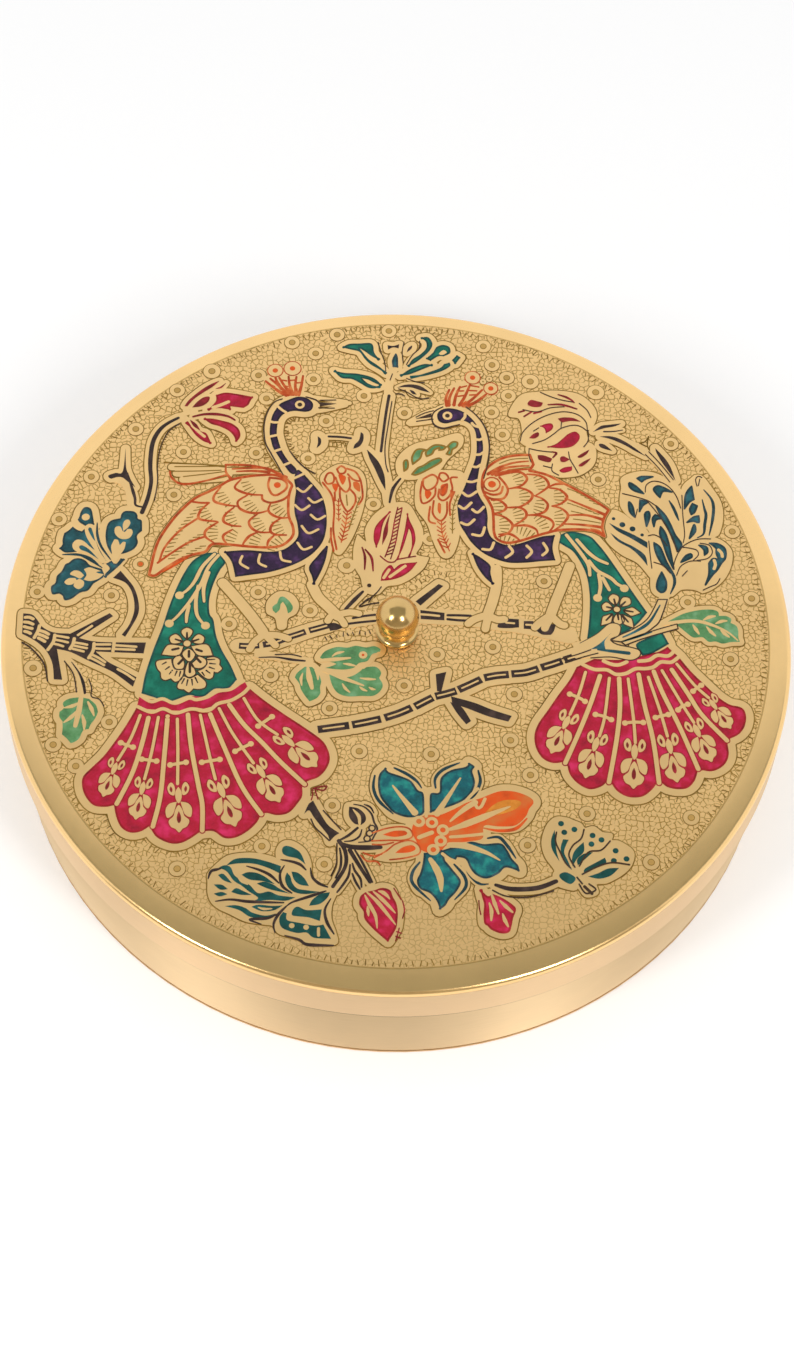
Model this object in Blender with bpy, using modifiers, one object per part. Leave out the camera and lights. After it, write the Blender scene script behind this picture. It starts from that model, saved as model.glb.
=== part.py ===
"""Round brass keepsake box with a lift-off lid and a turned knob.

The box is sheet brass, built of strips and discs soldered together. A tapered wall stands on a
flat floor, and a collar inside the wall rises above it. The lid is a flat plate on a short skirt,
which drops over the collar until its lower edge meets the top of the wall. A screw under the
plate holds the knob. Metres, +Z up, origin on the table under the middle of the box.
"""

import math

import bmesh
import bpy

MM = 0.001

# The box as a whole
LID_RADIUS = 110.0 * MM  # outside of the lid's plate and skirt
BOX_HEIGHT = 46.0 * MM  # from the table to the lid's top face
LID_DEPTH = 14.8 * MM  # from the lid's top face to the skirt's lower edge
WALL_TAPER = 2.4 * MM  # how much the wall's radius shrinks from its top to its foot

# Sheet and strip
PLATE_THICKNESS = 1.6 * MM
SKIRT_SHEET = 1.2 * MM
WALL_SHEET = 1.0 * MM
FLOOR_SHEET = 1.2 * MM
COLLAR_SHEET = 0.8 * MM

# Collar
COLLAR_OVERLAP = 8.0 * MM  # how far the collar reaches down inside the wall
COLLAR_HEADROOM = 1.6 * MM  # from the collar's rim to the underside of the plate

# Clearances
SEAT_GAP = 0.3 * MM  # between pieces that seat on each other
LID_CLEARANCE = 0.5 * MM  # from the collar to the skirt around it

# Edge roundings
PLATE_EDGE_RADIUS = 1.2 * MM
FLOOR_EDGE_RADIUS = 0.6 * MM
STRIP_EDGE_RADIUS = 0.25 * MM

# Screw and washer that hold the knob from below
SCREW_RADIUS = 2.0 * MM
SCREW_REACH = 6.5 * MM  # how far the shank stands above the knob's underside
HEAD_OVERHANG = 1.6 * MM  # how far the head stands out past the shank
HEAD_HEIGHT = 2.2 * MM
HEAD_DOME = 0.7 * MM  # depth of the head's rounded face
SLOT_WIDTH = 0.9 * MM
SLOT_DEPTH = 1.0 * MM
WASHER_MARGIN = 1.9 * MM  # how far the washer stands out past the head
WASHER_THICKNESS = 0.8 * MM

# Knob, turned in one piece: a ball on a flared foot, with a crease between them
NECK_WALL = 2.1 * MM  # brass between the screw's hole and the crease
BALL_SWELL = 1.6 * MM  # how far the ball stands out past the crease
FOOT_SWELL = 1.6 * MM  # how far the foot stands out past the crease
FOOT_HEIGHT = 3.2 * MM  # from the knob's underside to the crease
FOOT_RIM = 0.6 * MM  # upright edge at the bottom of the foot
FOOT_HOLLOW = 0.35 * MM  # how far the flare curves in from a straight cone

# Heights and radii that follow from those
PLATE_UNDERSIDE = BOX_HEIGHT - PLATE_THICKNESS
SKIRT_TOP = PLATE_UNDERSIDE - SEAT_GAP
SKIRT_FOOT = BOX_HEIGHT - LID_DEPTH
SKIRT_BORE = LID_RADIUS - SKIRT_SHEET
WALL_TOP = SKIRT_FOOT - SEAT_GAP
WALL_FOOT = FLOOR_SHEET + SEAT_GAP
COLLAR_RADIUS = SKIRT_BORE - LID_CLEARANCE
COLLAR_RIM = PLATE_UNDERSIDE - COLLAR_HEADROOM
COLLAR_FOOT = WALL_TOP - COLLAR_OVERLAP
WALL_TOP_RADIUS = COLLAR_RADIUS + SEAT_GAP + WALL_SHEET
WALL_FOOT_RADIUS = WALL_TOP_RADIUS - WALL_TAPER
SCREW_HOLE_RADIUS = SCREW_RADIUS + SEAT_GAP
HEAD_RADIUS = SCREW_RADIUS + HEAD_OVERHANG
WASHER_RADIUS = HEAD_RADIUS + WASHER_MARGIN
WASHER_TOP = PLATE_UNDERSIDE - SEAT_GAP
HEAD_TOP = WASHER_TOP - WASHER_THICKNESS - SEAT_GAP
CREASE_RADIUS = SCREW_HOLE_RADIUS + NECK_WALL
BALL_RADIUS = CREASE_RADIUS + BALL_SWELL
FOOT_RADIUS = CREASE_RADIUS + FOOT_SWELL
KNOB_SEAT = BOX_HEIGHT + SEAT_GAP
CREASE_HEIGHT = KNOB_SEAT + FOOT_HEIGHT
BALL_MIDDLE = CREASE_HEIGHT + math.sqrt(BALL_RADIUS**2 - CREASE_RADIUS**2)

# Fineness of the turned shapes
LARGE_STEPS = 96  # steps round the box
SMALL_STEPS = 32  # steps round the knob and its fastening
CORNER_STEPS = 2
BALL_STEPS = 12
FLARE_STEPS = 4


def clear_scene():
    for old in list(bpy.data.objects):
        bpy.data.objects.remove(old)


def new_collection(name):
    collection = bpy.data.collections.new(name)
    bpy.context.scene.collection.children.link(collection)
    return collection


def metal(name, colour, roughness):
    material = bpy.data.materials.new(name)
    material.use_nodes = True
    shader = material.node_tree.nodes["Principled BSDF"]
    shader.inputs["Base Color"].default_value = (*colour, 1.0)
    shader.inputs["Metallic"].default_value = 1.0
    shader.inputs["Roughness"].default_value = roughness
    return material


def arc(centre, radius, start, end, steps):
    """Points along an arc in the profile's plane. Angles are in degrees, 0 outwards and 90 up."""
    points = []
    for i in range(steps + 1):
        angle = math.radians(start + (end - start) * i / steps)
        across = centre[0] + radius * math.cos(angle)
        up = centre[1] + radius * math.sin(angle)
        points.append((across, up))
    return points


def softened(corners, radius):
    """The closed outline through these corners, with each corner rounded to the radius."""
    points = []
    count = len(corners)
    for i, (x, z) in enumerate(corners):
        before = corners[i - 1]
        after = corners[(i + 1) % count]
        length_in = math.hypot(before[0] - x, before[1] - z)
        length_out = math.hypot(after[0] - x, after[1] - z)
        to_before = ((before[0] - x) / length_in, (before[1] - z) / length_in)
        to_after = ((after[0] - x) / length_out, (after[1] - z) / length_out)
        opening = math.acos(to_before[0] * to_after[0] + to_before[1] * to_after[1])
        cut = min(radius / math.tan(opening / 2), 0.4 * min(length_in, length_out))
        start = (x + to_before[0] * cut, z + to_before[1] * cut)
        end = (x + to_after[0] * cut, z + to_after[1] * cut)
        for step in range(CORNER_STEPS + 1):
            t = step / CORNER_STEPS
            across = (1 - t) ** 2 * start[0] + 2 * t * (1 - t) * x + t * t * end[0]
            up = (1 - t) ** 2 * start[1] + 2 * t * (1 - t) * z + t * t * end[1]
            points.append((across, up))
    return points


def turned(name, profile, closed, steps, material, collection):
    """A solid of revolution about +Z. An open profile runs from the axis down to the axis."""
    mesh = bpy.data.meshes.new(name)
    edges = [(i, i + 1) for i in range(len(profile) - 1)]
    if closed:
        edges.append((len(profile) - 1, 0))
    mesh.from_pydata([(x, 0.0, z) for x, z in profile], edges, [])
    piece = bpy.data.objects.new(name, mesh)
    collection.objects.link(piece)
    screw = piece.modifiers.new("Turn", "SCREW")
    screw.axis = "Z"
    screw.angle = 2 * math.pi
    screw.steps = steps
    screw.render_steps = steps
    screw.use_merge_vertices = True
    screw.merge_threshold = 0.00001
    piece.data.materials.append(material)
    return piece


def wall_bore(height):
    """Inside radius of the tapered wall at a height."""
    share = (height - WALL_FOOT) / (WALL_TOP - WALL_FOOT)
    return WALL_FOOT_RADIUS + WALL_TAPER * share - WALL_SHEET


def base_floor(material, collection):
    """Flat disc that the wall stands on, its edge rounded underneath."""
    edge = min(FLOOR_EDGE_RADIUS, 0.9 * FLOOR_SHEET)
    profile = [(0.0, FLOOR_SHEET), (WALL_FOOT_RADIUS, FLOOR_SHEET)]
    profile += arc((WALL_FOOT_RADIUS - edge, edge), edge, 0, -90, CORNER_STEPS)
    profile += [(0.0, 0.0)]
    return turned("base_floor", profile, False, LARGE_STEPS, material, collection)


def base_wall(material, collection):
    """Strip bent into a ring, a little narrower at its foot."""
    corners = [
        (WALL_TOP_RADIUS - WALL_SHEET, WALL_TOP),
        (WALL_TOP_RADIUS, WALL_TOP),
        (WALL_FOOT_RADIUS, WALL_FOOT),
        (WALL_FOOT_RADIUS - WALL_SHEET, WALL_FOOT),
    ]
    profile = softened(corners, STRIP_EDGE_RADIUS)
    return turned("base_wall", profile, True, LARGE_STEPS, material, collection)


def locating_collar(material, collection):
    """Ring inside the wall: it follows the taper below the wall's top and is upright above it."""
    foot_radius = wall_bore(COLLAR_FOOT) - SEAT_GAP
    corners = [
        (COLLAR_RADIUS - COLLAR_SHEET, COLLAR_RIM),
        (COLLAR_RADIUS, COLLAR_RIM),
        (COLLAR_RADIUS, WALL_TOP),
        (foot_radius, COLLAR_FOOT),
        (foot_radius - COLLAR_SHEET, COLLAR_FOOT),
        (COLLAR_RADIUS - COLLAR_SHEET, WALL_TOP),
    ]
    profile = softened(corners, STRIP_EDGE_RADIUS)
    return turned("locating_collar", profile, True, LARGE_STEPS, material, collection)


def lid_skirt(material, collection):
    """Upright strip under the plate, which drops over the collar."""
    corners = [
        (SKIRT_BORE, SKIRT_TOP),
        (LID_RADIUS, SKIRT_TOP),
        (LID_RADIUS, SKIRT_FOOT),
        (SKIRT_BORE, SKIRT_FOOT),
    ]
    profile = softened(corners, STRIP_EDGE_RADIUS)
    return turned("lid_skirt", profile, True, LARGE_STEPS, material, collection)


def lid_plate(material, collection):
    """Flat disc with a rounded upper edge and a hole in the middle for the knob's screw."""
    edge = min(PLATE_EDGE_RADIUS, 0.9 * PLATE_THICKNESS)
    profile = [(SCREW_HOLE_RADIUS, BOX_HEIGHT)]
    profile += arc((LID_RADIUS - edge, BOX_HEIGHT - edge), edge, 90, 0, 2 * CORNER_STEPS)
    profile += [(LID_RADIUS, PLATE_UNDERSIDE), (SCREW_HOLE_RADIUS, PLATE_UNDERSIDE)]
    return turned("lid_plate", profile, True, LARGE_STEPS, material, collection)


def lid_knob(material, collection):
    """Ball on a flared foot, with a blind hole up the middle for the screw."""
    crease_angle = -math.degrees(math.acos(CREASE_RADIUS / BALL_RADIUS))
    profile = arc((0.0, BALL_MIDDLE), BALL_RADIUS, 90, crease_angle, BALL_STEPS)
    flare_foot = KNOB_SEAT + FOOT_RIM
    for i in range(1, FLARE_STEPS + 1):
        t = i / FLARE_STEPS
        cone = CREASE_RADIUS + (FOOT_RADIUS - CREASE_RADIUS) * t
        radius = cone - FOOT_HOLLOW * math.sin(math.pi * t)
        profile.append((radius, CREASE_HEIGHT + (flare_foot - CREASE_HEIGHT) * t))
    hole_end = KNOB_SEAT + SCREW_REACH + SEAT_GAP
    profile += [
        (FOOT_RADIUS, KNOB_SEAT),
        (SCREW_HOLE_RADIUS, KNOB_SEAT),
        (SCREW_HOLE_RADIUS, hole_end),
        (0.0, hole_end),
    ]
    return turned("lid_knob", profile, False, SMALL_STEPS, material, collection)


def knob_washer(material, collection):
    """Plain washer between the screw's head and the plate."""
    corners = [
        (SCREW_HOLE_RADIUS, WASHER_TOP),
        (WASHER_RADIUS, WASHER_TOP),
        (WASHER_RADIUS, WASHER_TOP - WASHER_THICKNESS),
        (SCREW_HOLE_RADIUS, WASHER_TOP - WASHER_THICKNESS),
    ]
    return turned("knob_washer", corners, True, SMALL_STEPS, material, collection)


def slot_cutter(collection):
    """Block that cuts the driver's slot across the head."""
    bpy.ops.mesh.primitive_cube_add(size=1.0)
    cutter = bpy.context.object
    cutter.name = "slot_cutter"
    for other in list(cutter.users_collection):
        other.objects.unlink(cutter)
    collection.objects.link(cutter)
    cutter.scale = (4 * HEAD_RADIUS, SLOT_WIDTH, 2 * SLOT_DEPTH)
    cutter.location = (0.0, 0.0, HEAD_TOP - HEAD_HEIGHT)
    cutter.display_type = "WIRE"
    cutter.hide_render = True
    return cutter


def knob_screw(material, collection, cutters):
    """Slotted screw, its head under the washer and its shank up inside the knob."""
    head_foot = HEAD_TOP - HEAD_HEIGHT
    dome = min(HEAD_DOME, 0.9 * HEAD_HEIGHT)
    shank_end = KNOB_SEAT + SCREW_REACH
    profile = [
        (0.0, shank_end),
        (SCREW_RADIUS, shank_end),
        (SCREW_RADIUS, HEAD_TOP),
        (HEAD_RADIUS, HEAD_TOP),
    ]
    for i in range(CORNER_STEPS + 1):
        angle = 0.5 * math.pi * i / CORNER_STEPS
        across = HEAD_RADIUS * (0.6 + 0.4 * math.cos(angle))
        profile.append((across, head_foot + dome * (1 - math.sin(angle))))
    profile.append((0.0, head_foot))
    screw = turned("knob_screw", profile, False, SMALL_STEPS, material, collection)
    slot = screw.modifiers.new("Slot", "BOOLEAN")
    slot.operation = "DIFFERENCE"
    slot.solver = "EXACT"
    slot.object = slot_cutter(cutters)
    return screw


def smooth(piece):
    """Shades the round faces smooth and keeps the edges between them sharp."""
    graph = bpy.context.evaluated_depsgraph_get()
    mesh = bpy.data.meshes.new_from_object(piece.evaluated_get(graph))
    cleaner = bmesh.new()
    cleaner.from_mesh(mesh)
    bmesh.ops.remove_doubles(cleaner, verts=cleaner.verts, dist=0.000001)
    cleaner.to_mesh(mesh)
    cleaner.free()
    mesh.shade_smooth()
    mesh.set_sharp_from_angle(angle=math.radians(35))
    piece.modifiers.clear()
    piece.data = mesh


def main():
    clear_scene()
    box = new_collection("brass_keepsake_box")
    cutters = new_collection("cutters")
    brushed = metal("brushed_brass", (0.80, 0.62, 0.33), 0.38)
    polished = metal("polished_brass", (0.83, 0.62, 0.27), 0.12)
    plain = metal("raw_brass", (0.72, 0.57, 0.33), 0.30)
    steel = metal("plated_steel", (0.62, 0.61, 0.58), 0.35)
    pieces = [
        base_floor(plain, box),
        base_wall(brushed, box),
        locating_collar(plain, box),
        lid_skirt(brushed, box),
        lid_plate(brushed, box),
        lid_knob(polished, box),
        knob_washer(steel, box),
        knob_screw(steel, box, cutters),
    ]
    bpy.context.view_layer.update()
    for piece in pieces:
        smooth(piece)


main()
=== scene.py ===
import math

import bpy
from mathutils import Matrix, Vector
from mathutils.geometry import delaunay_2d_cdt


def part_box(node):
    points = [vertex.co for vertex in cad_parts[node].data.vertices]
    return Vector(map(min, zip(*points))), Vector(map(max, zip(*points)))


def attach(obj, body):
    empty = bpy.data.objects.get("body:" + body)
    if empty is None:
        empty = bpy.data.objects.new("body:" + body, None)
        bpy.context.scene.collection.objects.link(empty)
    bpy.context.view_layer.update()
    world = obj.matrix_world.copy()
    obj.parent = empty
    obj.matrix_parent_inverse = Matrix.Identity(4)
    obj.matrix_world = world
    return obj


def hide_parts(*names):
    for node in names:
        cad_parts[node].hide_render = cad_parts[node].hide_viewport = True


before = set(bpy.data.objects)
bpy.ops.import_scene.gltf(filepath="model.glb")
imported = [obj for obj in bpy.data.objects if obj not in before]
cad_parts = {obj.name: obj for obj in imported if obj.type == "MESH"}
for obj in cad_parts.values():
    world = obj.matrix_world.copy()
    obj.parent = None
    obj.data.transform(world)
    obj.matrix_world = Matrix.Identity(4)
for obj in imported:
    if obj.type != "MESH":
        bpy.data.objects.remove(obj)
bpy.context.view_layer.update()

bl_info = {
    "name": "Round Keepsake Box",
    "version": (1, 0, 0),
    "blender": (4, 5, 0),
    "location": "3D View > Sidebar > Keepsake Box",
    "description": "Dresses a round brass box whose slip lid is inlaid with two peacocks in enamel",
    "category": "Object",
}

MM = 0.001
PHOTO_SIZE = (794, 1370)
FULL_TURN = 2 * math.pi

# Places taken from the model's own nodes, in metres
PLATE_LOW, PLATE_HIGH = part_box("lid_plate")
SKIRT_LOW, SKIRT_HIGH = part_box("lid_skirt")
WALL_LOW, WALL_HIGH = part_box("base_wall")
COLLAR_LOW, COLLAR_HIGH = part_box("locating_collar")
KNOB_LOW, KNOB_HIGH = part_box("lid_knob")

# The same places, and sizes of the solids that the turned pieces keep, in millimetres
PLATE_TOP = PLATE_HIGH[2] / MM
OUTER_RADIUS = PLATE_HIGH[0] / MM
SKIRT_SHEET = 1.2
WALL_SHEET = 1.0
WALL_TAPER = 2.4
WALL_FOOT_RADIUS = 107.2
COLLAR_SHEET = 0.8
SCREW_HOLE_RADIUS = 2.3
BALL_RADIUS = 6.0
CREASE_RADIUS = 4.4
CREASE_HEIGHT = 49.5
FOOT_RADIUS = 6.0
FOOT_SWELL = 1.6
FOOT_RIM = 0.6

# Height above which the wall is painted darker, as the shadow under the skirt's edge, in metres
WALL_SKIRT_SHADOW = 0.0303

# The photograph's camera: angles in degrees, lengths in metres, and the focal length in pixels
CAMERA_RISE = 60.309
CAMERA_ROLL = 2.32
CAMERA_TARGET = (0.00063, -0.01724, 0.046)
CAMERA_REACH = 0.82689
FOCAL_PIXELS = 3000
SENSOR_WIDTH = 36.0


class KeepsakeSizes(bpy.types.PropertyGroup):
    """Sizes of the dressed box"""
    lathe_steps: bpy.props.IntProperty(
        name="Lathe Steps", description="Flats round each turned piece", default=192, min=48)
    shoulder: bpy.props.FloatProperty(
        name="Lid Shoulder", description="Radius where the lid's top turns down into its side",
        default=1.6 * MM, unit="LENGTH", subtype="DISTANCE")
    field_radius: bpy.props.FloatProperty(
        name="Etched Field", description="Radius of the etched ground inside the plain rim",
        default=104.0 * MM, unit="LENGTH", subtype="DISTANCE")
    cell: bpy.props.FloatProperty(
        name="Etched Cell", description="Width of one rounded cell of the etched ground",
        default=1.5 * MM, unit="LENGTH", subtype="DISTANCE")


def colour_choice(title, about, shade):
    """A colour that the user may change, kept as it is seen on screen"""
    return bpy.props.FloatVectorProperty(
        name=title, description=about, size=3, min=0, max=1, subtype="COLOR_GAMMA",
        default=tuple(level / 255 for level in shade))


class KeepsakeColours(bpy.types.PropertyGroup):
    """Colours of the brass and the enamels"""
    brass: colour_choice("Brass", "Satin brass of the sides", (240, 207, 163))
    wall_brass: colour_choice("Wall Brass", "Duller satin brass of the wall", (240, 212, 170))
    knob_brass: colour_choice("Knob Brass", "Polished brass of the knob", (222, 186, 122))
    lid_gold: colour_choice("Lid Gold", "Plain metal of the lid's top", (251, 211, 147))
    etch: colour_choice("Etched Line", "Line bitten into the lid's ground", (166, 131, 62))
    seed: colour_choice("Etched Seed", "Soft middle of the small rings", (214, 174, 104))
    crimson: colour_choice("Crimson", "Enamel of the fans and the blossoms", (174, 14, 44))
    green: colour_choice("Deep Green", "Enamel of the trains", (0, 98, 78))
    teal: colour_choice("Teal", "Enamel of the small flowers", (24, 76, 82))
    slate: colour_choice("Slate Green", "Enamel of the dark edges", (16, 52, 58))
    blue: colour_choice("Petrol Blue", "Enamel of the front bloom", (10, 88, 98))
    fern: colour_choice("Fern Green", "Enamel of the fern and the seeds", (4, 68, 62))
    honey: colour_choice("Honey", "Enamel fading on the orange petal", (205, 125, 35))
    leaf_green: colour_choice("Leaf Green", "Enamel of the leaves", (86, 138, 84))
    orange: colour_choice("Orange", "Enamel of the crests and bright leaves", (220, 80, 12))
    purple: colour_choice("Purple", "Enamel of the birds' bodies", (42, 20, 52))
    wine: colour_choice("Wine Red", "Crimson enamel where it pooled against the metal", (146, 12, 24))
    night: colour_choice("Night Purple", "Enamel at the edge of the birds' bodies", (26, 14, 32))
    black: colour_choice("Branch Black", "Enamel of the branches", (46, 31, 26))
    ember: colour_choice("Ember Line", "Orange line round the feathers", (184, 66, 12))
    garnet: colour_choice("Garnet", "Dark red in the slots of the buds", (120, 18, 20))
    ink: colour_choice("Dark Line", "Dark line round the bright enamels", (62, 40, 20))
    steel: colour_choice("Steel", "Plated screw under the lid", (196, 196, 190))


def sizes():
    """The sizes in use"""
    return bpy.context.scene.keepsake_sizes


def colours():
    """The colours in use"""
    return bpy.context.scene.keepsake_colours


def shade(name, factor=1.0):
    """A chosen colour as the light values that a shader takes"""
    values = []
    for level in getattr(colours(), name):
        if level <= 0.04045:
            light = level / 12.92
        else:
            light = ((level + 0.055) / 1.055) ** 2.4
        values.append(min(1.0, light * factor))
    return (*values, 1.0)


# Turned pieces

def arc(across, up, radius, start, end, steps):
    """Points on an arc, in degrees"""
    angles = [math.radians(start + (end - start) * step / steps) for step in range(steps + 1)]
    return [(across + radius * math.cos(angle), up + radius * math.sin(angle)) for angle in angles]


def deselect_all():
    """Leaves nothing selected"""
    bpy.ops.object.select_all(action="DESELECT")


def turned(name, profile):
    """A piece turned about the upright axis from a closed profile in millimetres"""
    deselect_all()
    across, up = profile[0]
    bpy.ops.mesh.primitive_plane_add(size=MM, location=(0, 0, 0))
    piece = bpy.context.object
    piece.name = name
    bpy.ops.object.mode_set(mode="EDIT")
    bpy.ops.mesh.select_all(action="SELECT")
    bpy.ops.mesh.merge(type="CENTER")
    bpy.ops.transform.translate(value=(across * MM, 0, up * MM))
    for step_across, step_up in profile[1:]:
        shift = ((step_across - across) * MM, 0, (step_up - up) * MM)
        bpy.ops.mesh.extrude_region_move(TRANSFORM_OT_translate={"value": shift})
        across, up = step_across, step_up
    bpy.ops.mesh.select_all(action="SELECT")
    bpy.ops.mesh.spin(steps=sizes().lathe_steps, angle=FULL_TURN, center=(0, 0, 0), axis=(0, 0, 1))
    bpy.ops.mesh.select_all(action="SELECT")
    bpy.ops.mesh.remove_doubles(threshold=0.000004)
    bpy.ops.mesh.normals_make_consistent(inside=False)
    bpy.ops.object.mode_set(mode="OBJECT")
    bpy.ops.object.shade_smooth_by_angle(angle=math.radians(28))
    return piece


def dressed(piece, body, finish, slot, *nodes):
    """Gives a piece its finish, its body and the nodes that it stands for; the slot is not used"""
    piece.data.materials.clear()
    piece.data.materials.append(finish)
    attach(piece, body)
    if nodes:
        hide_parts(*nodes)


# Shader helpers

def new_finish(name):
    """An empty material with its nodes, links, shader and object coordinates"""
    finish = bpy.data.materials.new(name)
    finish.use_nodes = True
    nodes, links = finish.node_tree.nodes, finish.node_tree.links
    shader = nodes["Principled BSDF"]
    place = nodes.new("ShaderNodeTexCoord")
    return finish, nodes, links, shader, place.outputs["Object"]


def mask_of(nodes, links, value, low, high, name):
    """A value spread from 0 at low to 1 at high"""
    spread = nodes.new("ShaderNodeMapRange")
    spread.label = name
    spread.inputs["From Min"].default_value = low
    spread.inputs["From Max"].default_value = high
    links.new(value, spread.inputs["Value"])
    return spread.outputs["Result"]


def mixed(nodes, links, mask, first, second, name):
    """Two colours mixed by a mask, each a colour or another node's output"""
    mix = nodes.new("ShaderNodeMix")
    mix.data_type = "RGBA"
    mix.label = name
    links.new(mask, mix.inputs["Factor"])
    for socket, colour in ((mix.inputs[6], first), (mix.inputs[7], second)):
        if isinstance(colour, tuple):
            socket.default_value = colour
        else:
            links.new(colour, socket)
    return mix.outputs[2]


def noise(nodes, links, place, size, detail, name):
    """Soft noise with blotches of about a given size in metres"""
    cloud = nodes.new("ShaderNodeTexNoise")
    cloud.label = name
    cloud.inputs["Scale"].default_value = 1 / size
    cloud.inputs["Detail"].default_value = detail
    links.new(place, cloud.inputs["Vector"])
    return cloud.outputs["Fac"]


def sum_of(nodes, links, kind, first, second):
    """One step of arithmetic on two values, each a number or another node's output"""
    total = nodes.new("ShaderNodeMath")
    total.operation = kind
    for socket, value in ((total.inputs[0], first), (total.inputs[1], second)):
        if isinstance(value, (int, float)):
            socket.default_value = value
        else:
            links.new(value, socket)
    return total.outputs[0]


def relief(nodes, links, shader, height, depth):
    """A bump of a given depth in metres on the shader"""
    bump = nodes.new("ShaderNodeBump")
    bump.inputs["Strength"].default_value = 1.0
    bump.inputs["Distance"].default_value = depth
    links.new(height, bump.inputs["Height"])
    links.new(bump.outputs["Normal"], shader.inputs["Normal"])


def group_shell(name, inputs, outputs):
    """An empty shader node group with named inputs and outputs"""
    group = bpy.data.node_groups.new(name, "ShaderNodeTree")
    for title, kind, value in inputs:
        socket = group.interface.new_socket(name=title, in_out="INPUT", socket_type=kind)
        if value is not None:
            socket.default_value = value
    for title, kind in outputs:
        group.interface.new_socket(name=title, in_out="OUTPUT", socket_type=kind)
    entry = group.nodes.new("NodeGroupInput")
    leave = group.nodes.new("NodeGroupOutput")
    return group, group.nodes, group.links, entry, leave


def hand_wear_group():
    """Broad tarnish and fine hairlines that every brass surface shares"""
    ready = bpy.data.node_groups.get("Hand Wear")
    if ready:
        return ready
    group, nodes, links, entry, leave = group_shell(
        "Hand Wear",
        (("Place", "NodeSocketVector", None), ("Blotch Size", "NodeSocketFloat", 0.03),
         ("Hair Size", "NodeSocketFloat", 0.0012)),
        (("Tarnish", "NodeSocketFloat"), ("Hairlines", "NodeSocketFloat")))
    for title, port, detail in (("Blotch Size", "Tarnish", 3.0), ("Hair Size", "Hairlines", 5.0)):
        cloud = nodes.new("ShaderNodeTexNoise")
        cloud.inputs["Detail"].default_value = detail
        links.new(entry.outputs["Place"], cloud.inputs["Vector"])
        links.new(sum_of(nodes, links, "DIVIDE", 1.0, entry.outputs[title]), cloud.inputs["Scale"])
        links.new(cloud.outputs["Fac"], leave.inputs[port])
    return group


def wear_in(nodes, links, place, blotch, hair):
    """Places the shared wear in a material with its own sizes"""
    wear = nodes.new("ShaderNodeGroup")
    wear.node_tree = hand_wear_group()
    links.new(place, wear.inputs["Place"])
    wear.inputs["Blotch Size"].default_value = blotch
    wear.inputs["Hair Size"].default_value = hair
    return wear.outputs["Tarnish"], wear.outputs["Hairlines"]


def stretched(nodes, links, place, across, along):
    """Coordinates squeezed so that noise runs round the box as brushing does"""
    turn = nodes.new("ShaderNodeVectorMath")
    turn.operation = "MULTIPLY"
    turn.inputs[1].default_value = (across, across, along)
    links.new(place, turn.inputs[0])
    return turn.outputs[0]


def brass_finish(name, colour, rough, blotch, brushed, dark, skirt_shadow=0.0):
    """Brass with soft tarnish and, where brushed, fine lines round the box; where asked, a painted shadow
    darkens it above a given height
    """
    finish, nodes, links, shader, place = new_finish(name)
    hair_place = stretched(nodes, links, place, 1.0, 22.0) if brushed else place
    tarnish, _ = wear_in(nodes, links, place, blotch, 0.001)
    _, hair = wear_in(nodes, links, hair_place, blotch, 0.006)
    cloudy = mask_of(nodes, links, tarnish, 0.35, 0.72, "Tarnish")
    base = mixed(nodes, links, cloudy, shade(colour), shade(colour, dark), "Tarnished brass")
    fine = mask_of(nodes, links, hair, 0.3, 0.7, "Hairlines")
    lined = mixed(nodes, links, sum_of(nodes, links, "MULTIPLY", fine, 0.16), base,
                  shade(colour, 0.72), "Lined brass")
    # Painted shadow: the brass above this height is darkened as the shade under the lid's skirt
    if skirt_shadow:
        axes = nodes.new("ShaderNodeSeparateXYZ")
        links.new(place, axes.inputs[0])
        near = mask_of(nodes, links, axes.outputs["Z"], skirt_shadow - 0.0002, skirt_shadow + 0.0002, "Seam")
        lined = mixed(nodes, links, near, lined, shade(colour, 0.42), "Painted shadow under the skirt")
    links.new(lined, shader.inputs["Base Color"])
    shader.inputs["Metallic"].default_value = 1.0
    level = sum_of(nodes, links, "MULTIPLY", hair, 0.12)
    links.new(sum_of(nodes, links, "ADD", level, rough), shader.inputs["Roughness"])
    if brushed:
        upright = nodes.new("ShaderNodeCombineXYZ")
        upright.inputs["Z"].default_value = 1.0
        links.new(upright.outputs[0], shader.inputs["Tangent"])
        shader.inputs["Anisotropic"].default_value = 0.92
    relief(nodes, links, shader, hair, 0.000012)
    return finish


def enamel_finish(name, colour, bright, dark, grain):
    """Glassy enamel with lighter and darker clouds where it pooled"""
    finish, nodes, links, shader, place = new_finish(name)
    cloud = noise(nodes, links, place, grain, 3.0, "Pooling")
    fleck = noise(nodes, links, place, 0.0006, 2.0, "Fine grain")
    light = mask_of(nodes, links, cloud, 0.5, 0.72, "Where it ran thin")
    deep = mask_of(nodes, links, cloud, 0.46, 0.28, "Where it pooled")
    base = mixed(nodes, links, light, shade(colour), bright, "Thin enamel")
    base = mixed(nodes, links, deep, base, shade(colour, dark), "Pooled enamel")
    speck = sum_of(nodes, links, "MULTIPLY", mask_of(nodes, links, fleck, 0.4, 0.75, "Grain"), 0.2)
    links.new(mixed(nodes, links, speck, base, bright, "Grained enamel"), shader.inputs["Base Color"])
    shader.inputs["Roughness"].default_value = 0.42
    shader.inputs["Specular IOR Level"].default_value = 0.3
    relief(nodes, links, shader, cloud, 0.00005)
    return finish


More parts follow.
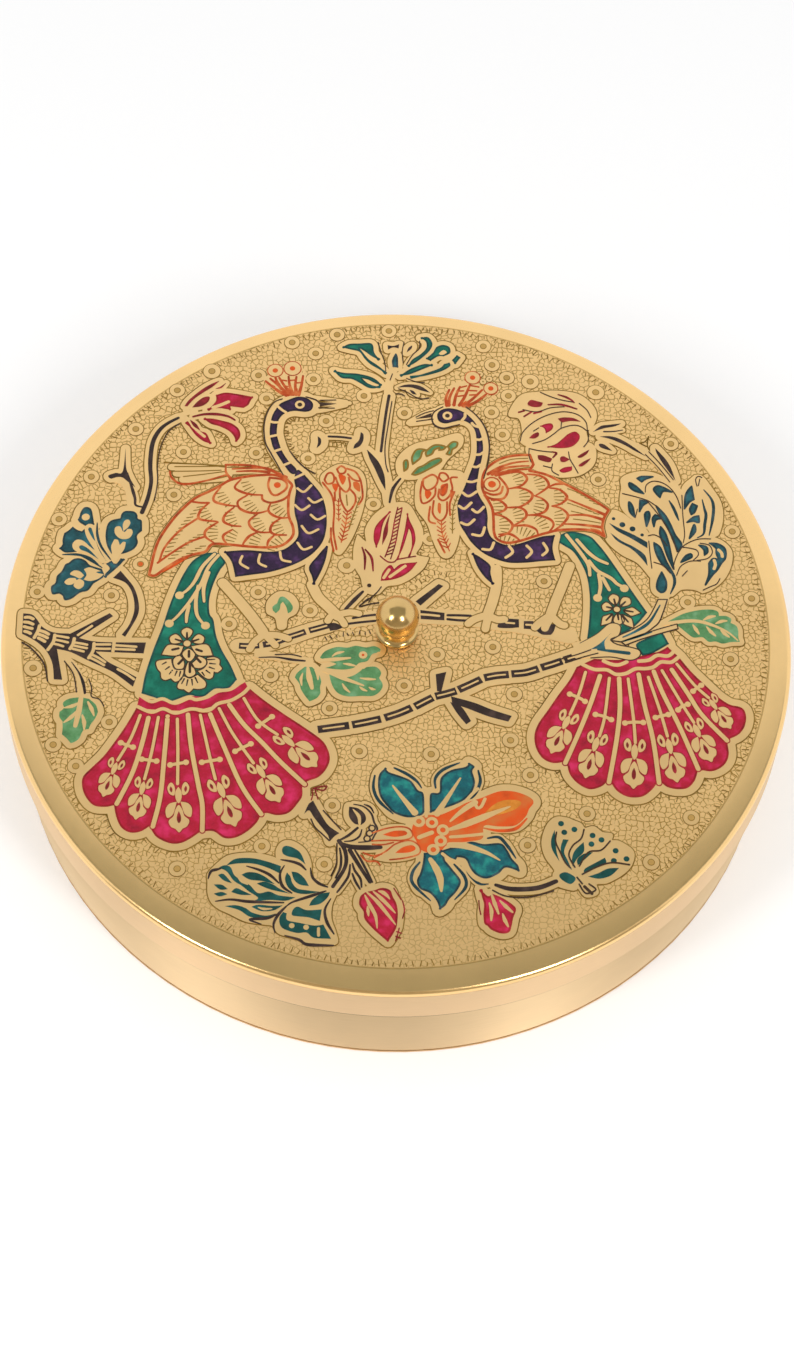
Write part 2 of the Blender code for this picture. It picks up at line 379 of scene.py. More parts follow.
def etched_cells(nodes, links, place):
    """A mask of the etched line and a height, for a ground of small rounded cells"""
    cell = sizes().cell
    warp = nodes.new("ShaderNodeTexNoise")
    warp.inputs["Scale"].default_value = 0.45 / cell
    warp.inputs["Detail"].default_value = 1.0
    links.new(place, warp.inputs["Vector"])
    push = nodes.new("ShaderNodeVectorMath")
    push.operation = "MULTIPLY_ADD"
    push.inputs[1].default_value = (0.9 * cell, 0.9 * cell, 0)
    links.new(warp.outputs["Color"], push.inputs[0])
    links.new(place, push.inputs[2])
    flat = nodes.new("ShaderNodeVectorMath")
    flat.operation = "MULTIPLY"
    flat.inputs[1].default_value = (1, 1, 0)
    links.new(push.outputs[0], flat.inputs[0])
    walls = nodes.new("ShaderNodeTexVoronoi")
    walls.voronoi_dimensions = "2D"
    walls.feature = "DISTANCE_TO_EDGE"
    walls.inputs["Scale"].default_value = 1 / cell
    walls.inputs["Randomness"].default_value = 0.82
    links.new(flat.outputs[0], walls.inputs["Vector"])
    line = mask_of(nodes, links, walls.outputs["Distance"], 0.13, 0.05, "Etched line")
    gaps = mask_of(nodes, links, noise(nodes, links, place, 1.1 * cell, 2.0, "Breaks"),
                   0.36, 0.46, "Where the line breaks")
    return sum_of(nodes, links, "MULTIPLY", line, gaps)


def lid_top_finish():
    """The lid's top: etched ground inside a plain polished rim"""
    finish, nodes, links, shader, place = new_finish("Etched Lid Brass")
    tarnish, hair = wear_in(nodes, links, place, 0.022, 0.0016)
    middle = nodes.new("ShaderNodeVectorMath")
    middle.operation = "DISTANCE"
    middle.inputs[1].default_value = (-0.0002, 0.0014, PLATE_TOP * MM)
    links.new(place, middle.inputs[0])
    edge = sizes().field_radius
    inside = mask_of(nodes, links, middle.outputs["Value"], edge, edge - 0.0002, "Etched field")
    hub = mask_of(nodes, links, middle.outputs["Value"], 0.0058, 0.0066, "Plain hub")
    rim_line = mask_of(nodes, links, sum_of(nodes, links, "ABSOLUTE", sum_of(
        nodes, links, "SUBTRACT", middle.outputs["Value"], edge), 0), 0.00035, 0.0001, "Rim line")
    lines = sum_of(nodes, links, "MULTIPLY", etched_cells(nodes, links, place), inside)
    lines = sum_of(nodes, links, "MULTIPLY", lines, hub)
    strength = mask_of(nodes, links, noise(nodes, links, place, 0.02, 2.0, "Bite"), 0.3, 0.7, "Bite")
    strength = sum_of(nodes, links, "ADD", sum_of(nodes, links, "MULTIPLY", strength, 0.28), 0.72)
    lines = sum_of(nodes, links, "MULTIPLY", lines, strength)
    axes = nodes.new("ShaderNodeSeparateXYZ")
    links.new(place, axes.inputs[0])
    # The etched lines fade towards the front of the lid
    front_fade = mask_of(nodes, links, axes.outputs["Y"], -0.07, -0.09, "Fainter lines at front")
    keep = sum_of(nodes, links, "SUBTRACT", 1.0, sum_of(nodes, links, "MULTIPLY", front_fade, 0.45))
    lines = sum_of(nodes, links, "MULTIPLY", lines, keep)
    cloudy = mask_of(nodes, links, tarnish, 0.45, 0.8, "Tarnish")
    base = mixed(nodes, links, cloudy, shade("lid_gold"), shade("lid_gold", 0.93), "Clouded gold")
    # Painted shade: the field's gold is darkened towards the front, standing in for the darker reflection
    # seen there
    front = mask_of(nodes, links, axes.outputs["Y"], -0.03, -0.1, "Painted darker front")
    front = sum_of(nodes, links, "MULTIPLY", front, inside)
    base = mixed(nodes, links, front, base, shade("lid_gold", 0.84), "Gold with painted front shade")
    ground = mixed(nodes, links, lines, base, shade("etch"), "Etched ground")
    ring = sum_of(nodes, links, "MULTIPLY", rim_line, 0.6)
    ground = mixed(nodes, links, ring, ground, shade("etch"), "Edge of the field")
    links.new(ground, shader.inputs["Base Color"])
    shader.inputs["Metallic"].default_value = 1.0
    rough = sum_of(nodes, links, "ADD", sum_of(nodes, links, "MULTIPLY", inside, 0.26), 0.17)
    rough = sum_of(nodes, links, "ADD", rough, sum_of(nodes, links, "MULTIPLY", hair, 0.08))
    links.new(rough, shader.inputs["Roughness"])
    height = sum_of(nodes, links, "SUBTRACT", 1.0, lines)
    relief(nodes, links, shader, height, 0.00006)
    return finish


# Height of each layer above the plate in millimetres, its slot, and the colour it takes
LAYERS = {
    "edge": (0.05, "etched_brass", "etch"),
    "gold": (0.09, "polished_brass", "lid_gold"),
    "crimson": (0.12, "enamel_crimson", "crimson"),
    "green": (0.12, "enamel_green", "green"),
    "purple": (0.12, "enamel_purple", "purple"),
    "crimson_rim": (0.1285, "enamel_crimson", "wine"),
    "green_rim": (0.1285, "enamel_green", "fern"),
    "purple_rim": (0.1285, "enamel_purple", "night"),
    "teal": (0.125, "enamel_teal", "teal"),
    "teal_rim": (0.1335, "enamel_teal", "slate"),
    "slate": (0.13, "enamel_teal", "slate"),
    "blue": (0.125, "enamel_teal", "blue"),
    "fern": (0.125, "enamel_green", "fern"),
    "teal_line": (0.19, "enamel_teal", "teal"),
    "honey": (0.15, "enamel_orange", "honey"),
    "leaf_green": (0.125, "enamel_leaf_green", "leaf_green"),
    "orange": (0.13, "enamel_orange", "orange"),
    "dot": (0.13, "etched_brass", "etch"),
    "seed": (0.1385, "etched_brass", "seed"),
    "black": (0.135, "enamel_black", "black"),
    "ember": (0.15, "enamel_orange", "ember"),
    "sprig": (0.17, "polished_brass", "lid_gold"),
    "garnet": (0.19, "enamel_crimson", "garnet"),
    "orange_spot": (0.19, "enamel_orange", "orange"),
    "ink": (0.19, "enamel_black", "ink"),
}
# How far the orange lines bleed over their drawn width
EMBER_SPREAD = 1.4
# The darker layer that lies along the edge of an enamel, where it pooled against the metal
POOLED = {"crimson": "crimson_rim", "green": "green_rim", "purple": "purple_rim", "teal": "teal_rim",
          "blue": "teal_rim"}
THIN_ENAMEL = {
    "night": ((0.03, 0.02, 0.04, 1), 0.6, 0.003),
    "wine": ((0.42, 0.015, 0.03, 1), 0.6, 0.003),
    "crimson": ((0.66, 0.022, 0.115, 1), 0.62, 0.0042),
    "orange": ((0.6, 0.16, 0.03, 1), 0.72, 0.005),
    "green": ((0.012, 0.24, 0.15, 1), 0.6, 0.0045),
    "teal": ((0.03, 0.16, 0.19, 1), 0.6, 0.003),
    "leaf_green": ((0.2, 0.4, 0.2, 1), 0.6, 0.003),
    "slate": ((0.05, 0.09, 0.1, 1), 0.6, 0.003),
    "blue": ((0.02, 0.3, 0.24, 1), 0.6, 0.003),
    "fern": ((0.01, 0.1, 0.09, 1), 0.6, 0.003),
    "honey": ((0.8, 0.3, 0.04, 1), 0.6, 0.003),
    "purple": ((0.09, 0.03, 0.12, 1), 0.6, 0.003),
    "black": ((0.07, 0.04, 0.03, 1), 0.6, 0.003),
    "ember": ((0.7, 0.2, 0.05, 1), 0.6, 0.003),
    "garnet": ((0.4, 0.02, 0.03, 1), 0.6, 0.003),
    "ink": ((0.06, 0.04, 0.03, 1), 0.6, 0.003),
}


def finish_for(layer):
    """The finish of a layer of the lid's ornament, made once"""
    colour = LAYERS[layer][2]
    title = "Lid " + layer.title().replace("_", " ")
    ready = bpy.data.materials.get(title)
    if ready:
        return ready
    if colour == "lid_gold":
        return brass_finish(title, colour, 0.3, 0.02, False, 0.92)
    if colour in ("etch", "seed"):
        dark = 0.5 if layer == "edge" else 0.9
        return brass_finish(title, colour, 0.5, 0.012, False, dark)
    return enamel_finish(title, colour, *THIN_ENAMEL[colour])


# How far each layer reaches down into the plate, in millimetres
SUNK = 0.03
# Width of the line bitten round a band of plain metal
BITTEN_LINE = 0.32
# How near two points of a layer may lie before they are joined
JOIN_REACH = 0.002
# Spacing of the points along a smooth path, the length of a feather's barbs and the width of the
# slit in a branch, in millimetres, and the most steps between two given points
PATH_STEP = 0.45
MOST_STEPS = 12
BARB = 1.9
BRANCH_SLIT = 0.5


def read_points(text):
    """Points written as "x y, x y|", where the bar marks a corner"""
    points = []
    for word in text.split(","):
        corner = "|" in word
        across, up = word.replace("|", " ").split()
        points.append((float(across), float(up), corner))
    return points


def smooth_path(points, closed):
    """A smooth run of points through the given ones, with the marked corners kept sharp"""
    count = len(points)
    path = []
    spans = count if closed else count - 1
    for index in range(spans):
        here = points[index]
        there = points[(index + 1) % count]
        before = points[index - 1] if closed or index else here
        after = points[(index + 2) % count] if closed or index + 2 < count else there
        before = here if here[2] else before
        after = there if there[2] else after
        length = math.hypot(there[0] - here[0], there[1] - here[1])
        pieces = max(1, min(MOST_STEPS, round(length / PATH_STEP)))
        for piece in range(pieces):
            t = piece / pieces
            weights = (-0.5 * t ** 3 + t ** 2 - 0.5 * t, 1.5 * t ** 3 - 2.5 * t ** 2 + 1,
                       -1.5 * t ** 3 + 2 * t ** 2 + 0.5 * t, 0.5 * t ** 3 - 0.5 * t ** 2)
            spot = zip(weights, (before, here, there, after))
            pairs = [(weight * point[0], weight * point[1]) for weight, point in spot]
            path.append((sum(pair[0] for pair in pairs), sum(pair[1] for pair in pairs)))
    if not closed:
        path.append(points[-1][:2])
    return path


def signed_area(path):
    """Positive where the path runs anticlockwise"""
    pairs = zip(path, path[1:] + path[:1])
    return 0.5 * sum(a[0] * b[1] - b[0] * a[1] for a, b in pairs)


class Sheet:
    """The flat shapes of one colour layer, before they are given a thickness"""

    def __init__(self):
        self.points = []
        self.faces = []

    def face(self, outline):
        """One flat shape"""
        if len(outline) < 3:
            return
        if signed_area(outline) < 0:
            outline = outline[::-1]
        start = len(self.points)
        self.points.extend(outline)
        self.faces.append(tuple(range(start, start + len(outline))))

    def disc(self, across, up, radius, sides=14):
        """One round spot"""
        turns = [FULL_TURN * side / sides for side in range(sides)]
        self.face([(across + radius * math.cos(a), up + radius * math.sin(a)) for a in turns])

    def ribbon(self, path, widths, closed=False):
        """One line along a path, with a width at each point and round ends and corners"""
        clean = [path[0]]
        kept = [widths[0]]
        for point, width in zip(path[1:], widths[1:]):
            if math.hypot(point[0] - clean[-1][0], point[1] - clean[-1][1]) > 0.02:
                clean.append(point)
                kept.append(width)
        count = len(clean)
        if count < 2:
            return
        sides = []
        for index, (point, width) in enumerate(zip(clean, kept)):
            before = clean[index - 1] if closed or index else point
            after = clean[(index + 1) % count] if closed or index + 1 < count else point
            run = (after[0] - before[0], after[1] - before[1])
            length = math.hypot(*run) or 1.0
            side = (-run[1] / length * width / 2, run[0] / length * width / 2)
            sides.append(((point[0] + side[0], point[1] + side[1]),
                          (point[0] - side[0], point[1] - side[1])))
            first = (point[0] - before[0], point[1] - before[1])
            second = (after[0] - point[0], after[1] - point[1])
            lengths = math.hypot(*first) * math.hypot(*second)
            bend = first[0] * second[0] + first[1] * second[1]
            if not lengths or bend < 0.82 * lengths:
                self.disc(*point, width / 2, 12)
        spans = count if closed else count - 1
        for index in range(spans):
            here, there = sides[index], sides[(index + 1) % count]
            self.face(hull([here[0], here[1], there[1], there[0]]))


def hull(points):
    """The points of the tightest convex outline round the given ones"""
    ordered = sorted(set(points))
    rims = []
    for run in (ordered, ordered[::-1]):
        rim = []
        for point in run:
            while len(rim) > 1 and turn_of(rim[-2], rim[-1], point) <= 0:
                rim.pop()
            rim.append(point)
        rims += rim[:-1]
    return rims


def turn_of(first, second, third):
    """Positive where three points turn to the left"""
    return ((second[0] - first[0]) * (third[1] - first[1])
            - (second[1] - first[1]) * (third[0] - first[0]))


def holds(outline, spot):
    """True where a spot lies inside an outline"""
    odd = False
    for index, here in enumerate(outline):
        last = outline[index - 1]
        if (here[1] > spot[1]) != (last[1] > spot[1]):
            cross = here[0] + (spot[1] - here[1]) / (last[1] - here[1]) * (last[0] - here[0])
            if spot[0] < cross:
                odd = not odd
    return odd


def covered(spots, face, shapes, sheet):
    """True where the middle of a joined face lies in one of the shapes that it is said to come from"""
    middle = (sum(spots[corner][0] for corner in face) / len(face),
              sum(spots[corner][1] for corner in face) / len(face))
    return any(holds([sheet.points[corner] for corner in sheet.faces[shape]], middle) for shape in shapes)


def widths_along(count, given):
    """The widths of a line from one number, or from several spread along it"""
    if isinstance(given, (int, float)):
        return [given] * count
    widths = []
    for index in range(count):
        place = index / max(1, count - 1) * (len(given) - 1)
        low = min(int(place), len(given) - 2)
        widths.append(given[low] + (given[low + 1] - given[low]) * (place - low))
    return widths


def inset(path, amount):
    """A closed path moved inwards by a small amount"""
    turn = 1 if signed_area(path) > 0 else -1
    count = len(path)
    moved = []
    for index, point in enumerate(path):
        before, after = path[index - 1], path[(index + 1) % count]
        run = (after[0] - before[0], after[1] - before[1])
        length = math.hypot(*run) or 1.0
        moved.append((point[0] - run[1] / length * turn * amount, point[1] + run[0] / length * turn * amount))
    return moved


class Ornament:
    """A motif of the lid, gathered layer by layer and then laid on the plate"""

    def __init__(self, name, lift=0.0):
        self.name = name
        self.lift = lift
        self.sheets = {}

    def sheet(self, layer):
        """The sheet of one layer"""
        if layer not in self.sheets:
            self.sheets[layer] = Sheet()
        return self.sheets[layer]

    def band(self, path, width, closed=True):
        """Plain metal round a path, with a bitten line round the metal"""
        self.sheet("gold").ribbon(path, [2 * width] * len(path), closed)
        edge = 2 * width + 2 * BITTEN_LINE
        self.sheet("edge").ribbon(path, [edge] * len(path), closed)

    def fill(self, layer, outline, band=0.0, under=None):
        """An enamelled shape, with a band of plain metal round it"""
        path = smooth_path(read_points(outline), True)
        self.sheet(layer).face(path)
        if layer in POOLED:
            rim = 0.6 if band else 0.36
            self.sheet(POOLED[layer]).ribbon(inset(path, rim / 2), [rim] * len(path), True)
        if under:
            self.sheet(under).ribbon(path, [0.6] * len(path), True)
        if band:
            self.sheet("gold").face(path)
            self.band(path, band)
        return path

    def line(self, layer, width, text, band=0.0, under=None):
        """A drawn line, with a band of plain metal round it where one is asked"""
        for part in text.split(";"):
            path = smooth_path(read_points(part), False)
            widths = widths_along(len(path), width)
            if layer == "ember":
                widths = [wide * EMBER_SPREAD for wide in widths]
            self.sheet(layer).ribbon(path, widths)
            if under:
                self.sheet(under).ribbon(path, [wide + 0.62 for wide in widths])
            if band:
                self.band(path, band, closed=False)

    def spots(self, layer, radius, text):
        """Round spots"""
        for across, up, _ in read_points(text):
            self.sheet(layer).disc(across, up, radius)

    def roundels(self, text, outer=2.2, inner=0.75):
        """Small plain rings with a bitten dot in the middle"""
        for across, up, _ in read_points(text):
            self.sheet("edge").disc(across, up, outer + 0.22, 24)
            self.sheet("gold").disc(across, up, outer, 24)
            self.sheet("dot").disc(across, up, inner + 0.25, 16)
            self.sheet("seed").disc(across, up, inner + 0.05, 14)

    def ticks(self, path, offset, length, spacing, layer="edge", closed=True, width=0.28):
        """Short strokes that stand out from a path, as the graver left them"""
        count = len(path)
        turn = 1 if signed_area(path) > 0 else -1
        gone = 0.0
        number = 0
        for index in range(count if closed else count - 1):
            here, there = path[index], path[(index + 1) % count]
            length_here = math.hypot(there[0] - here[0], there[1] - here[1])
            gone += length_here
            if gone < spacing or length_here < 0.001:
                continue
            gone = 0.0
            number += 1
            out = ((there[1] - here[1]) / length_here * turn, -(there[0] - here[0]) / length_here * turn)
            reach = length * (0.75 + 0.25 * math.sin(number * 2.4))
            lean = 0.35 * math.sin(number * 1.7)
            first = (here[0] + out[0] * offset, here[1] + out[1] * offset)
            last = (first[0] + (out[0] - lean * out[1]) * reach, first[1] + (out[1] + lean * out[0]) * reach)
            self.sheet(layer).ribbon([first, last], [width, width * 0.8])

    def laid(self):
        """Gives every layer its thickness and lays it on the lid"""
        for layer, sheet in self.sheets.items():
            height, slot, _ = LAYERS[layer]
            self.plate_of(layer, sheet, height + self.lift, slot)

    def plate_of(self, layer, sheet, height, slot):
        """One layer as a thin piece, sunk a little into the plate"""
        top = (PLATE_TOP + height) * MM
        mesh = bpy.data.meshes.new(self.name + "_" + layer)
        flat = [Vector(point) for point in sheet.points]
        joined = delaunay_2d_cdt(flat, [], sheet.faces, 1, JOIN_REACH)
        corners = [(spot[0] * MM, spot[1] * MM, top) for spot in joined[0]]
        inside = [face for face, shapes in zip(joined[2], joined[5])
                  if covered(joined[0], face, shapes, sheet)]
        mesh.from_pydata(corners, [], inside)
        piece = bpy.data.objects.new(self.name + "_" + layer, mesh)
        bpy.context.collection.objects.link(piece)
        deselect_all()
        piece.select_set(True)
        bpy.context.view_layer.objects.active = piece
        wall = piece.modifiers.new("Thickness", "SOLIDIFY")
        wall.thickness = (height + SUNK) * MM
        wall.offset = -1.0
        bpy.ops.object.modifier_apply(modifier=wall.name)
        dressed(piece, "lid", finish_for(layer), slot)


# The left bird, in millimetres from the knob

LEFT_BODY = (
    "-31.2 49.3, -30.5 45.5, -30.7 41.6, -30.5 37.8, -29.5 33.9, -29.1 30.1, -30.5 27.4, -33.2 25.1, "
    "-37 24.3, -43.5 24.5, -49.7 23.7|, -47.4 20.5, -46 15.5|, -41.6 16.4, -37 17.4, -32.4 19.1, "
    "-27.8 21.6, -24.3 24.7, -22 28.5, -21.2 33.2, -21.4 37.8, -22.2 41.6, -23.5 44.7, -26.2 48.2, "
    "-30.1 52.4")
LEFT_NECK = (
    "-36.6 75.2, -33.9 76.9, -31.6 77.9, -29.3 77.7, -27.6 76.5, -27 75, -27.6 73.3, -29.3 72.7, "
    "-32 72.9, -33.9 72.5, -35.5 71.5, -36.6 69.8, -37 67.7, -37 64.6, -36.2 61.5, -35.1 58.5, "
    "-33.2 55.4, -30.8 52.7, -31 51, -32.4 51.2, -34.3 53.8, -36.2 56.9, -37.8 59.6, -38.5 61.9, "
    "-39.1 64.6, -39.1 67.7, -38.7 70.8, -37.8 73.1")
LEFT_WING = (
    "-31.8 47.2, -33.9 49.3, -37 50.3, -40.5 50.1, -44.3 49.5, -49.3 48, -52.3 45.8, -55 43.9, -58.1 42, "
    "-60.4 39.9, -63.8 35.5, -66.5 30.8, -68.5 26.2, -69.4 21.6, -69.8 18.2, -70.2 15.1|, -68.5 14.9, "
    "-65.8 17.4, -61.9 20.5, -58.1 22.4, -55 23.5, -53.2 26, -49.3 26.2, -43.5 25.8, -37.8 25.7, "
    "-33.9 26.4, -31.6 28.3, -30.5 30.5, -30.8 33.2, -32 36.2, -32.4 39.7, -32.4 43.5, -32 45.8")
LEFT_TRAIN = (
    "-54.6 23, -58.1 20.5, -60.4 16.2, -62.3 10.8, -63.8 5.1, -65 -0.7, -65.8 -3.9, -67.3 -9.7, "
    "-68.8 -17, -69.4 -23.2|, -65.8 -24.3, -61.9 -25.5, -56.5 -23.2, -54.2 -23.5, -52 -23.2, "
    "-49.3 -20.8, -45.8 -20.5, -43.5 -17.6|, -45.5 -13.2, -48.2 -8.5, -50.1 -3.9, -51.2 1.1, -52.4 3.2, "
    "-52.8 7.8, -52 12.8, -50.5 17.4, -49.1 20.1, -50.1 22, -51.2 23")
LEFT_FAN = (
    "-70.4 -27.8|, -72.7 -33.2, -75.4 -38.5, -78.1 -43.2, -80.8 -46.6, -83.1 -49.7, -83.1 -52.8, "
    "-81.9 -55.8, -79.5 -58.3, -76.3 -58.6, -74.1 -58|, -73.2 -61.5, -71.6 -64.6, -69.1 -66, "
    "-66.4 -65.6, -64.1 -63.9|, -62 -67, -58.4 -68.7, -55.6 -68.6, -53.2 -67.3, -50.5 -65|, -47 -64.6, "
    "-43.9 -66.5, -40.8 -66.2, -37.8 -64.2, -35.5 -61.5, -34.7 -59.6|, -33.2 -58.5, -30.1 -59, "
    "-27 -58.1, -24.7 -55, -23.7 -52.8, -23.9 -49.7|, -22.4 -48.3, -19.7 -47, -17.8 -44.7, -16.8 -41.6, "
    "-17.4 -38.5, -19.3 -35.5, -23.9 -32, -30.1 -27.8, -35.5 -23.9, -40.1 -20.1|, -44.5 -24, -48 -25.2, "
    "-51.5 -28.4, -56 -27.7, -60 -29.2, -63.3 -27.8, -67.4 -28.8")


def scaled_scales(ornament, text):
    """Feather scales: an orange arc with short bitten barbs inside it"""
    for part in text.split(";"):
        path = smooth_path(read_points(part), False)
        ornament.sheet("ember").ribbon(path, widths_along(len(path), (0.45, 0.85, 0.45)))
        middle = path[len(path) // 2]
        ends = ((path[0][0] + path[-1][0]) / 2, (path[0][1] + path[-1][1]) / 2)
        run = (ends[0] - middle[0], ends[1] - middle[1])
        length = math.hypot(*run) or 1.0
        along = (run[0] / length, run[1] / length)
        for step in (-0.62, -0.31, 0.0, 0.31, 0.62):
            base = (middle[0] + along[0] * (0.9 + abs(step)) - along[1] * step * 4.2,
                    middle[1] + along[1] * (0.9 + abs(step)) + along[0] * step * 4.2)
            reach = BARB * (1.5 - abs(step) * 0.8)
            tip = (base[0] + along[0] * reach + along[1] * step, base[1] + along[1] * reach - along[0] * step)
            ornament.sheet("dot").ribbon([base, tip], [0.36, 0.2])


def drop_leaf(ornament, heart, tip, wide, sharp=False):
    """A plain metal petal with a dark outline and a dark slit"""
    run = (tip[0] - heart[0], tip[1] - heart[1])
    marks = []
    for down, across in ((0.27, 0.0), (0.5, 0.4), (0.8, 0.5), (1.0, 0.0), (0.8, -0.5), (0.5, -0.4)):
        if sharp and abs(across) == 0.5:
            down = 0.66
        side = across * wide / math.hypot(*run)
        marks.append(f"{heart[0] + run[0] * down - run[1] * side:.2f} "
                     f"{heart[1] + run[1] * down + run[0] * side:.2f}{'|' if sharp and down == 1.0 else ''}")
    outlined(ornament, ", ".join(marks))
    near = (heart[0] + run[0] * 0.3, heart[1] + run[1] * 0.3)
    far = (heart[0] + run[0] * 0.66, heart[1] + run[1] * 0.66)
    ornament.sheet("ink").ribbon([near, far], [0.7, 0.5])


def outlined(ornament, text):
    """A plain metal shape with a dark outline"""
    path = ornament.fill("sprig", text)
    ornament.sheet("ink").ribbon(path, [0.36] * len(path), True)


def ringed(ornament, heart, radius):
    """A round plain metal heart with a dark ring"""
    ornament.sheet("sprig").disc(heart[0], heart[1], radius)
    ring = [(heart[0] + radius * math.cos(turn), heart[1] + radius * math.sin(turn))
            for turn in (math.tau * step / 14 for step in range(14))]
    ornament.sheet("ink").ribbon(ring, [0.36] * len(ring), True)


def bud(ornament, root, tip):
    """A crimson feather bud: plain metal leaf with its seed and side leaves"""
    length = math.hypot(tip[0] - root[0], tip[1] - root[1])
    along = ((tip[0] - root[0]) / length, (tip[1] - root[1]) / length)
    unit = length / 15.0

    def place(points):
        """Points of the bud's own drawing set down on the lid"""
        words = []
        for across, down, corner in points:
            x = root[0] + unit * (along[0] * down - along[1] * across)
            y = root[1] + unit * (along[1] * down + along[0] * across)
            words.append(f"{x:.3f} {y:.3f}{'|' if corner else ''}")
        return ", ".join(words)

    for side in (-1, 1):
        loop = [(side * 2.1, -0.6, False), (side * 3.0, 0.9, False), (side * 2.5, 2.8, False),
                (side * 1.2, 3.4, False), (side * 0.9, 1.6, False), (side * 1.3, 0.0, False)]
        ornament.fill("sprig", place(loop), 0, "crimson_rim")
        slot = [(side * 2.1, 0.6, False), (side * 2.4, 1.6, False), (side * 1.9, 2.5, False),
                (side * 1.6, 1.5, False)]
        ornament.fill("garnet", place(slot))
        leaf = [(side * 0.5, 5.4, True), (side * 2.6, 6.0, False), (side * 3.6, 7.8, False),
                (side * 3.2, 10.2, False), (side * 1.7, 9.4, False), (side * 1.0, 7.4, False)]
        ornament.fill("sprig", place(leaf), 0, "crimson_rim")
    drop = [(0, 0.8, True), (0.85, 2.4, False), (0.75, 4.6, False), (0, 5.9, False),
            (-0.75, 4.6, False), (-0.85, 2.4, False)]
    ornament.fill("sprig", place(drop), 0, "crimson_rim")
    lobe = [(0, 6.4, False), (1.0, 8.0, False), (1.5, 9.8, False), (2.8, 11.2, False), (2.2, 13.0, False),
            (1.0, 13.7, False), (0, 14.8, False), (-1.0, 13.7, False), (-2.2, 13.0, False),
            (-2.8, 11.2, False), (-1.5, 9.8, False), (-1.0, 8.0, False)]
    ornament.fill("sprig", place(lobe), 0, "crimson_rim")
    seed = [(0, 8.3, True), (0.55, 9.8, False), (0.5, 11.3, False), (0, 12.0, False), (-0.5, 11.3, False),
            (-0.55, 9.8, False)]
    ornament.fill("garnet", place(seed))


def barbs(ornament, text, reach, rise):
    """Short strokes side by side along a long feather"""
    gone = 0.0
    path = smooth_path(read_points(text), False)
    for here, there in zip(path, path[1:]):
        gone += math.dist(here, there)
        if gone > 1.1:
            gone = 0.0
            ornament.sheet("dot").ribbon([here, (here[0] + reach, here[1] + rise)], [0.32, 0.24])


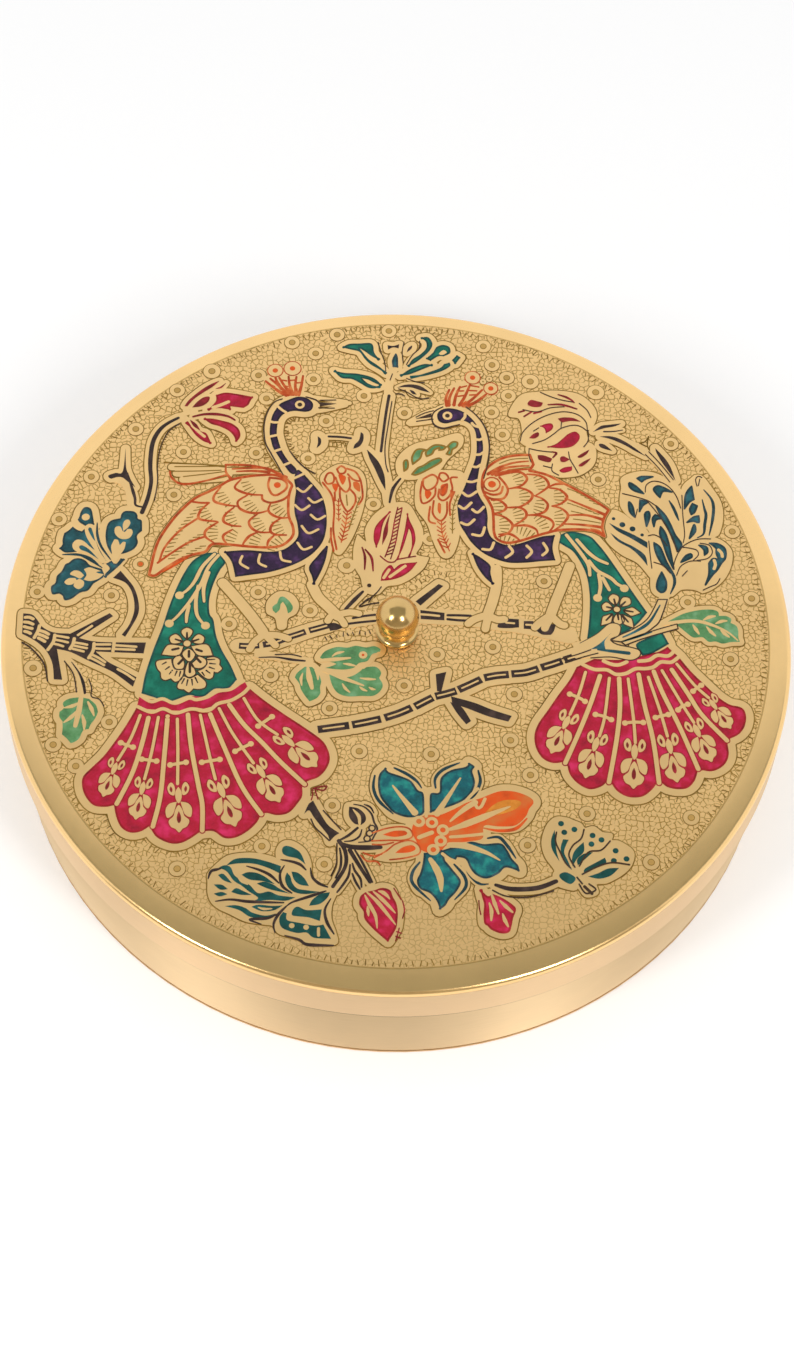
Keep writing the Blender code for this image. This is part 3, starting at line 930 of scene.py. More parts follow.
def left_bird_parts():
    """The left bird and its train"""
    bird = Ornament("left_peacock", 0.0612)
    bird.fill("purple", LEFT_BODY, 1.5)
    neck = bird.fill("purple", LEFT_NECK, 1.9)
    bird.ticks(neck, 2.2, 1.5, 1.1)
    bird.line("sprig", 0.8, (
        "-37.5 74.4, -36 73, -34.8 72.2; -39.4 68.9, -38.2 68.5, -36.6 68.6; -39.4 63.4, -38.2 63.7, "
        "-36.7 64.2; -37.8 58.2, -36.6 58.8, -35.2 59.4; -34.9 53.5, -33.5 54.3, -32.2 55; -31.6 49.2, "
        "-30.1 50.1, -28.4 51.2"))
    bird.spots("sprig", 1.45, "-30.9 75.1")
    bird.spots("ink", 0.7, "-30.9 75.1")
    bird.line("gold", 1.4, "-27 78, -23 77.4, -17.5 76.8; -27 75.6, -23 75.6, -16.5 76.4; -27 72.8, "
                           "-23.5 73.6, -17.5 75.6", 0.7)
    bird.fill("ink", "-25.1 76.2|, -20.3 76|, -25.1 74.8|")
    bird.line("ink", 0.3, "-25 77, -23 77.1, -20.5 77.3; -25.4 74.3, -23 74.3, -20.8 74.4")
    bird.line("sprig", 0.75, (
        "-30.1 46, -28.2 44.9, -26.2 47.2; -26.8 42.8, -25.1 41.4, -23 42.6; -30.5 40.3, -28.5 38.7, "
        "-26.4 40.3; -25.8 37.2, -23.9 35.7, -21.8 37; -28.2 33.3, -26.2 31, -23.5 32.4; -29.1 27.6, "
        "-27.4 25.5, -25.1 26.4; -33.9 24.3, -33.2 21.8, -30.8 21.2; -39.5 23.2, -39.7 20.5, -37.6 19.3; "
        "-44.5 22.4, -44.9 20.1, -42.6 18.5"))
    bird.fill("purple", "-20.7 27, -20.8 23.2, -22 18.5, -23.9 13.9|, -24.5 16.6, -25.5 19.7, "
                        "-23.5 23.2", 1.2)
    bird.line("gold", 2.0, "-24.4 14, -22.4 10, -19.5 7, -16.6 4; -49.4 13.4, -45.6 9, -41.5 4, "
                           "-38.2 -0.6, -37.2 -2.2", 1.5)
    bird.line("gold", 1.7, "-16.8 4.4, -13.5 5.4, -10.8 5.1; -16.6 4, -15.4 2.6, -14.7 1.4; -17 4.6, "
                           "-18.6 3.8, -19.4 2.4", 1.0)
    bird.line("gold", 1.8, "-37 -3, -39.2 -5.2, -40.6 -7.8; -36.6 -3, -33 -3, -30.1 -3.9; -36.6 -3, "
                           "-35 -4.6, -33.5 -6.2", 1.0)
    wing = bird.fill("gold", LEFT_WING, 0.5)
    bird.sheet("ember").ribbon(wing, [0.8] * len(wing), True)
    bird.fill("orange", "-67.9 15.2|, -65 18, -61.6 20.9, -58.4 22.8|, -59.4 21.4, -62.4 19, -65.6 16.6")
    barbs(bird, "-66.9 20.5, -65.6 24.9, -63.4 30.1, -60.7 34.9, -57.9 38.7", 1.7, 0.4)
    barbs(bird, "-65.7 19.8, -62.8 23.8, -59.5 27.3, -56.7 29.5", 1.8, 0.3)
    barbs(bird, "-63.2 19.7, -59.4 23.2, -55.4 25.9", 1.6, 0.2)
    upper = ("-51.2 53.2, -49.3 53.3, -44.3 53.3, -39.7 52.4, -36.6 51.2, -33.5 49.7; -49.1 51.8, "
             "-40.5 52.6, -37.4 51.6; -47.8 51, -43 51.4, -38.5 51.2; -51 53, -50.8 50.5, -49.1 48.2")
    bird.line("gold", 2.2, "-66.5 51.6, -58 51.6, -50 51, -42 51.6, -35.5 50.2; -65 49.5, -58 49.4, "
                           "-50 49.8; -63 47.5, -57 47.8, -51 48.6", 1.1)
    bird.line("ember", (0.3, 0.5, 0.7), upper)
    bird.line("dot", 0.34, (
        "-68.8 53.2, -60 53, -51.3 52.8; -65.6 51.8, -58 52.2, -51.5 52.6; -66.9 50.1, -59 50.6, "
        "-52.3 51.2; -62.9 48.5, -57 49.6, -51.2 50.8; -58 46.8, -54 48, -50.4 49.2"))
    bird.line("ember", 0.4, "-66.9 50.1, -66.2 48, -63.1 46, -57 47.2, -50.6 49.7")
    bird.spots("orange", 1.0, "-35.9 46.9")
    bird.line("ember", 0.5, "-38.2 49.3, -38.5 46.6, -37.4 43.9, -35.8 43.5, -33.5 45.5, -33.2 47.4, "
                            "-34.7 48.9, -38.2 49.3; -40.1 43.2, -39.7 41.6, -37.4 40.8, -34.3 41.8, "
                            "-32.4 43.5")
    scaled_scales(bird, (
        "-46.4 48.3, -48 45.5, -45.5 43.9, -42.8 43.3, -40.3 43.3; -52 45.5, -53.7 42.4, -53.5 40.5, "
        "-50.5 39.5, -46.8 39.1; -44.3 43, -46.8 40.8, -46.2 38.5, -43.5 37.2, -40.5 37.2, -37.8 38.2; "
        "-37.4 40.7, -38 38.2, -36.6 36.6, -34.3 35.8, -32 36; -55 39.9, -57.3 37, -57.3 34.3, "
        "-52.3 33.7; -47.8 38.7, -50.1 36.2, -50.5 33.9, -48.2 32.6, -45.5 32.4; -40.8 37, -43.2 34.3, "
        "-42.4 32, -40.1 30.7, -37 30.8; -34.3 35.7, -36.6 33.5, -37 31.2, -35.5 30.1, -32.4 30.1; "
        "-52 33.5, -55.1 30.8, -55.3 28.5, -52.8 26.6; -47.8 31.2, -50.1 29.3, -50.1 27.8, -48.9 26.2; "
        "-40.5 30.7, -42.8 29.3, -44.3 27, -44.5 25.8; -35.8 29.9, -37.4 27.8, -37.6 25.8"))
    bird.line("ember", 0.45, (
        "-60 40.1, -57.5 39.8, -55 39.9; -58.1 34.3, -62.7 30.1, -66.5 24.3, -67.7 19.5; -55.4 28.5, "
        "-60 26.2, -64.6 22.4, -68.1 19.1"))
    return bird


def left_front_wing(bird):
    """The small wing in front of the left bird's breast"""
    bird.fill("gold", "-23.4 50, -21.4 52.8, -18.6 54.6, -16 54.4, -12.2 52.4, -10.8 47.6, -11.4 40, "
                      "-13.4 32, -16 26, -17.6 24.6, -19.4 27.6, -19.8 34, -20.4 41, -22 45.6", 0.4)
    bird.line("ember", 0.42, (
        "-22.5 49.4, -21.8 51.4, -20.6 51.8, -19.8 50.4, -20 48.6, -21.6 48, -22.5 49.4; -19.1 53.2, "
        "-17.9 54.3, -16.6 53.3, -17 51.9, -18.4 51.8, -19.1 53.2; -16.2 53.5, -13.7 52.4, -12.3 49.6, "
        "-14.2 49.8, -15.9 51.6; -19.4 50.3, -18.2 47.4, -16.2 45.5, -15.1 47.4, -15.6 50.4; -18 46.6, "
        "-17.6 42.8, -15.5 38.9, -13.5 41.6, -13.5 44.4, -15 46.4; -12.2 49.8, -11.6 46.8, -11.4 43.6, "
        "-12.4 41.4; -23 48.4, -20.3 44.4, -19.3 39.7, -19.2 32.4, -18 26; -19.9 33, -19.7 29.4, "
        "-18.8 25.4; -19.4 45.2, -19.2 42.4"))
    for shape in ("-18.6 51.3, -16.4 50.6, -17.3 47.9", "-20.3 47.9, -18.5 47.9, -19.1 45.4",
                  "-14.2 49, -12.5 48.6, -12.2 45.8, -13.9 47"):
        bird.fill("orange", shape)
    herringbone(bird, "ember", "-15.5 38.6, -15.9 33.6, -16.8 28.4", 1.7, 1.1)
    herringbone(bird, "dot", "-12 44, -13.2 39.6, -14.8 33", 1.0, 1.2, 0.26)
    herringbone(bird, "ember", "-18.2 43, -18 39, -17.8 35.6", 0.9, 1.3, 0.3)
    bird.line("dot", 0.4, "-16 44.4, -15.8 42.6, -15.6 41")


class KEEPSAKE_OT_left_bird(bpy.types.Operator):
    """Lays the left bird on the lid"""
    bl_idname = "keepsake.left_bird"
    bl_label = "Left Bird"

    def execute(self, context):
        bird = left_bird_parts()
        left_front_wing(bird)
        bird.line("ink", (0.3, 0.45, 0.45, 0.3), (
            "-36.1 76.9, -38.3 75.7, -40 72.5, -40.8 68.8, -40.8 65.3, -40.1 61.2, -38.4 57.8, "
            "-36.5 54.3, -34.4 50.4; -33 58.8, -30.7 55.6, -28.1 53, -25.3 51.4; -29.3 78, -26.3 77, "
            "-25.1 75.7"))
        bird.laid()
        return {"FINISHED"}


# The right bird, in millimetres from the knob

RIGHT_BODY = (
    "9.1 73.5, 10.1 75.2, 12.4 76, 15.1 75.6, 17.4 74.4, 19.3 72.5, 20.5 70.8, 21.6 68.5, 22.4 65.4, "
    "22.7 62.3, 22.4 58.8, 21.8 55.4, 21.3 51, 21.2 48.2, 22.4 45.1, 23.9 42.4, 24.5 38.9, 24.5 35.5, "
    "25.5 32.4, 27.8 30.5, 30.8 29.7, 33.9 30.5, 37.4 32, 40.5 33.2, 43.7 33.7|, 43.1 29.4, 43.9 25.3|, "
    "39.3 24.7, 35.5 24.1, 30.8 23.9, 26.6 25.1, 23.2 27, 20.1 30.1, 18.2 33.2, 16.6 36.2, 16 39.7, "
    "15.8 43.2, 16.6 45.8, 17.8 49.3, 18.9 53, 20.3 57.7, 20.8 60.8, 20.8 63.8, 20.5 67.3, 19.7 69.6, "
    "18.2 71.2, 16.2 71.9, 13.9 71.3, 11.6 70.6, 9.7 71.3")
RIGHT_WING = (
    "22.7 49.3, 23.5 46.6, 24.7 44.3, 25.8 41.6, 26.2 37.8, 26.4 33.9, 27.4 31.6, 30.1 30.5, 33.5 31.2, "
    "37.4 32.8, 41.2 34.3, 45.1 35.5, 50.8 36, 54.7 35.6, 57.8 34|, 57.2 37, 57.7 40.2, 59 42.9|, "
    "57 44.5, 52 48, 46 51.5, 41 54.2, 36.2 55.3|, 37.3 57.5|, 36.2 60.8|, 31.5 60.3, 27.5 58.8, "
    "24.3 56, 22.9 53")
RIGHT_TRAIN = (
    "44.9 33, 45.8 34.3, 48.9 35.2, 53.5 33.9, 55.8 31.6, 58.5 27.8, 62.3 21.6, 66.2 15.1, 69.8 9.3|, "
    "67.5 6, 65 3.5, 61 0.8, 57 -1.5, 53 0.1|, 53.4 4, 53.7 9.7, 53.6 15, 52.8 20.5, 51.2 24.7, "
    "48.9 28.5, 46.4 30.3, 44.8 31.5")


def herringbone(ornament, layer, text, length, spacing, width=0.42):
    """Barbs that lean both ways off a quill"""
    path = smooth_path(read_points(text), False)
    ornament.sheet(layer).ribbon(path, widths_along(len(path), 0.35))
    gone = 0.0
    for here, there in zip(path, path[1:]):
        run = (there[0] - here[0], there[1] - here[1])
        step = math.hypot(*run)
        gone += step
        if gone < spacing or not step:
            continue
        gone = 0.0
        along = (run[0] / step, run[1] / step)
        for side in (-1, 1):
            tip = (here[0] - along[0] * length * 0.7 - along[1] * side * length * 0.7,
                   here[1] - along[1] * length * 0.7 + along[0] * side * length * 0.7)
            ornament.sheet(layer).ribbon([here, tip], [width, width * 0.7])


class KEEPSAKE_OT_right_bird(bpy.types.Operator):
    """Lays the right bird on the lid"""
    bl_idname = "keepsake.right_bird"
    bl_label = "Right Bird"

    def execute(self, context):
        bird = Ornament("right_peacock", 0.0612)
        body = bird.fill("purple", RIGHT_BODY, 1.6)
        bird.ticks(body[:len(body) * 2 // 5], 1.9, 1.4, 1.3, closed=False)
        bird.line("sprig", 0.85, (
            "17.2 74.2, 17.2 73.2, 16.4 71.9; 19.3 71, 20 70.2, 21.2 69.8; 20.6 65.4, 21.6 65.3, "
            "22.6 65.9; 20.7 60.1, 21.8 60.2, 22.8 61; 20 55.9, 21 55.8, 22.1 56.6; 18.2 50.8, "
            "19.7 50.6, 21.4 51.3; 17.2 46.8, 18.9 45.7, 21.2 47.4; 16.3 42.2, 17.8 41.4, 19.7 43.5; "
            "20.1 41.2, 21.6 40.3, 23.3 42.2; 17 36.6, 18.9 36, 20.7 37.8; 20.3 32.8, 22.8 32.6, "
            "23.7 35.3; 23.3 28, 25.5 28, 26.4 30.3; 30.8 29.3, 31.8 27.4, 29.9 25.5; 35.8 29.7, "
            "37.2 27.8, 35.8 25.8; 40.5 30.8, 41.6 28.5, 40.3 26.8"))
        bird.line("ink", (0.3, 0.45, 0.45, 0.3), (
            "17.4 76.7, 20.1 74.3, 22.4 71.2, 23.9 67.6, 24.5 63.6, 24.4 59.6, 23.9 55.6, 23.1 52; "
            "10.7 76.4, 8.4 74.7, 7.6 72.4, 8.4 70, 10.9 68.9, 13.9 69.8, 15.7 70.4"))
        bird.spots("sprig", 1.45, "12.1 73.3")
        bird.spots("ink", 0.7, "12.1 73.3")
        bird.line("gold", 1.3, "8.5 75.3, 5 73.6, 1 70.6; 8.2 73.4, 4.6 71.8, 0.8 70.2; 8.6 71.4, "
                               "5.5 70.6, 1.4 69.8", 0.7)
        bird.fill("ink", "7.4 74|, 3 71.8|, 7.6 72.6|")
        bird.line("ink", 0.3, "8 74.9, 5.4 73.9, 3 72.4; 8 71.9, 5.4 71.4, 3.2 70.9")
        bird.fill("purple", "20.3 26.6|, 22.4 25.5, 25.5 22.8, 25.7 20.1, 26.6 16.4|, 24.3 18.5, 22 22", 1.3)
        bird.line("gold", 2.0, "27.4 21.6, 27.4 16.2, 26.4 10.8, 25.3 7; 48 23.6, 46.4 18.5, 44.1 11.6, "
                               "42.8 7.4", 1.45)
        bird.line("gold", 1.2, "25 6.4, 21.5 4.8, 19.8 3.3; 25.3 5.8, 24.8 3.2, 24.6 1.8; 25.6 6, 28 5, "
                               "29.8 5.2; 42.6 7, 40 4.8, 38.4 3; 42.8 6.5, 41.6 4, 41.2 2.8; 43 6.8, "
                               "45.3 4.5, 46.6 4", 1.1)
        wing = bird.fill("gold", RIGHT_WING, 0.5)
        bird.sheet("ember").ribbon(wing, [0.8] * len(wing), True)
        bird.spots("ember", 2.6, "25.5 50.1")
        bird.spots("sprig", 2.1, "25.5 50.1")
        bird.spots("orange_spot", 1.15, "25.5 50.1")
        bird.line("ember", 0.5, "23.5 46.2, 25.8 45.1, 28.9 45.5, 30.1 48.2, 29.3 50.4, 27.6 52.6; "
                                "23.2 47.6, 25.6 46.6, 28 47.2, 28.6 49.4")
        bird.line("ember", (0.3, 0.5, 0.7), (
            "36 57, 33 56.7, 29 55.8, 25.5 53.5; 35.8 58.6, 31.5 57.8, 27.5 56, 24.3 53.6; 36.8 56, "
            "30 54.9, 26.6 53.3; 46.5 46.4, 52.2 43.9, 57.7 41.4; 47.4 40.6, 52.6 40.9, 57.4 39.6; "
            "45.6 37.6, 51 37.6, 57 37; 41.8 50, 43.6 51, 45.8 51.4"))
        bird.line("dot", 0.32, "35.6 59.6, 31 59, 27.6 57.4; 36.6 56.6, 33 55.9, 30 55.3; 49 39.4, "
                               "53 39, 56.6 38.4")
        bird.fill("orange", "53.6 36.6|, 56.4 36, 57.6 34.2|, 55.2 35.2")
        barbs(bird, "46.2 50, 49.1 48.9, 52.2 46.9, 55.2 44.7", 1.5, -0.5)
        barbs(bird, "46.6 45, 49.6 43.9, 52.8 42.6, 55.4 41.4", 1.5, -0.4)
        barbs(bird, "47.6 42.2, 50.4 41.6, 53 40.9", 1.5, -0.3)
        scaled_scales(bird, (
            "27.4 53.2, 30.5 54.3, 33.5 54.7, 35.5 52.8, 34.7 50.8, 33.2 49.7, 30.5 48.9; 35.5 54.1, "
            "38.5 53.9, 40.8 52.8, 41.8 50.5, 40.1 48.5, 38.2 47; 30.5 48.9, 33.2 49.3, 35.8 48.5, "
            "37.2 47, 36.2 44.7, 33.5 42.8, 30.8 42.4; 42 49.7, 44.7 49.3, 46.6 47.8, 47 46.2, "
            "45.1 44.3, 42.8 43.5; 37.8 46.8, 40.1 45.8, 41.6 43.9, 40.8 41.6, 38.5 40.5, 35.8 40.1; "
            "25.5 44.7, 27.8 44.7, 29.7 42.8, 28.9 41.2, 26.2 40.1; 30.1 42.4, 33.2 42.6, 35.1 41.6, "
            "35.5 39.7, 33.9 37.8, 31.6 36.2; 42.8 43.5, 45.5 42.8, 47.4 40.5, 45.8 37.4, 43.2 35.1; "
            "35.8 40.1, 39.3 40.1, 42.4 38.9, 43.3 37, 42 34.7; 26.2 39.9, 28.9 39.3, 31.2 37.4, "
            "31.6 35.8, 30.5 33.9, 27.8 32.4; 32 36.2, 35.5 36.6, 38.2 35.5, 38.9 33.9; 27.8 33.2, "
            "30.8 33.5, 32.8 32.4, 33.9 31.2"))
        bird.fill("gold", "4.3 50, 7 53.3, 12 54, 17 53.3, 16.3 47, 15.3 41, 16.3 33, 14.6 26, 12 25.2, "
                          "9.6 30, 7.6 36, 4.4 41, 3.9 46", 0.4)
        bird.line("ember", 0.42, (
            "5.8 51, 8.3 52.6, 9.9 51.2, 9.2 48.6, 7 47.2, 5.8 48.8, 5.8 51; 10.2 51.8, 11.5 50.4, "
            "13 51.6, 12 53.2, 10.6 53.2, 10.2 51.8; 5.5 50.1, 5.1 46, 5.7 42.8, 7.6 43.4, 9.2 45.6, "
            "9.4 48; 10.4 47.6, 10.3 45, 11.6 43.9, 13.2 45.2, 14.2 48, 13.6 51.6, 15.4 52; 11 47.8, "
            "12.6 49.6, 12.4 46.8, 11.4 45.6, 10.8 46.6, 11 47.8; 9 43.6, 8.8 39.6, 10.2 37.4, "
            "11.6 37.2, 12.8 39.6, 12.8 43.4; 14.8 47, 13.6 43, 13.8 39; 8 41.6, 7.8 37, 9.6 36; "
            "10.6 30.6, 12 27.6, 12.6 26.4"))
        for shape in ("6.6 47.6, 8.3 46.3, 7.2 44.2, 6.4 45.6", "10.8 48.8, 12.6 49.4, 11.6 45.6",
                      "13.6 47.6, 14.6 47.2, 13.9 43.8", "10.3 43, 11.1 42.5, 11 39.4, 10.2 40.5"):
            bird.fill("orange", shape)
        herringbone(bird, "ember", "11.4 36.6, 11.8 32.4, 13.9 27", 1.7, 1.1)
        herringbone(bird, "dot", "15.9 46, 14.6 41, 14.6 33", 1.0, 1.3, 0.26)
        bird.laid()
        return {"FINISHED"}


class KEEPSAKE_OT_crests(bpy.types.Operator):
    """Lays the orange crests on both heads"""
    bl_idname = "keepsake.crests"
    bl_label = "Crests"

    def execute(self, context):
        crest = Ornament("crests", 0.0216)
        crest.fill("gold", "-35.4 78.2, -41.8 83, -40 85.6, -36 86.6, -30.2 86.4, -29.8 83, -30.4 79")
        crest.fill("gold", "11.6 76.8, 11.2 80, 13 84.6, 18 86, 22.6 84, 24 81.6, 20 78.6, 17.4 76.8")
        crest.line("ember", (0.75, 0.45), (
            "-35 78.2, -38 80.2, -41.3 83; -34.4 78.4, -37 81.2, -40 84; -33.6 78.6, -35.6 81.4, "
            "-37.4 84.4; -33 78.6, -34.2 81.8, -34.7 85; -32.2 78.6, -32.6 82, -32.4 85; -31.4 78.6, "
            "-30.8 82, -30.5 85.4; -36.6 80.6, -37.8 82.6, -38.6 84.6; 11.8 76.9, 11.5 79.6, 12.4 82.6; "
            "12.4 77, 12.6 80, 13.8 83.2; 13.9 77.2, 14.4 80.6, 15.5 83.8; 15.5 77.2, 17 80.4, 18.5 85; "
            "16.6 77, 19.4 79.8, 22 83; 17.4 76.8, 20.4 78.8, 23.2 81.5"))
        crest.line("ember", 0.34, (
            "-39.8 81.8, -38.6 81.2; -38.4 83, -37.2 82.2; -36.4 83.6, -35.2 83.4; -34.4 83.6, "
            "-32.8 83.8; -32.4 82.8, -31 83; -36 81.6, -34.8 81.4; 14.6 82.2, 16.6 82.4; 15.2 83.4, "
            "17.4 84.2; 17 80.8, 15 80.4; 18.2 82.6, 20.4 82.6; 18.6 84.4, 21 84; 20.2 81.2, 18.4 81"))
        crest.line("orange", (0.9, 0.3),
                   "-35 78.5, -36.8 79.8; -33.6 78.9, -34.6 80.8; -32 78.9, -32 80.8; 13.8 77.3, "
                   "14 79.2; 12.6 77.2, 12.2 79; 16.2 77.2, 17.4 78.8")
        for text_at, outer in (("-38.7 86.9, 19.1 87.2", 2.1), ("-33.7 87.9", 2.35), ("24.5 83.6", 1.9)):
            for across, up, _ in read_points(text_at):
                crest.sheet("ember").disc(across, up, outer + 0.3, 24)
                crest.sheet("sprig").disc(across, up, outer, 24)
                crest.sheet("orange_spot").disc(across, up, 0.8, 14)
        crest.roundels("21.2 88.6, 24 87, 22.2 86, 18.6 84.6", 0.95, 0.01)
        crest.laid()
        return {"FINISHED"}


class KEEPSAKE_OT_top_flower(bpy.types.Operator):
    """Lays the green flower at the back of the lid, its stem and the pale leaves"""
    bl_idname = "keepsake.top_flower"
    bl_label = "Top Flower and Stem"

    def execute(self, context):
        flower = Ornament("top_flower", 0.0252)
        flower.line("gold", 2.6, "-4 90, -4.8 86, -5.4 82, -5 79", 0.8)
        for petal in (
                "-19.5 96.2|, -17.5 97.6, -14.5 97.9, -11.4 98.2, -10.4 97.2, -10 94.8, -8.3 92.2|, "
                "-10.6 93.4, -12.6 95, -14.4 96.2|, -13 94.2, -11.4 92.2, -9 90.4, -7 88.6, -6.2 87.3|, "
                "-8.2 88.8, -11 90.6, -12.8 92.6, -14.4 94.9, -17 95.6",
                "-21.6 87.8|, -18.5 87.1, -14.7 87, -10.8 86.1, -8.5 84.6, -7.4 83|, -9.6 84, -11.4 85, "
                "-13.2 85.4|, -11.6 83.8, -9.6 82.9, -7.6 82.7|, -9.4 82, -11.4 82.2, -13.6 83.6, "
                "-16.2 85, -19.3 85.3",
                "3.4 100.8|, 5.6 101.2, 7 99, 6.4 96.6, 4.6 94.2, 2.2 91.8, 0 90.2|, 1.2 92.8, 3.6 94.9, "
                "5.2 97.2, 5 99.6",
                "5.2 93.4|, 7.2 95.6, 8.2 97.7, 10.1 98.6, 12 97.9, 12.3 95.8, 10.4 94.5|, 8.8 94.4, "
                "6.6 92.6|",
                "-2.2 86.8|, 0.8 89.5, 4.7 91.4, 7.4 91.2|, 4.7 89.7, 0.8 87.6",
                "12.9 93.2|, 14.3 95.1|, 15.4 94.3|, 13.9 91.8|",
                "10.6 91.7|, 12.2 92.3|, 12.4 91, 9.7 89, 4.7 87.1, 0.8 86.4|, 4.7 87.9, 9.3 90.1"):
            flower.fill("green", petal, 1.45)
        flower.fill("teal", "-3.7 94.8, -3 93.4, -2.8 89.8|, -4.4 89.9|, -4.7 92.3", 1.3)
        flower.fill("black", "-6.2 97.7|, -4.5 97.5, -2.8 98.2|, -2.9 96.7|, -4.5 97, -6 96.1|", 1.4)
        flower.fill("black", "1 97.9, 0.8 96.7, -0.5 95.4|, 0 97", 1.5)
        flower.fill("black", "-2.8 82.6|, -0.6 83.7, 2.2 83.9, 4.6 83.1, 6.8 81.3|, 4 82, 1.6 82.8, "
                             "-0.6 82.9",
                    0.9)
        flower.fill("black", "0.8 82|, 2 81.6, 2.9 80.4|, 1.6 80.7", 1.1)
        flower.fill("sprig", "9 95.3, 10.3 96.7, 11.3 95.9, 10 94.9")
        flower.line("ink", 0.3, (
            "-2.4 82.2, 0 81.2, 2.4 79.6, 4.4 79, 6.6 79.4; -3 80.4, -1.6 80.4, -0.6 79.8; -9 98.6, "
            "-8 95, -6.8 91.4, -6.4 88.4; -1.4 99, -1.8 95.4, -1.4 91.6; -0.2 86, 3 84.8, 5 84.8; "
            "-4.4 87.4, -5 85.2; 3.2 99.6, 3.2 97, 1.2 94.4, -0.4 91"))
        rim = smooth_path(read_points("-8.8 98.6, -7.4 100, -5.2 100.4, -2.6 100, -1.2 101.4, 1.4 101.8, "
                                      "3.6 102.8, 6.6 102.8, 8.8 100.6"), False)
        flower.ticks(rim, 0.2, 1.2, 1.5, "edge", False)
        stem = smooth_path(read_points("-5 79.5, -5.7 73, -6.2 66, -6.5 60, -6 55, -4.6 48.5, -3.6 42.4"),
                           False)
        flower.sheet("gold").ribbon(stem, [3.7] * len(stem))
        flower.sheet("edge").ribbon(stem, [4.4] * len(stem))
        flower.line("black", (0.9, 0.8, 0.8), "-5.1 79.6, -5.7 74, -6.2 67.7, -6.7 60")
        flower.line("ink", 0.35, "-4.2 77.6, -4.9 70, -5.6 62, -5.2 56, -4.4 53")
        flower.ticks(smooth_path(read_points("-4.4 52, -4.2 58, -4 66, -3.6 74, -3 79"), False), 0.2,
                     1.0, 0.9, "edge", False)
        flower.fill("black", "-10.8 60.4|, -9 58.5, -7 55.8, -5.4 51.6, -4.9 46.6|, -6.6 50, -8.4 54.2, "
                             "-9.9 57.4", 1.5)
        flower.line("black", (0.6, 1.0, 0.6), "-0.8 50.8, -2.8 47.2, -3.6 42.6", 1.2)
        flower.fill("black", "-12.8 66.4|, -12 65.6, -12 63.4, -13 61.4, -14.7 60.5|, -14.4 61.9, "
                             "-13.2 63.6",
                    1.9)
        flower.line("black", 0.7, "-22 64.4, -18.6 64.4, -15.6 64.1", 1.1)
        flower.fill("black", "-25.2 64.3|, -24.2 63.4, -24.2 61.6, -25.3 60.2|, -25 62.2", 2.1)
        flower.line("edge", 0.3, "-22 62.6, -19.6 62.6, -16.8 62.4; -22 61, -19.4 61; -21.9 62.6, "
                                 "-21.9 61; -20.7 62.6, -20.7 61; -19.6 62.6, -19.6 61; -18.2 62.4, "
                                 "-18.2 61.2; -17 62.4, -17.2 61")
        leaf = flower.fill("gold", "-1.8 53, -2 57, 0 60.5, 3 62.9, 6.5 64.2, 10 65.2, 13 66.6, "
                                   "15.5 67.2, 16.8 65.8, 16.4 63, 14.5 60.5, 12.4 58, 10.5 54.6, "
                                   "7 52.2, 3 50.8, 0 51", 0.2)
        flower.ticks(leaf, 0.4, 1.2, 1.6)
        for cell in (
                "0 56.5, 0.8 57.3, 1.2 56.2, 1.1 54.5, 0.2 53.5|",
                "2.3 58.2, 3.2 60.6, 4.4 61.3, 6.2 61.1|, 5.2 60.3, 4.8 58.5, 4 57.4, 2.6 56|",
                "6.2 60.3, 7.4 61.9, 8.8 62.9, 10.6 62.9, 12 62.4|, 11.2 61.5, 10 61.2|, 10.1 62.1|, "
                "8.7 61.3, 8 59.8, 6.5 58.9|",
                "12.4 62.6|, 13.8 64.2, 15.2 64.1, 15 62.6, 13.8 61.6, 13.4 59.8, 12.2 60|, 13 61.7",
                "2.5 52.5|, 4 54.6, 5.8 55.7, 7.8 57.4, 10.1 58.4, 10.8 57.7, 10 56.6, 7.9 55, 5.3 53.2, "
                "3.5 52.3"):
            flower.fill("leaf_green", cell, 0, "dot")
        small = flower.fill("gold", "-32.4 11.4, -29.6 10.4, -27.8 7.4, -28.4 4.4, -30.6 2.6, -31 -0.4, "
                                    "-33 -0.8, -34 2.6, -36.4 4.2, -36.6 7.6, -34.8 10.4", 0.15)
        flower.ticks(small, 0.3, 0.9, 1.8)
        flower.fill("leaf_green", "-34.8 5|, -35 6.2, -33.8 7.4|, -33.2 9.3, -32 9.6, -30.2 8, "
                                  "-29.3 6.2, -29.8 4.8|, -30.6 4.3|, -31.2 6.4, -32.2 8|, -32.8 7.2, "
                                  "-33 5.4, -34 4.2|")
        flower.laid()
        return {"FINISHED"}


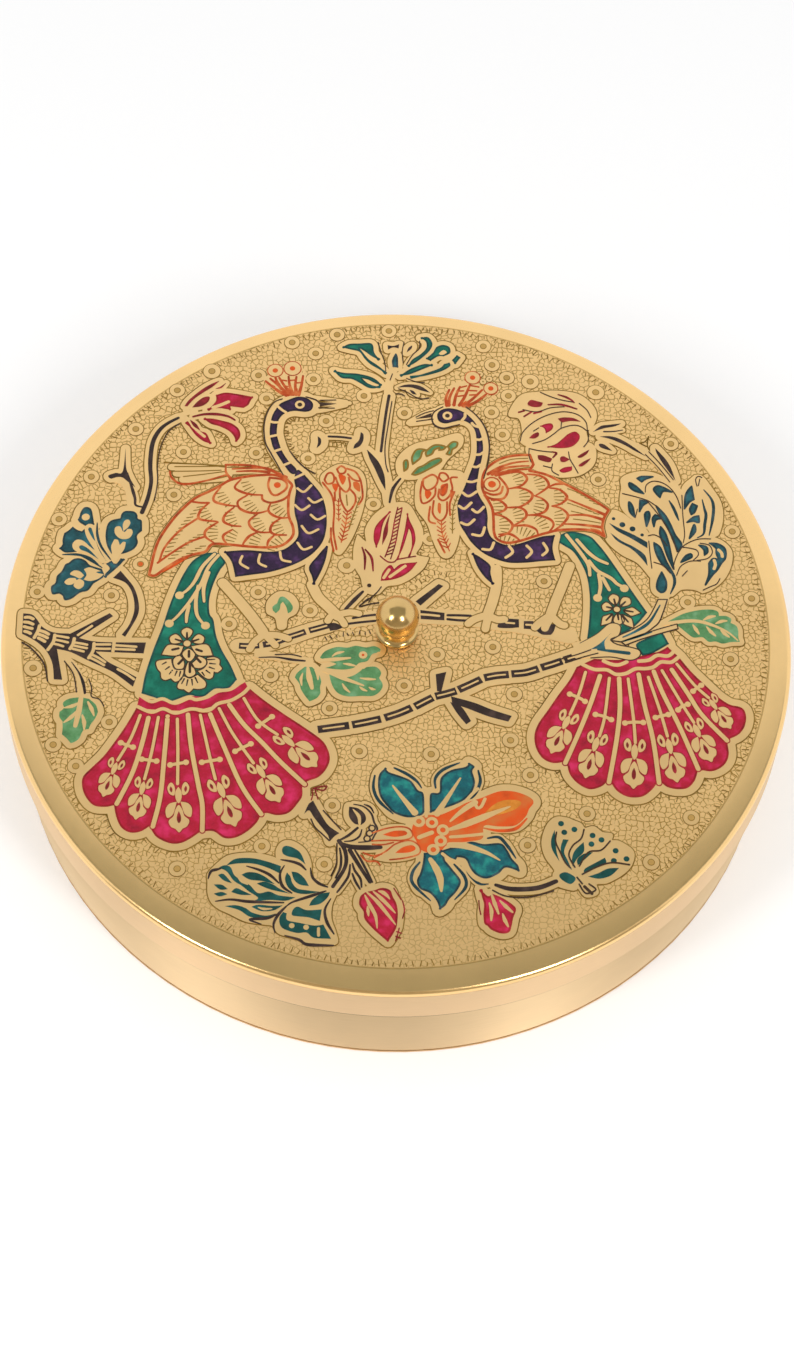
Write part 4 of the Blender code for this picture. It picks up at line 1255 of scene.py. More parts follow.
class KEEPSAKE_OT_crimson_blossoms(bpy.types.Operator):
    """Lays the crimson blossoms beside both heads, with their stems"""
    bl_idname = "keepsake.crimson_blossoms"
    bl_label = "Crimson Blossoms"

    def execute(self, context):
        left = Ornament("left_blossom", 0.0234)
        left.fill("garnet", "-54.8 82.4|, -56.7 80.2, -59.3 78, -61.7 75.7, -63.5 73|, -64.3 73|, "
                            "-63.3 75, -61.3 77.4, -59 79.7, -56.7 81.4", 1.3)
        left.fill("garnet", "-52.8 81.8|, -54.3 80.4, -55.7 79.6|, -54 80", 1.1)
        left.fill("garnet", "-62 72.7|, -60.7 74.7, -59 76.3, -57.3 76.6, -57.5 75, -59.3 73.3", 1.2)
        left.fill("crimson", "-55.5 77.3|, -53 78.3, -49.7 78.1, -44.6 77.2|, -45.3 75.8, -45.8 74.4, "
                             "-47.2 73.2|, -51 73.6|, -50.8 72.3|, -54.4 72.8, -57.6 71.9|, -56.4 73.4, "
                             "-55.3 75.4", 1.5)
        left.line("sprig", 1.05, "-56 72.9, -54 73.8, -51.7 75.1")
        left.line("garnet", (0.5, 0.9, 0.5), "-61.6 69.4, -58.4 70.4, -54.6 70.6, -51.4 70, -49.4 68.8", 1.2)
        crescent = left.fill("crimson", "-58.5 68.9|, -56 69, -53 68.4, -50.3 67.6, -48.3 66, -47.5 64, "
                                        "-47.8 62.3, -48.7 61.2|, -49.4 63.2, -51 65, -53.7 66.4, "
                                        "-56.3 67.2", 1.5)
        left.ticks(crescent, 1.9, 1.7, 1.0)
        left.fill("crimson", "-63.5 67.5|, -61 65.6, -59 64.4, -57.4 63.8, -56.3 61.7, -55.7 60.2|, "
                             "-58 61, -60.3 62.9, -62 65.2", 1.4)
        left.line("sprig", 0.85, "-61.6 66.2, -59.4 64, -57.8 62.6")
        left.fill("garnet", "-62.4 68.3|, -60.4 66.8, -59.2 64.7|, -61.2 66", 0.8)
        left.line("gold", 1.6, "-65.6 69.6, -63 70.8, -61 71.4; -64 71.6, -62.4 73.6; -64.4 69.4, "
                               "-62.8 68", 0.8)
        stem = ("-65.8 68.8, -68.4 67, -70.4 65, -71.8 62.4, -72.6 59.4, -72.8 55, -72.6 51, -72 46, "
                "-72.6 40.4, -73.8 35.8")
        left.line("black", (0.8, 1.3, 1.3, 1.1, 1.3), stem, 1.7)
        left.line("ink", 0.3, "-65.4 66.8, -68 64.4, -69.5 61, -70.4 57, -70.6 52, -70.2 46, -70.6 40")
        hatch = smooth_path(read_points("-65.6 65.4, -68.2 62.6, -69.6 58, -69.9 53"), False)
        left.ticks(hatch[::-1], 0.1, 1.5, 0.8, "edge", False)
        left.fill("black", "-80.2 57.4|, -79.8 53, -79.3 50, -78 47, -76.4 44.2|, -78.6 46, -80.4 47.4, "
                           "-82 47.4, -83.6 46.8, -84.4 47.8, -82.4 48.8, -80.4 49.4", 1.4)
        left.laid()
        right = Ornament("right_blossom", 0.0234)
        right.fill("gold", "31.5 79, 34 82, 38.3 83, 42 83.6, 46 83.6, 50 82.8, 53 80.6, 55 77.6, "
                           "55.3 74.5, 54 71.2, 52.4 69.8, 52.8 66, 50.5 63, 46 61.6, 41 62, 36 63.6, "
                           "33.4 65.6, 34 69, 33 73.4, 30 74.4", 0.2)
        low = right.fill("gold", "35.6 64, 36 59.6, 36.6 56.6, 40.5 55, 43 54.2, 45 53.6, 48 53.9, "
                                 "51 54.8, 54 57.4, 55.2 60.6, 54.8 64.6, 52 66, 44 65", 0.2)
        right.ticks(low[len(low) // 3:len(low) * 2 // 3], 0.4, 1.5, 1.2, closed=False)
        for petal in ("35.3 78.8, 36.3 80.1, 38.3 79.7, 39.8 79.3|, 39.2 78, 37.3 77.7, 35.8 78.1",
                      "44.2 73.9|, 46 74.4, 48.7 74.3, 50.8 73.2|, 48 73.3, 45.3 72.6|",
                      "36 66.7|, 37 68, 38.5 68.8, 38.8 67.8, 37.7 66.7",
                      "38.5 60.8|, 40.3 60.8, 42.7 59.8|, 42 58.6, 40 58.9, 38.7 59.5",
                      "45 60.3, 46 60.8, 47.7 59.8|, 46.4 58.9, 45.2 59",
                      "50 60.8, 51.3 62, 53.4 63.5|, 52.7 62, 51 60.6",
                      "50.3 57.8, 51.7 59.2, 53.8 60.5|, 53 59.2, 51.3 57.6"):
            right.fill("garnet", petal)
        for petal in ("39 71|, 40.7 71.9, 42.4 72.1, 42.9 71, 42.3 69.7, 40.8 68.6|, 40.3 70.3",
                      "41.2 63.8|, 43.7 65, 45.7 67, 47.3 68.7, 49.3 69.6, 50.6 68.3, 50.2 66.3, "
                      "48.3 64.3, 45.3 63.6",
                      "44.8 55.8, 46.3 57, 48.4 57.4|, 48.3 56, 46 55.1"):
            right.fill("crimson", petal)
        right.line("garnet", (0.35, 0.7, 0.4),
                   "44.2 82.4, 46.4 81.7, 48.2 80.6, 48.9 79.8; 41.3 78.7, 45.3 78.9, 49.7 77.6; "
                   "42.6 62.2, 43.9 61.9, 43.6 61.2, 42.9 60.2")
        right.line("ink", 0.3, (
            "33.4 65.6, 34 68.4, 36.3 71.5, 39.7 74.2, 43.7 76, 47 76.4, 50.3 75.4, 52.4 73, 52.8 70.2; "
            "37 64.8, 40.3 66.2, 43 68.4, 45.3 70.6, 48.7 71.8, 50.9 71.4, 52.7 70; 45.1 70.4, "
            "45.3 72.7; 34 76.6, 38 76, 42 77.6, 46 78.2; 39 83, 42 81.6, 45 80.6, 48.4 80; 50.4 79.6, "
            "52.6 77.4, 53.8 74.8; 36 63, 36 60.4, 36.6 58.4; 42.8 58, 42.7 55.6, 44.6 54.2; 47.4 62.4, "
            "47.8 60, 49 57.6, 50.2 55.2; 36.2 63, 39 62.4, 42.6 62.1; 53 70.2, 53 66.6, 51.8 64.4; "
            "40.2 57.2, 42.6 56.6; 38.7 70.4, 37.2 69.2"))
        right.line("garnet", 0.5, "32.8 75.6, 34.4 76.2; 34.4 74.2, 36.6 76; 37.2 75.4, 39.4 76.2")
        right.fill("black", "54.5 69.8|, 56.7 71.9, 58.7 72.4, 62.6 73.1|, 60.7 72, 57.7 71.2", 1.3)
        right.line("black", (0.5, 0.3), "57.6 70, 60.4 70.2, 63 70.8", 0.9)
        right.fill("black", "56.5 68.2|, 59 68.5, 61.4 68, 64 66.6, 66.8 64.5, 69.7 62|, 66.6 63.7, "
                            "63.8 65.5, 61 66.9, 58.8 67.7", 1.4)
        right.fill("black", "56.2 65.6, 57.7 65.5, 60 63.4|, 58 63.9, 56.5 64.6", 1.3)
        right.fill("black", "72.5 64.9|, 74 63.1, 75.7 60.8, 77 58.1, 78.2 54|, 76.3 57, 74.3 60.3, "
                            "72.8 63.4", 1.6)
        right.line("gold", 2.2, "63 67.4, 68.6 64.4, 72.6 60, 76.4 54.8, 79.4 49.4", 0.4)
        right.line("ink", 0.28, "69.6 62.6, 73 58.6, 76.6 53.4; 70.6 63.6, 74 59.4, 77.6 54.2")
        thorn = "68 66.4, 69.6 67.2, 70.6 69; 70.6 69, 70.2 66, 71 63.6; 68.6 66.2, 70.2 65.4"
        right.line("edge", 0.35, thorn)
        right.laid()
        return {"FINISHED"}


ROUNDELS = (
    "56 53.3, 94.2 37.4, 99.2 15.3, 81.2 13.2, 92.9 -4.7, 53.2 -54.8, 81.3 -54.7, 11.4 -7, 26.8 -3.9, "
    "2.6 -17.4, 33 -18.7, 32.2 -33.2, 10.7 -38.5, 37.8 -43.7, 40.8 18.2, 22 98.7, 24.7 92.1, 29.1 87.7, "
    "29.7 81.3, 24.9 75.2, 28.2 67.5, -0.4 73.7, -6 102.9, -21.2 100.8, -34.3 97.3, -27.2 93.7, "
    "-43.5 85, -27.4 84.4, -40.7 76.9, -12.4 79.2, -23 69.8, -42.6 57.7, -27.6 56.5, -39.3 10.8, "
    "-24.5 5.5, -8.2 41.8, -46.8 0.1, 8.3 30.8, -66.8 78.5, -77.8 64.3, -63.5 57, 77 66.7, 37.3 -65, "
    "70.4 -68.6, -89.2 47.2, -97.1 32.4, -101 8, -80.2 7.8, -72.9 18.5, -65.2 42.2, -77.5 -32.6, "
    "-92.1 -40.3, -85.4 -46.6, -34.3 -15.8, -17.6 -25.5, -8.9 -38.5, -15.5 -55.4, -33.7 -68.5, "
    "-16.8 -73.1, -55.8 -76.2")


RIGHT_FAN = (
    "50.1 -9.3|, 48.2 -13.5, 45.1 -18.5, 42.4 -23.2, 39.7 -27.8, 38.7 -31.6, 39.3 -35.5, 41.2 -38.5, "
    "43.9 -39.7, 46.6 -39.3|, 47.8 -40.5|, 48.6 -43.2, 50.8 -45.8, 53.9 -47.3, 56.9 -46.4, 58.3 -45.1|, "
    "59.8 -45.3|, 61.2 -47.4, 63.5 -48.9, 65.8 -49.3, 68.5 -48.7, 70.8 -46.6, 71.9 -44.9|, 73.5 -44.5|, "
    "75 -45.7, 77.7 -46.2, 80.4 -45.7, 82.3 -43.5, 83.3 -40.3|, 84.6 -40.1, 86.9 -40.3, 89.2 -39.3, "
    "91 -37.4, 91.8 -34.7, 91.5 -31.4|, 92.3 -29.9|, 94.6 -28.5, 96.2 -26.2, 96.8 -23.2, 96.3 -20.8, "
    "95 -19.8, 92.3 -19.2, 89.2 -17, 85.8 -13.5, 81.9 -9.3, 78.5 -4.7|, 75.4 -1.6|, 73.1 -3.2, "
    "70.8 -3.9, 67.7 -5, 62 -6.4, 55 -6.4|")


def fan_ribs(fan, dividers, stems, bars, buds):
    """The plain metal ribs, stems, cross bars and buds of a crimson fan"""
    fan.line("sprig", 1.25, dividers, 0, "crimson_rim")
    fan.line("sprig", 0.85, stems, 0, "crimson_rim")
    fan.line("sprig", 0.95, bars, 0, "crimson_rim")
    for part in bars.split(";"):
        ends = read_points(part)
        for end in (ends[0], ends[-1]):
            fan.sheet("sprig").disc(end[0], end[1], 0.85)
    for root, tip in buds:
        bud(fan, root, tip)


class KEEPSAKE_OT_fans(bpy.types.Operator):
    """Lays the green trains and the crimson fans that end them"""
    bl_idname = "keepsake.fans"
    bl_label = "Trains and Fans"

    def execute(self, context):
        left = Ornament("left_fan", 0.0072)
        train = left.fill("green", LEFT_TRAIN, 1.9)
        left.ticks(train[:len(train) // 2], 2.3, 1.2, 1.1, closed=False)
        fan = left.fill("crimson", LEFT_FAN, 2.1)
        left.sheet("crimson").face(smooth_path(read_points(
            "-69.8 -23.6|, -66.5 -25, -63.5 -24.4, -60 -25.5, -56.2 -23.6, -51.2 -23.2, -48.5 -21.2, "
            "-44 -19.6, -41.6 -17.6|, -40 -20.6|, -48 -25.6, -56 -28, -70.4 -28|"), True))
        left.ticks(fan[len(fan) // 5:], 2.4, 1.6, 1.6, closed=False)
        left.line("sprig", (0.9, 1.1, 0.7), (
            "-52.3 22.8, -55.4 18.5, -57.3 13.5, -59.2 10.5, -61.3 8.7; -51.2 22.4, -53.8 18.2, "
            "-55.4 12.8, -58.1 7, -61.5 1.6, -63.5 -0.3; -53.5 16.6, -54.6 11.6, -54.2 7; -56.2 12, "
            "-56.5 7, -55.8 2.4, -53.5 -0.7; -58.3 5.5, -58.7 2.6, -58.7 0.1"), 0, "green_rim")
        left.spots("sprig", 1.25, "-63.4 -0.6, -53.3 -0.8, -61.2 8.7")
        for leaf in (
                "-61.9 -11.8|, -65.9 -12.7, -65.9 -14.9, -64.7 -16.5|, -64.4 -18.2, -63.2 -18.9, "
                "-61.7 -18.3|, -60.4 -19.3, -58.9 -18.4, -58.2 -16.2, -58.3 -15.1|, -60.7 -15.1, "
                "-61.6 -13.4",
                "-52.3 -11.1|, -50.2 -10.7, -48.6 -11.5, -48.5 -13.2|, -47.7 -14.4, -48.9 -15.8, "
                "-49.9 -15.6|, -50.1 -17.3, -51.3 -18, -52.9 -17.2, -54.7 -15.4|, -53.2 -14.7, "
                "-52.2 -13.2",
                "-58.3 -17.3, -59.8 -20.1, -59.4 -21.4, -57.9 -21.6|, -56.4 -22.5, -55.2 -21.2|, "
                "-53.7 -21.3, -52 -20.6, -52 -18.7, -54.4 -16.5|, -56.5 -17.8",
                "-59.7 -10.7, -61.3 -11.6, -61.5 -13.3, -60.5 -15.1, -58.5 -14.9, -58.3 -12.8",
                "-54.5 -10.7, -52.6 -11.5, -52.1 -13.1, -53.6 -14.6, -55.7 -14.4, -56.3 -13.2, -55.2 -11.8",
                "-57.5 -13, -58 -16.4, -56.6 -17.6, -54.9 -16.2, -56.4 -13",
                "-57.5 -8.3, -59.2 -10.3, -57 -12.7, -55.4 -10.3",
                "-58.8 -7.7|, -63.2 -7.4, -64.9 -10.8|, -60.1 -10.8",
                "-57 -7.6|, -52.4 -6.8, -50.5 -10.4|, -54.7 -10.5"):
            outlined(left, leaf)
        for tip in ((-58.4, -1.6), (-63.0, -5.0), (-53.3, -4.6)):
            drop_leaf(left, (-58.0, -6.7), tip, 3.2)
        ringed(left, (-58.0, -6.8), 1.15)
        left.line("ink", (0.5, 0.3), (
            "-63.4 -13.1, -64.4 -13.8; -62.4 -14.5, -63.4 -15.4; -61.5 -15.6, -62.2 -16.8; -60.2 -15.8, "
            "-60.6 -17.2; -59.2 -15.9, -59.4 -17.4; -51.8 -11.7, -50 -11.5; -51.3 -12.9, -49.7 -13; "
            "-51.3 -14.1, -49.9 -14.6; -52.1 -15.2, -51 -16; -53.2 -15.9, -52.5 -16.9; -58 -18.1, "
            "-58.6 -19.7; -57 -18.4, -57.2 -20.2; -55.9 -18.2, -55.6 -20; -55 -17.6, -54.2 -19.2"))
        left.line("ink", 0.75, "-59.9 -13.4, -58.7 -11.8; -55.4 -11, -53.9 -12.6; -56.8 -13.2, "
                               "-56.6 -15.9; -57.3 -9.2, -57.2 -11; -61.9 -9, -60.3 -8.5; -55.3 -8.6, "
                               "-53.8 -9.1")
        left.line("sprig", 1.05, "-69.6 -23.9, -66.5 -25.7, -63.5 -24.7, -60 -25.9, -56.2 -24.1, "
                                 "-54.2 -24.5, -51.2 -23.5, -48.5 -21.6, -45.1 -20.8, -42.8 -18.9, "
                                 "-41.6 -18; -70 -27.5, -66.2 -29, -63.1 -27.8, -59.6 -29, -55.4 -27.5, "
                                 "-50.8 -27.8, -48.2 -25.5, -44.7 -24.3, -41.6 -22, -40.1 -20.1")
        fan_ribs(left, (
            "-66.9 -30.8, -68.1 -39.3, -70 -48.2, -73.4 -57.6; -61.7 -30.1, -61.7 -43.2, -61.9 -55, "
            "-63.2 -64; -56.2 -29.3, -54.6 -39.3, -51.9 -50.8, -50.4 -57, -49.9 -64.6; -50.1 -28.9, "
            "-45.5 -39.3, -40.1 -50.8, -34.4 -59; -45.1 -25.7, -40.8 -31.6, -35.5 -37, -30.1 -42.8, "
            "-23.2 -49.4"), (
            "-69.2 -30.1, -71.2 -37.4, -74.2 -44.3; -64.2 -30.5, -65.2 -41.2, -66.5 -49.7; -59 -30.8, "
            "-58.1 -41.2, -57.5 -50.8; -52.8 -29.3, -49.3 -42.4, -47.4 -48.9; -47.8 -27, -44.3 -33.5, "
            "-41 -38.5, -37.4 -43.5; -41.2 -23.5, -37 -30.1, -31.4 -34.4"), (
            "-73.8 -38.9, -72 -39.6, -70.4 -40.1; -67.7 -43.7, -65.7 -43.9, -63.7 -44.1; -59.9 -45.1, "
            "-57.8 -44.6, -55.7 -44.1; -51.4 -43.9, -49 -43.3, -46.6 -42.8; -42.6 -40.1, -40.5 -38.8, "
            "-38.5 -37.6; -36.8 -32, -35 -30.4, -33.2 -28.9"), (
            ((-74.2, -44.3), (-77.3, -55.8)), ((-66.5, -49.7), (-68, -62.3)),
            ((-57.3, -50.9), (-56, -65.6)), ((-47, -48.9), (-41, -63.2)),
            ((-37, -43.2), (-29.5, -55.3)), ((-30.8, -33.9), (-20, -44.0))))
        left.laid()
        right = Ornament("right_fan", 0.0072)
        train = right.fill("green", RIGHT_TRAIN, 1.9)
        right.fill("green", "73.6 3.4, 75.8 -0.6|, 73.1 -2.6, 70.8 -4.1, 68.4 -4.8|, 66.6 -1.4, "
                            "69.2 0.7, 71.9 2.2", 1.9)
        right.ticks(train[len(train) * 3 // 5:], 2.3, 1.2, 1.1, closed=False)
        fan = right.fill("crimson", RIGHT_FAN, 2.1)
        right.ticks(fan[:len(fan) * 3 // 5], 2.4, 1.6, 1.6, closed=False)
        right.line("sprig", (1.0, 1.1, 0.9), (
            "47 33.9, 50.8 28.5, 53.2 24.3, 53.7 20.8; 50 32.4, 53.1 28.5, 55.8 26.2, 58.6 24.9; "
            "53.5 25.5, 55.8 22.4, 59.6 20.1, 61.5 18.2, 63.5 17.2; 56.2 21.2, 56.7 17.4, 56.2 13.9; "
            "57.3 20.1, 58.3 18, 59.2 16.2"), 0, "green_rim")
        right.spots("sprig", 1.25, "63.4 16.9, 55.9 13.4")
        for tip in ((60.1, 14.9), (64.9, 13.8), (62.0, 4.9), (57.0, 10.9)):
            drop_leaf(right, (61.3, 9.9), tip, 3.0)
        for tip in ((68.1, 9.0), (66.1, 3.9), (56.8, 4.3)):
            drop_leaf(right, (61.3, 9.9), tip, 2.9, True)
        ringed(right, (61.3, 9.9), 1.05)
        right.line("sprig", 1.1, "77.6 -2.4, 75.6 -4.5, 72.5 -4.5, 70.2 -6.1, 67.4 -6.6; 64 -7, 62 -8, "
                                 "60 -8, 57.6 -7; 78.6 -4.6, 76.4 -6.5, 73.5 -6.6, 71.4 -8.3, 69.2 -8.9, "
                                 "66.4 -9.1, 63.8 -10.7, 61 -11.1, 58.5 -9.8, 55 -9.8, 51.8 -8.4")
        fan_ribs(right, (
            "56.6 -11.8, 54 -20.8, 50.8 -30.1, 47.2 -39.6; 61.9 -12.4, 62.1 -21.6, 61.2 -31.6, 59.1 -45; "
            "67.3 -10.8, 68.8 -20.1, 71.2 -31.6, 72.7 -44.6; 71.5 -9.7, 73.8 -16.2, 78.5 -27, "
            "83.4 -39.8; 76.5 -8.9, 80.8 -16.2, 84.6 -22.8, 91.4 -30.6"), (
            "52.6 -10.8, 50.8 -17.8, 48.4 -24.4; 59.2 -12.4, 57.9 -24.7, 56.5 -30.8; 64.4 -12.4, "
            "65.8 -24.7, 66.3 -32.4; 70 -11.6, 73.1 -22, 75.1 -30; 73.8 -9.3, 79.2 -19.7, 82.4 -25.4; "
            "77.9 -7, 82.7 -13.5, 86.6 -17.4"), (
            "48.3 -18, 50.6 -18.9, 52.5 -20.1; 55.4 -24.1, 57.8 -24.6, 59.7 -25.5; 63.5 -26.4, 66 -26, "
            "68.5 -26; 71.9 -24.3, 73.5 -23.7, 75.4 -23.2; 78.1 -21.6, 79.2 -20.4, 80.8 -19.7; "
            "82.3 -15.5, 83.4 -14.4, 84.6 -13.5"), (
            ((48.6, -24.0), (43.2, -37.0)), ((56.3, -30.2), (52.6, -44.2)),
            ((66.2, -31.8), (65.7, -46.9)), ((75.0, -29.8), (77.7, -44.4)),
            ((82.0, -25.0), (87.2, -37.6)), ((86.4, -17.2), (92.6, -27.0))))
        right.laid()
        return {"FINISHED"}


def branch(ornament, runs, width=2.3, band=1.8):
    """A black branch in jointed lengths, each with a plain metal slit, inside its metal band"""
    for run in runs.split(";"):
        path = smooth_path(read_points(run), False)
        ornament.sheet("black").face(box_round(path, width))
        ornament.band(path, width / 2 + band, closed=False)
        keep = path[len(path) // 5:-max(1, len(path) // 5)] or path
        if len(keep) > 1:
            ornament.sheet("sprig").ribbon(keep, [BRANCH_SLIT] * len(keep))


def box_round(path, width):
    """The square-ended outline of a thick line"""
    left, right = [], []
    for index, point in enumerate(path):
        before = path[max(0, index - 1)]
        after = path[min(len(path) - 1, index + 1)]
        run = (after[0] - before[0], after[1] - before[1])
        length = math.hypot(*run) or 1.0
        side = (-run[1] / length * width / 2, run[0] / length * width / 2)
        left.append((point[0] + side[0], point[1] + side[1]))
        right.append((point[0] - side[0], point[1] - side[1]))
    return left + right[::-1]


class KEEPSAKE_OT_branches(bpy.types.Operator):
    """Lays the black branches and the tulip behind the knob"""
    bl_idname = "keepsake.branches"
    bl_label = "Branches and Tulip"

    def execute(self, context):
        wood = Ornament("branches")
        wood.line("gold", 5.0, "6.4 5.2, 12.5 5.1, 20 5, 27 4.1, 34 3.4, 43.5 1.6, 48 0.6", 0.35)
        wood.line("gold", 4.4, "-6 4.2, -12 2.8, -18.5 1.2, -24.5 -1.3, -30 -3.8, -36 -6, -44 -6.8", 0.35)
        wood.fill("black", "6.3 7.1|, 13.1 6.5|, 13.1 4.1|, 6.5 4.2|")
        wood.line("sprig", 0.7, "6.5 5.7, 9 5.6, 11.6 5.4")
        wood.line("black", 0.75, "14 5.8, 17 5.9, 20.4 5.9; 14 4.5, 17 4.3, 19.6 4.3")
        wood.fill("black", "28.7 4.4|, 30.5 5.5|, 33.9 5.4|, 34 2.8|, 31 2.4, 28 2.6")
        wood.line("sprig", 0.6, "30.4 4.1, 32.6 4")
        wood.fill("black", "35.3 4.9|, 38 5|, 38 2.4|, 35.3 2.4|")
        wood.line("sprig", 0.6, "36 3.7, 37.4 3.7")
        wood.fill("black", "38.6 2.2|, 41 3.9, 44.3 4.3|, 43.7 2, 42.9 0.8|, 40.4 0.8")
        wood.fill("black", "-19.4 1.4|, -17.4 1.8, -15.2 0.6, -16.6 -0.4|, -18.6 -0.8|")
        wood.line("black", 0.7, "-12.4 3.6, -9.4 4.4, -6.2 5; -14.2 1.6, -10 2.4, -6.2 3")
        branch(wood, "-30 -3.4, -27.6 -2.4, -25.4 -1.4; -24.4 -1, -21.6 0, -19 1", 1.9, 1.4)
        branch(wood, "-43.6 -6.8, -41 -6.8, -38 -6.4; -37 -6.2, -34 -5.4, -31 -4", 1.9, 1.4)
        branch(wood, (
            "-20.5 -32.3, -16 -31.4, -12 -30.6; -11.2 -30.4, -7.4 -29.4, -3.4 -28.2; -2.4 -27.8, "
            "1.4 -26.2, 4.9 -24.3; 5.8 -23.9, 8.4 -22.2, 10.6 -20.8; 11.3 -20.4, 14.4 -19.4, 17 -18.4; "
            "17.6 -18, 20.8 -16.2, 23.8 -14.4; 24.6 -13.9, 28 -13, 31.4 -12.5; 32.1 -12.3, 36 -11.7, "
            "39.6 -10.3; 40.3 -9.9, 43.4 -8.7, 46.1 -7.5; 46.7 -7.2, 49.8 -5.9, 52.8 -4.7"))
        wood.fill("black", "11.2 -13.4|, 14.1 -12.5|, 12.9 -18.9|, 11.7 -18.7|", 1.7)
        wood.fill("black", "15.6 -20.2|, 22 -21.9, 27 -23.9, 32.4 -25.6|, 31.5 -27.4|, 26 -26, 20 -23.7, "
                           "16 -22.4|", 1.7)
        wood.fill("black", "15.4 -22|, 18.5 -23.3, 21.3 -27.7|, 20 -28.8|, 17.4 -25.4", 1.6)
        wood.fill("black", "4.9 9.9|, 11.2 15.9|, 12.5 15.3|, 6.3 8.6|", 1.7)
        wood.ticks(smooth_path(read_points("3.4 12.4, 7.6 16.8, 10.8 19, 14.2 17.8"), False)[::-1], 0.1,
                   1.5, 1.3, "edge", False)
        wood.line("gold", 2.0, "50 -2.2, 55 -0.4, 60 3.8; 59.6 2.6, 58.7 -0.6, 60 -2.2, 64.4 -2.8, "
                               "66.4 -4, 65 -5.8, 60 -5.8, 54 -6", 0.3)
        wood.fill("black", "54 -4.2|, 57.4 -1.8, 59.6 1.8|, 58 -0.8, 58.4 -2.4, 60 -3.4, 64 -3.5|, "
                           "64 -4.5|, 57.6 -4.6")
        wood.line("sprig", 0.4, "54.2 -3.8, 57 -3.3; 55 -4.6, 58.6 -3.9")
        wood.line("gold", 3.0, "60.5 -0.4, 64 1.6, 67 3.9, 70.8 7.4, 73.1 11.2, 74.6 14", 0.3)
        wood.line("black", (0.3, 0.9, 1.1, 0.6), "61.6 -0.2, 66.4 2.6, 70.4 6.2, 72.6 9.8, 74.4 13.4")
        wood.line("gold", 1.4, "62 0, 66 1.6, 70 4, 75 6", 0.3)
        wood.fill("leaf_green", (
            "74.5 5.9|, 77 7.6, 79.6 9.2, 81.9 10.1, 85 10.9, 88.1 11.1, 89.7 10.4, 89.9 9.1|, 91.9 9.2, "
            "93.3 8.3, 93.1 7|, 94.6 6.2, 95.2 4.7, 95.2 2.4, 95.6 1|, 93.1 0.8, 90.8 0.2, 88.8 0.8, "
            "86.9 0.6, 85.2 2, 82.7 1.8, 80.8 3.2, 78.5 5.2, 76.6 5.5"), 1.3)
        wood.line("sprig", (1.2, 1.0, 0.4), "74.5 5.8, 80.8 7, 84.6 7, 88.5 5.8, 92.3 3.9, 95 1.4")
        wood.line("sprig", (0.4, 1.1, 0.5),
                  "82.6 5.8, 83.4 4.4, 84.2 3; 86.4 5.4, 87.6 3.8, 88.8 2.6; 90.4 4.4, 91.4 3.4, "
                  "92.6 2.4; 85.6 7.6, 87.2 8.6, 88.8 9; 89 6.6, 90.6 7.4, 92 7.6")
        tulip = wood.fill("gold", (
            "-12.2 31|, -9.6 28.8, -10 33, -8 37.6, -4.6 41, -1 42.6, 1.8 42, 4 38.4, 6 33.6, 5.8 29, "
            "4.4 25.4, 8 24.4|, 6.6 21, 3.4 17.6, 0 15.4, -3.4 14.6, -5.6 12, -8.4 12, -10 14.4, "
            "-10.6 17, -12.6 21, -13 26.4"), 0.25)
        wood.ticks(tulip, 0.6, 1.1, 1.7)
        for petal in ("-3.2 39.6|, -5.5 37, -7.4 33.9, -7.7 30.1, -6.8 27.1|, -5.8 30.5, -5.1 35.5",
                      "1.6 39.2|, 2.4 36.6, 3.7 33.6, 4.2 30.4, 3.6 27.4, 2.5 24.3|, 3.2 28.4, 2.9 32.2, "
                      "2.2 34|, 1.6 31, 0.6 27, -0.8 23.2|, 0.1 28, 0.9 32.6, 1.3 36",
                      "-5.1 16.2|, -4.8 18.6, -3.4 21, -2.3 21.5, -1.5 20.2|, 0 21.8, 2 22.4, 4.9 22.8|, "
                      "3.2 20, 0.6 17.8, -2.4 16.6"):
            wood.fill("crimson", petal)
        wood.fill("garnet", "-3.3 38.6|, -3.7 35.5, -3.8 32, -5.2 28|, -5 32.4, -4.1 36.4")
        wood.line("garnet", (0.4, 0.8, 0.4), "-10.8 27, -9.9 24, -9.8 19.8; -9.9 26.4, -8 23.6, -7.4 19.4")
        wood.line("sprig", 0.9, "-4.3 17.2, -2.9 19.9; -2.6 17.6, -0.6 19.4, 1.6 21.4")
        wood.line("garnet", 0.35, (
            "-1.2 41, -2 36, -2.7 30, -4.2 24.2; 0 40.6, -0.7 35, -1.4 29, -2.6 23.6; -1.1 40.2, 0 40.9; "
            "-1.4 38.8, -0.2 39.7; -1.5 37.5, -0.4 38.4; -1.7 36.2, -0.6 37.1; -1.9 34.9, -0.7 35.8; "
            "-2.1 33.6, -0.9 34.5; -2.3 32.3, -1.1 33.2; -2.5 31, -1.2 31.9; -2.7 29.7, -1.4 30.6; "
            "-3 28.4, -1.6 29.3; -3.3 27.1, -1.8 28; -3.6 25.8, -2.1 26.7; -4 24.8, -2.4 25.4; "
            "-5.6 24.4, -3.4 22.6, -1.6 22.6, -0.8 23.4, 2 24.2, 4.4 24.8"))
        wood.spots("ink", 0.6, "-8.3 14.5")
        wood.line("black", (0.7, 1.2, 0.9), "-10 12.4, -12.4 9.4, -14.6 6.4", 1.5)
        wood.line("ink", 0.35, "-4.9 14.2, -6.6 11.6, -10.8 7.6, -8 8.4, -5.4 9; -9.6 9, -8.4 10.2; "
                               "-8.2 9, -7.4 10.6")
        wood.laid()
        return {"FINISHED"}


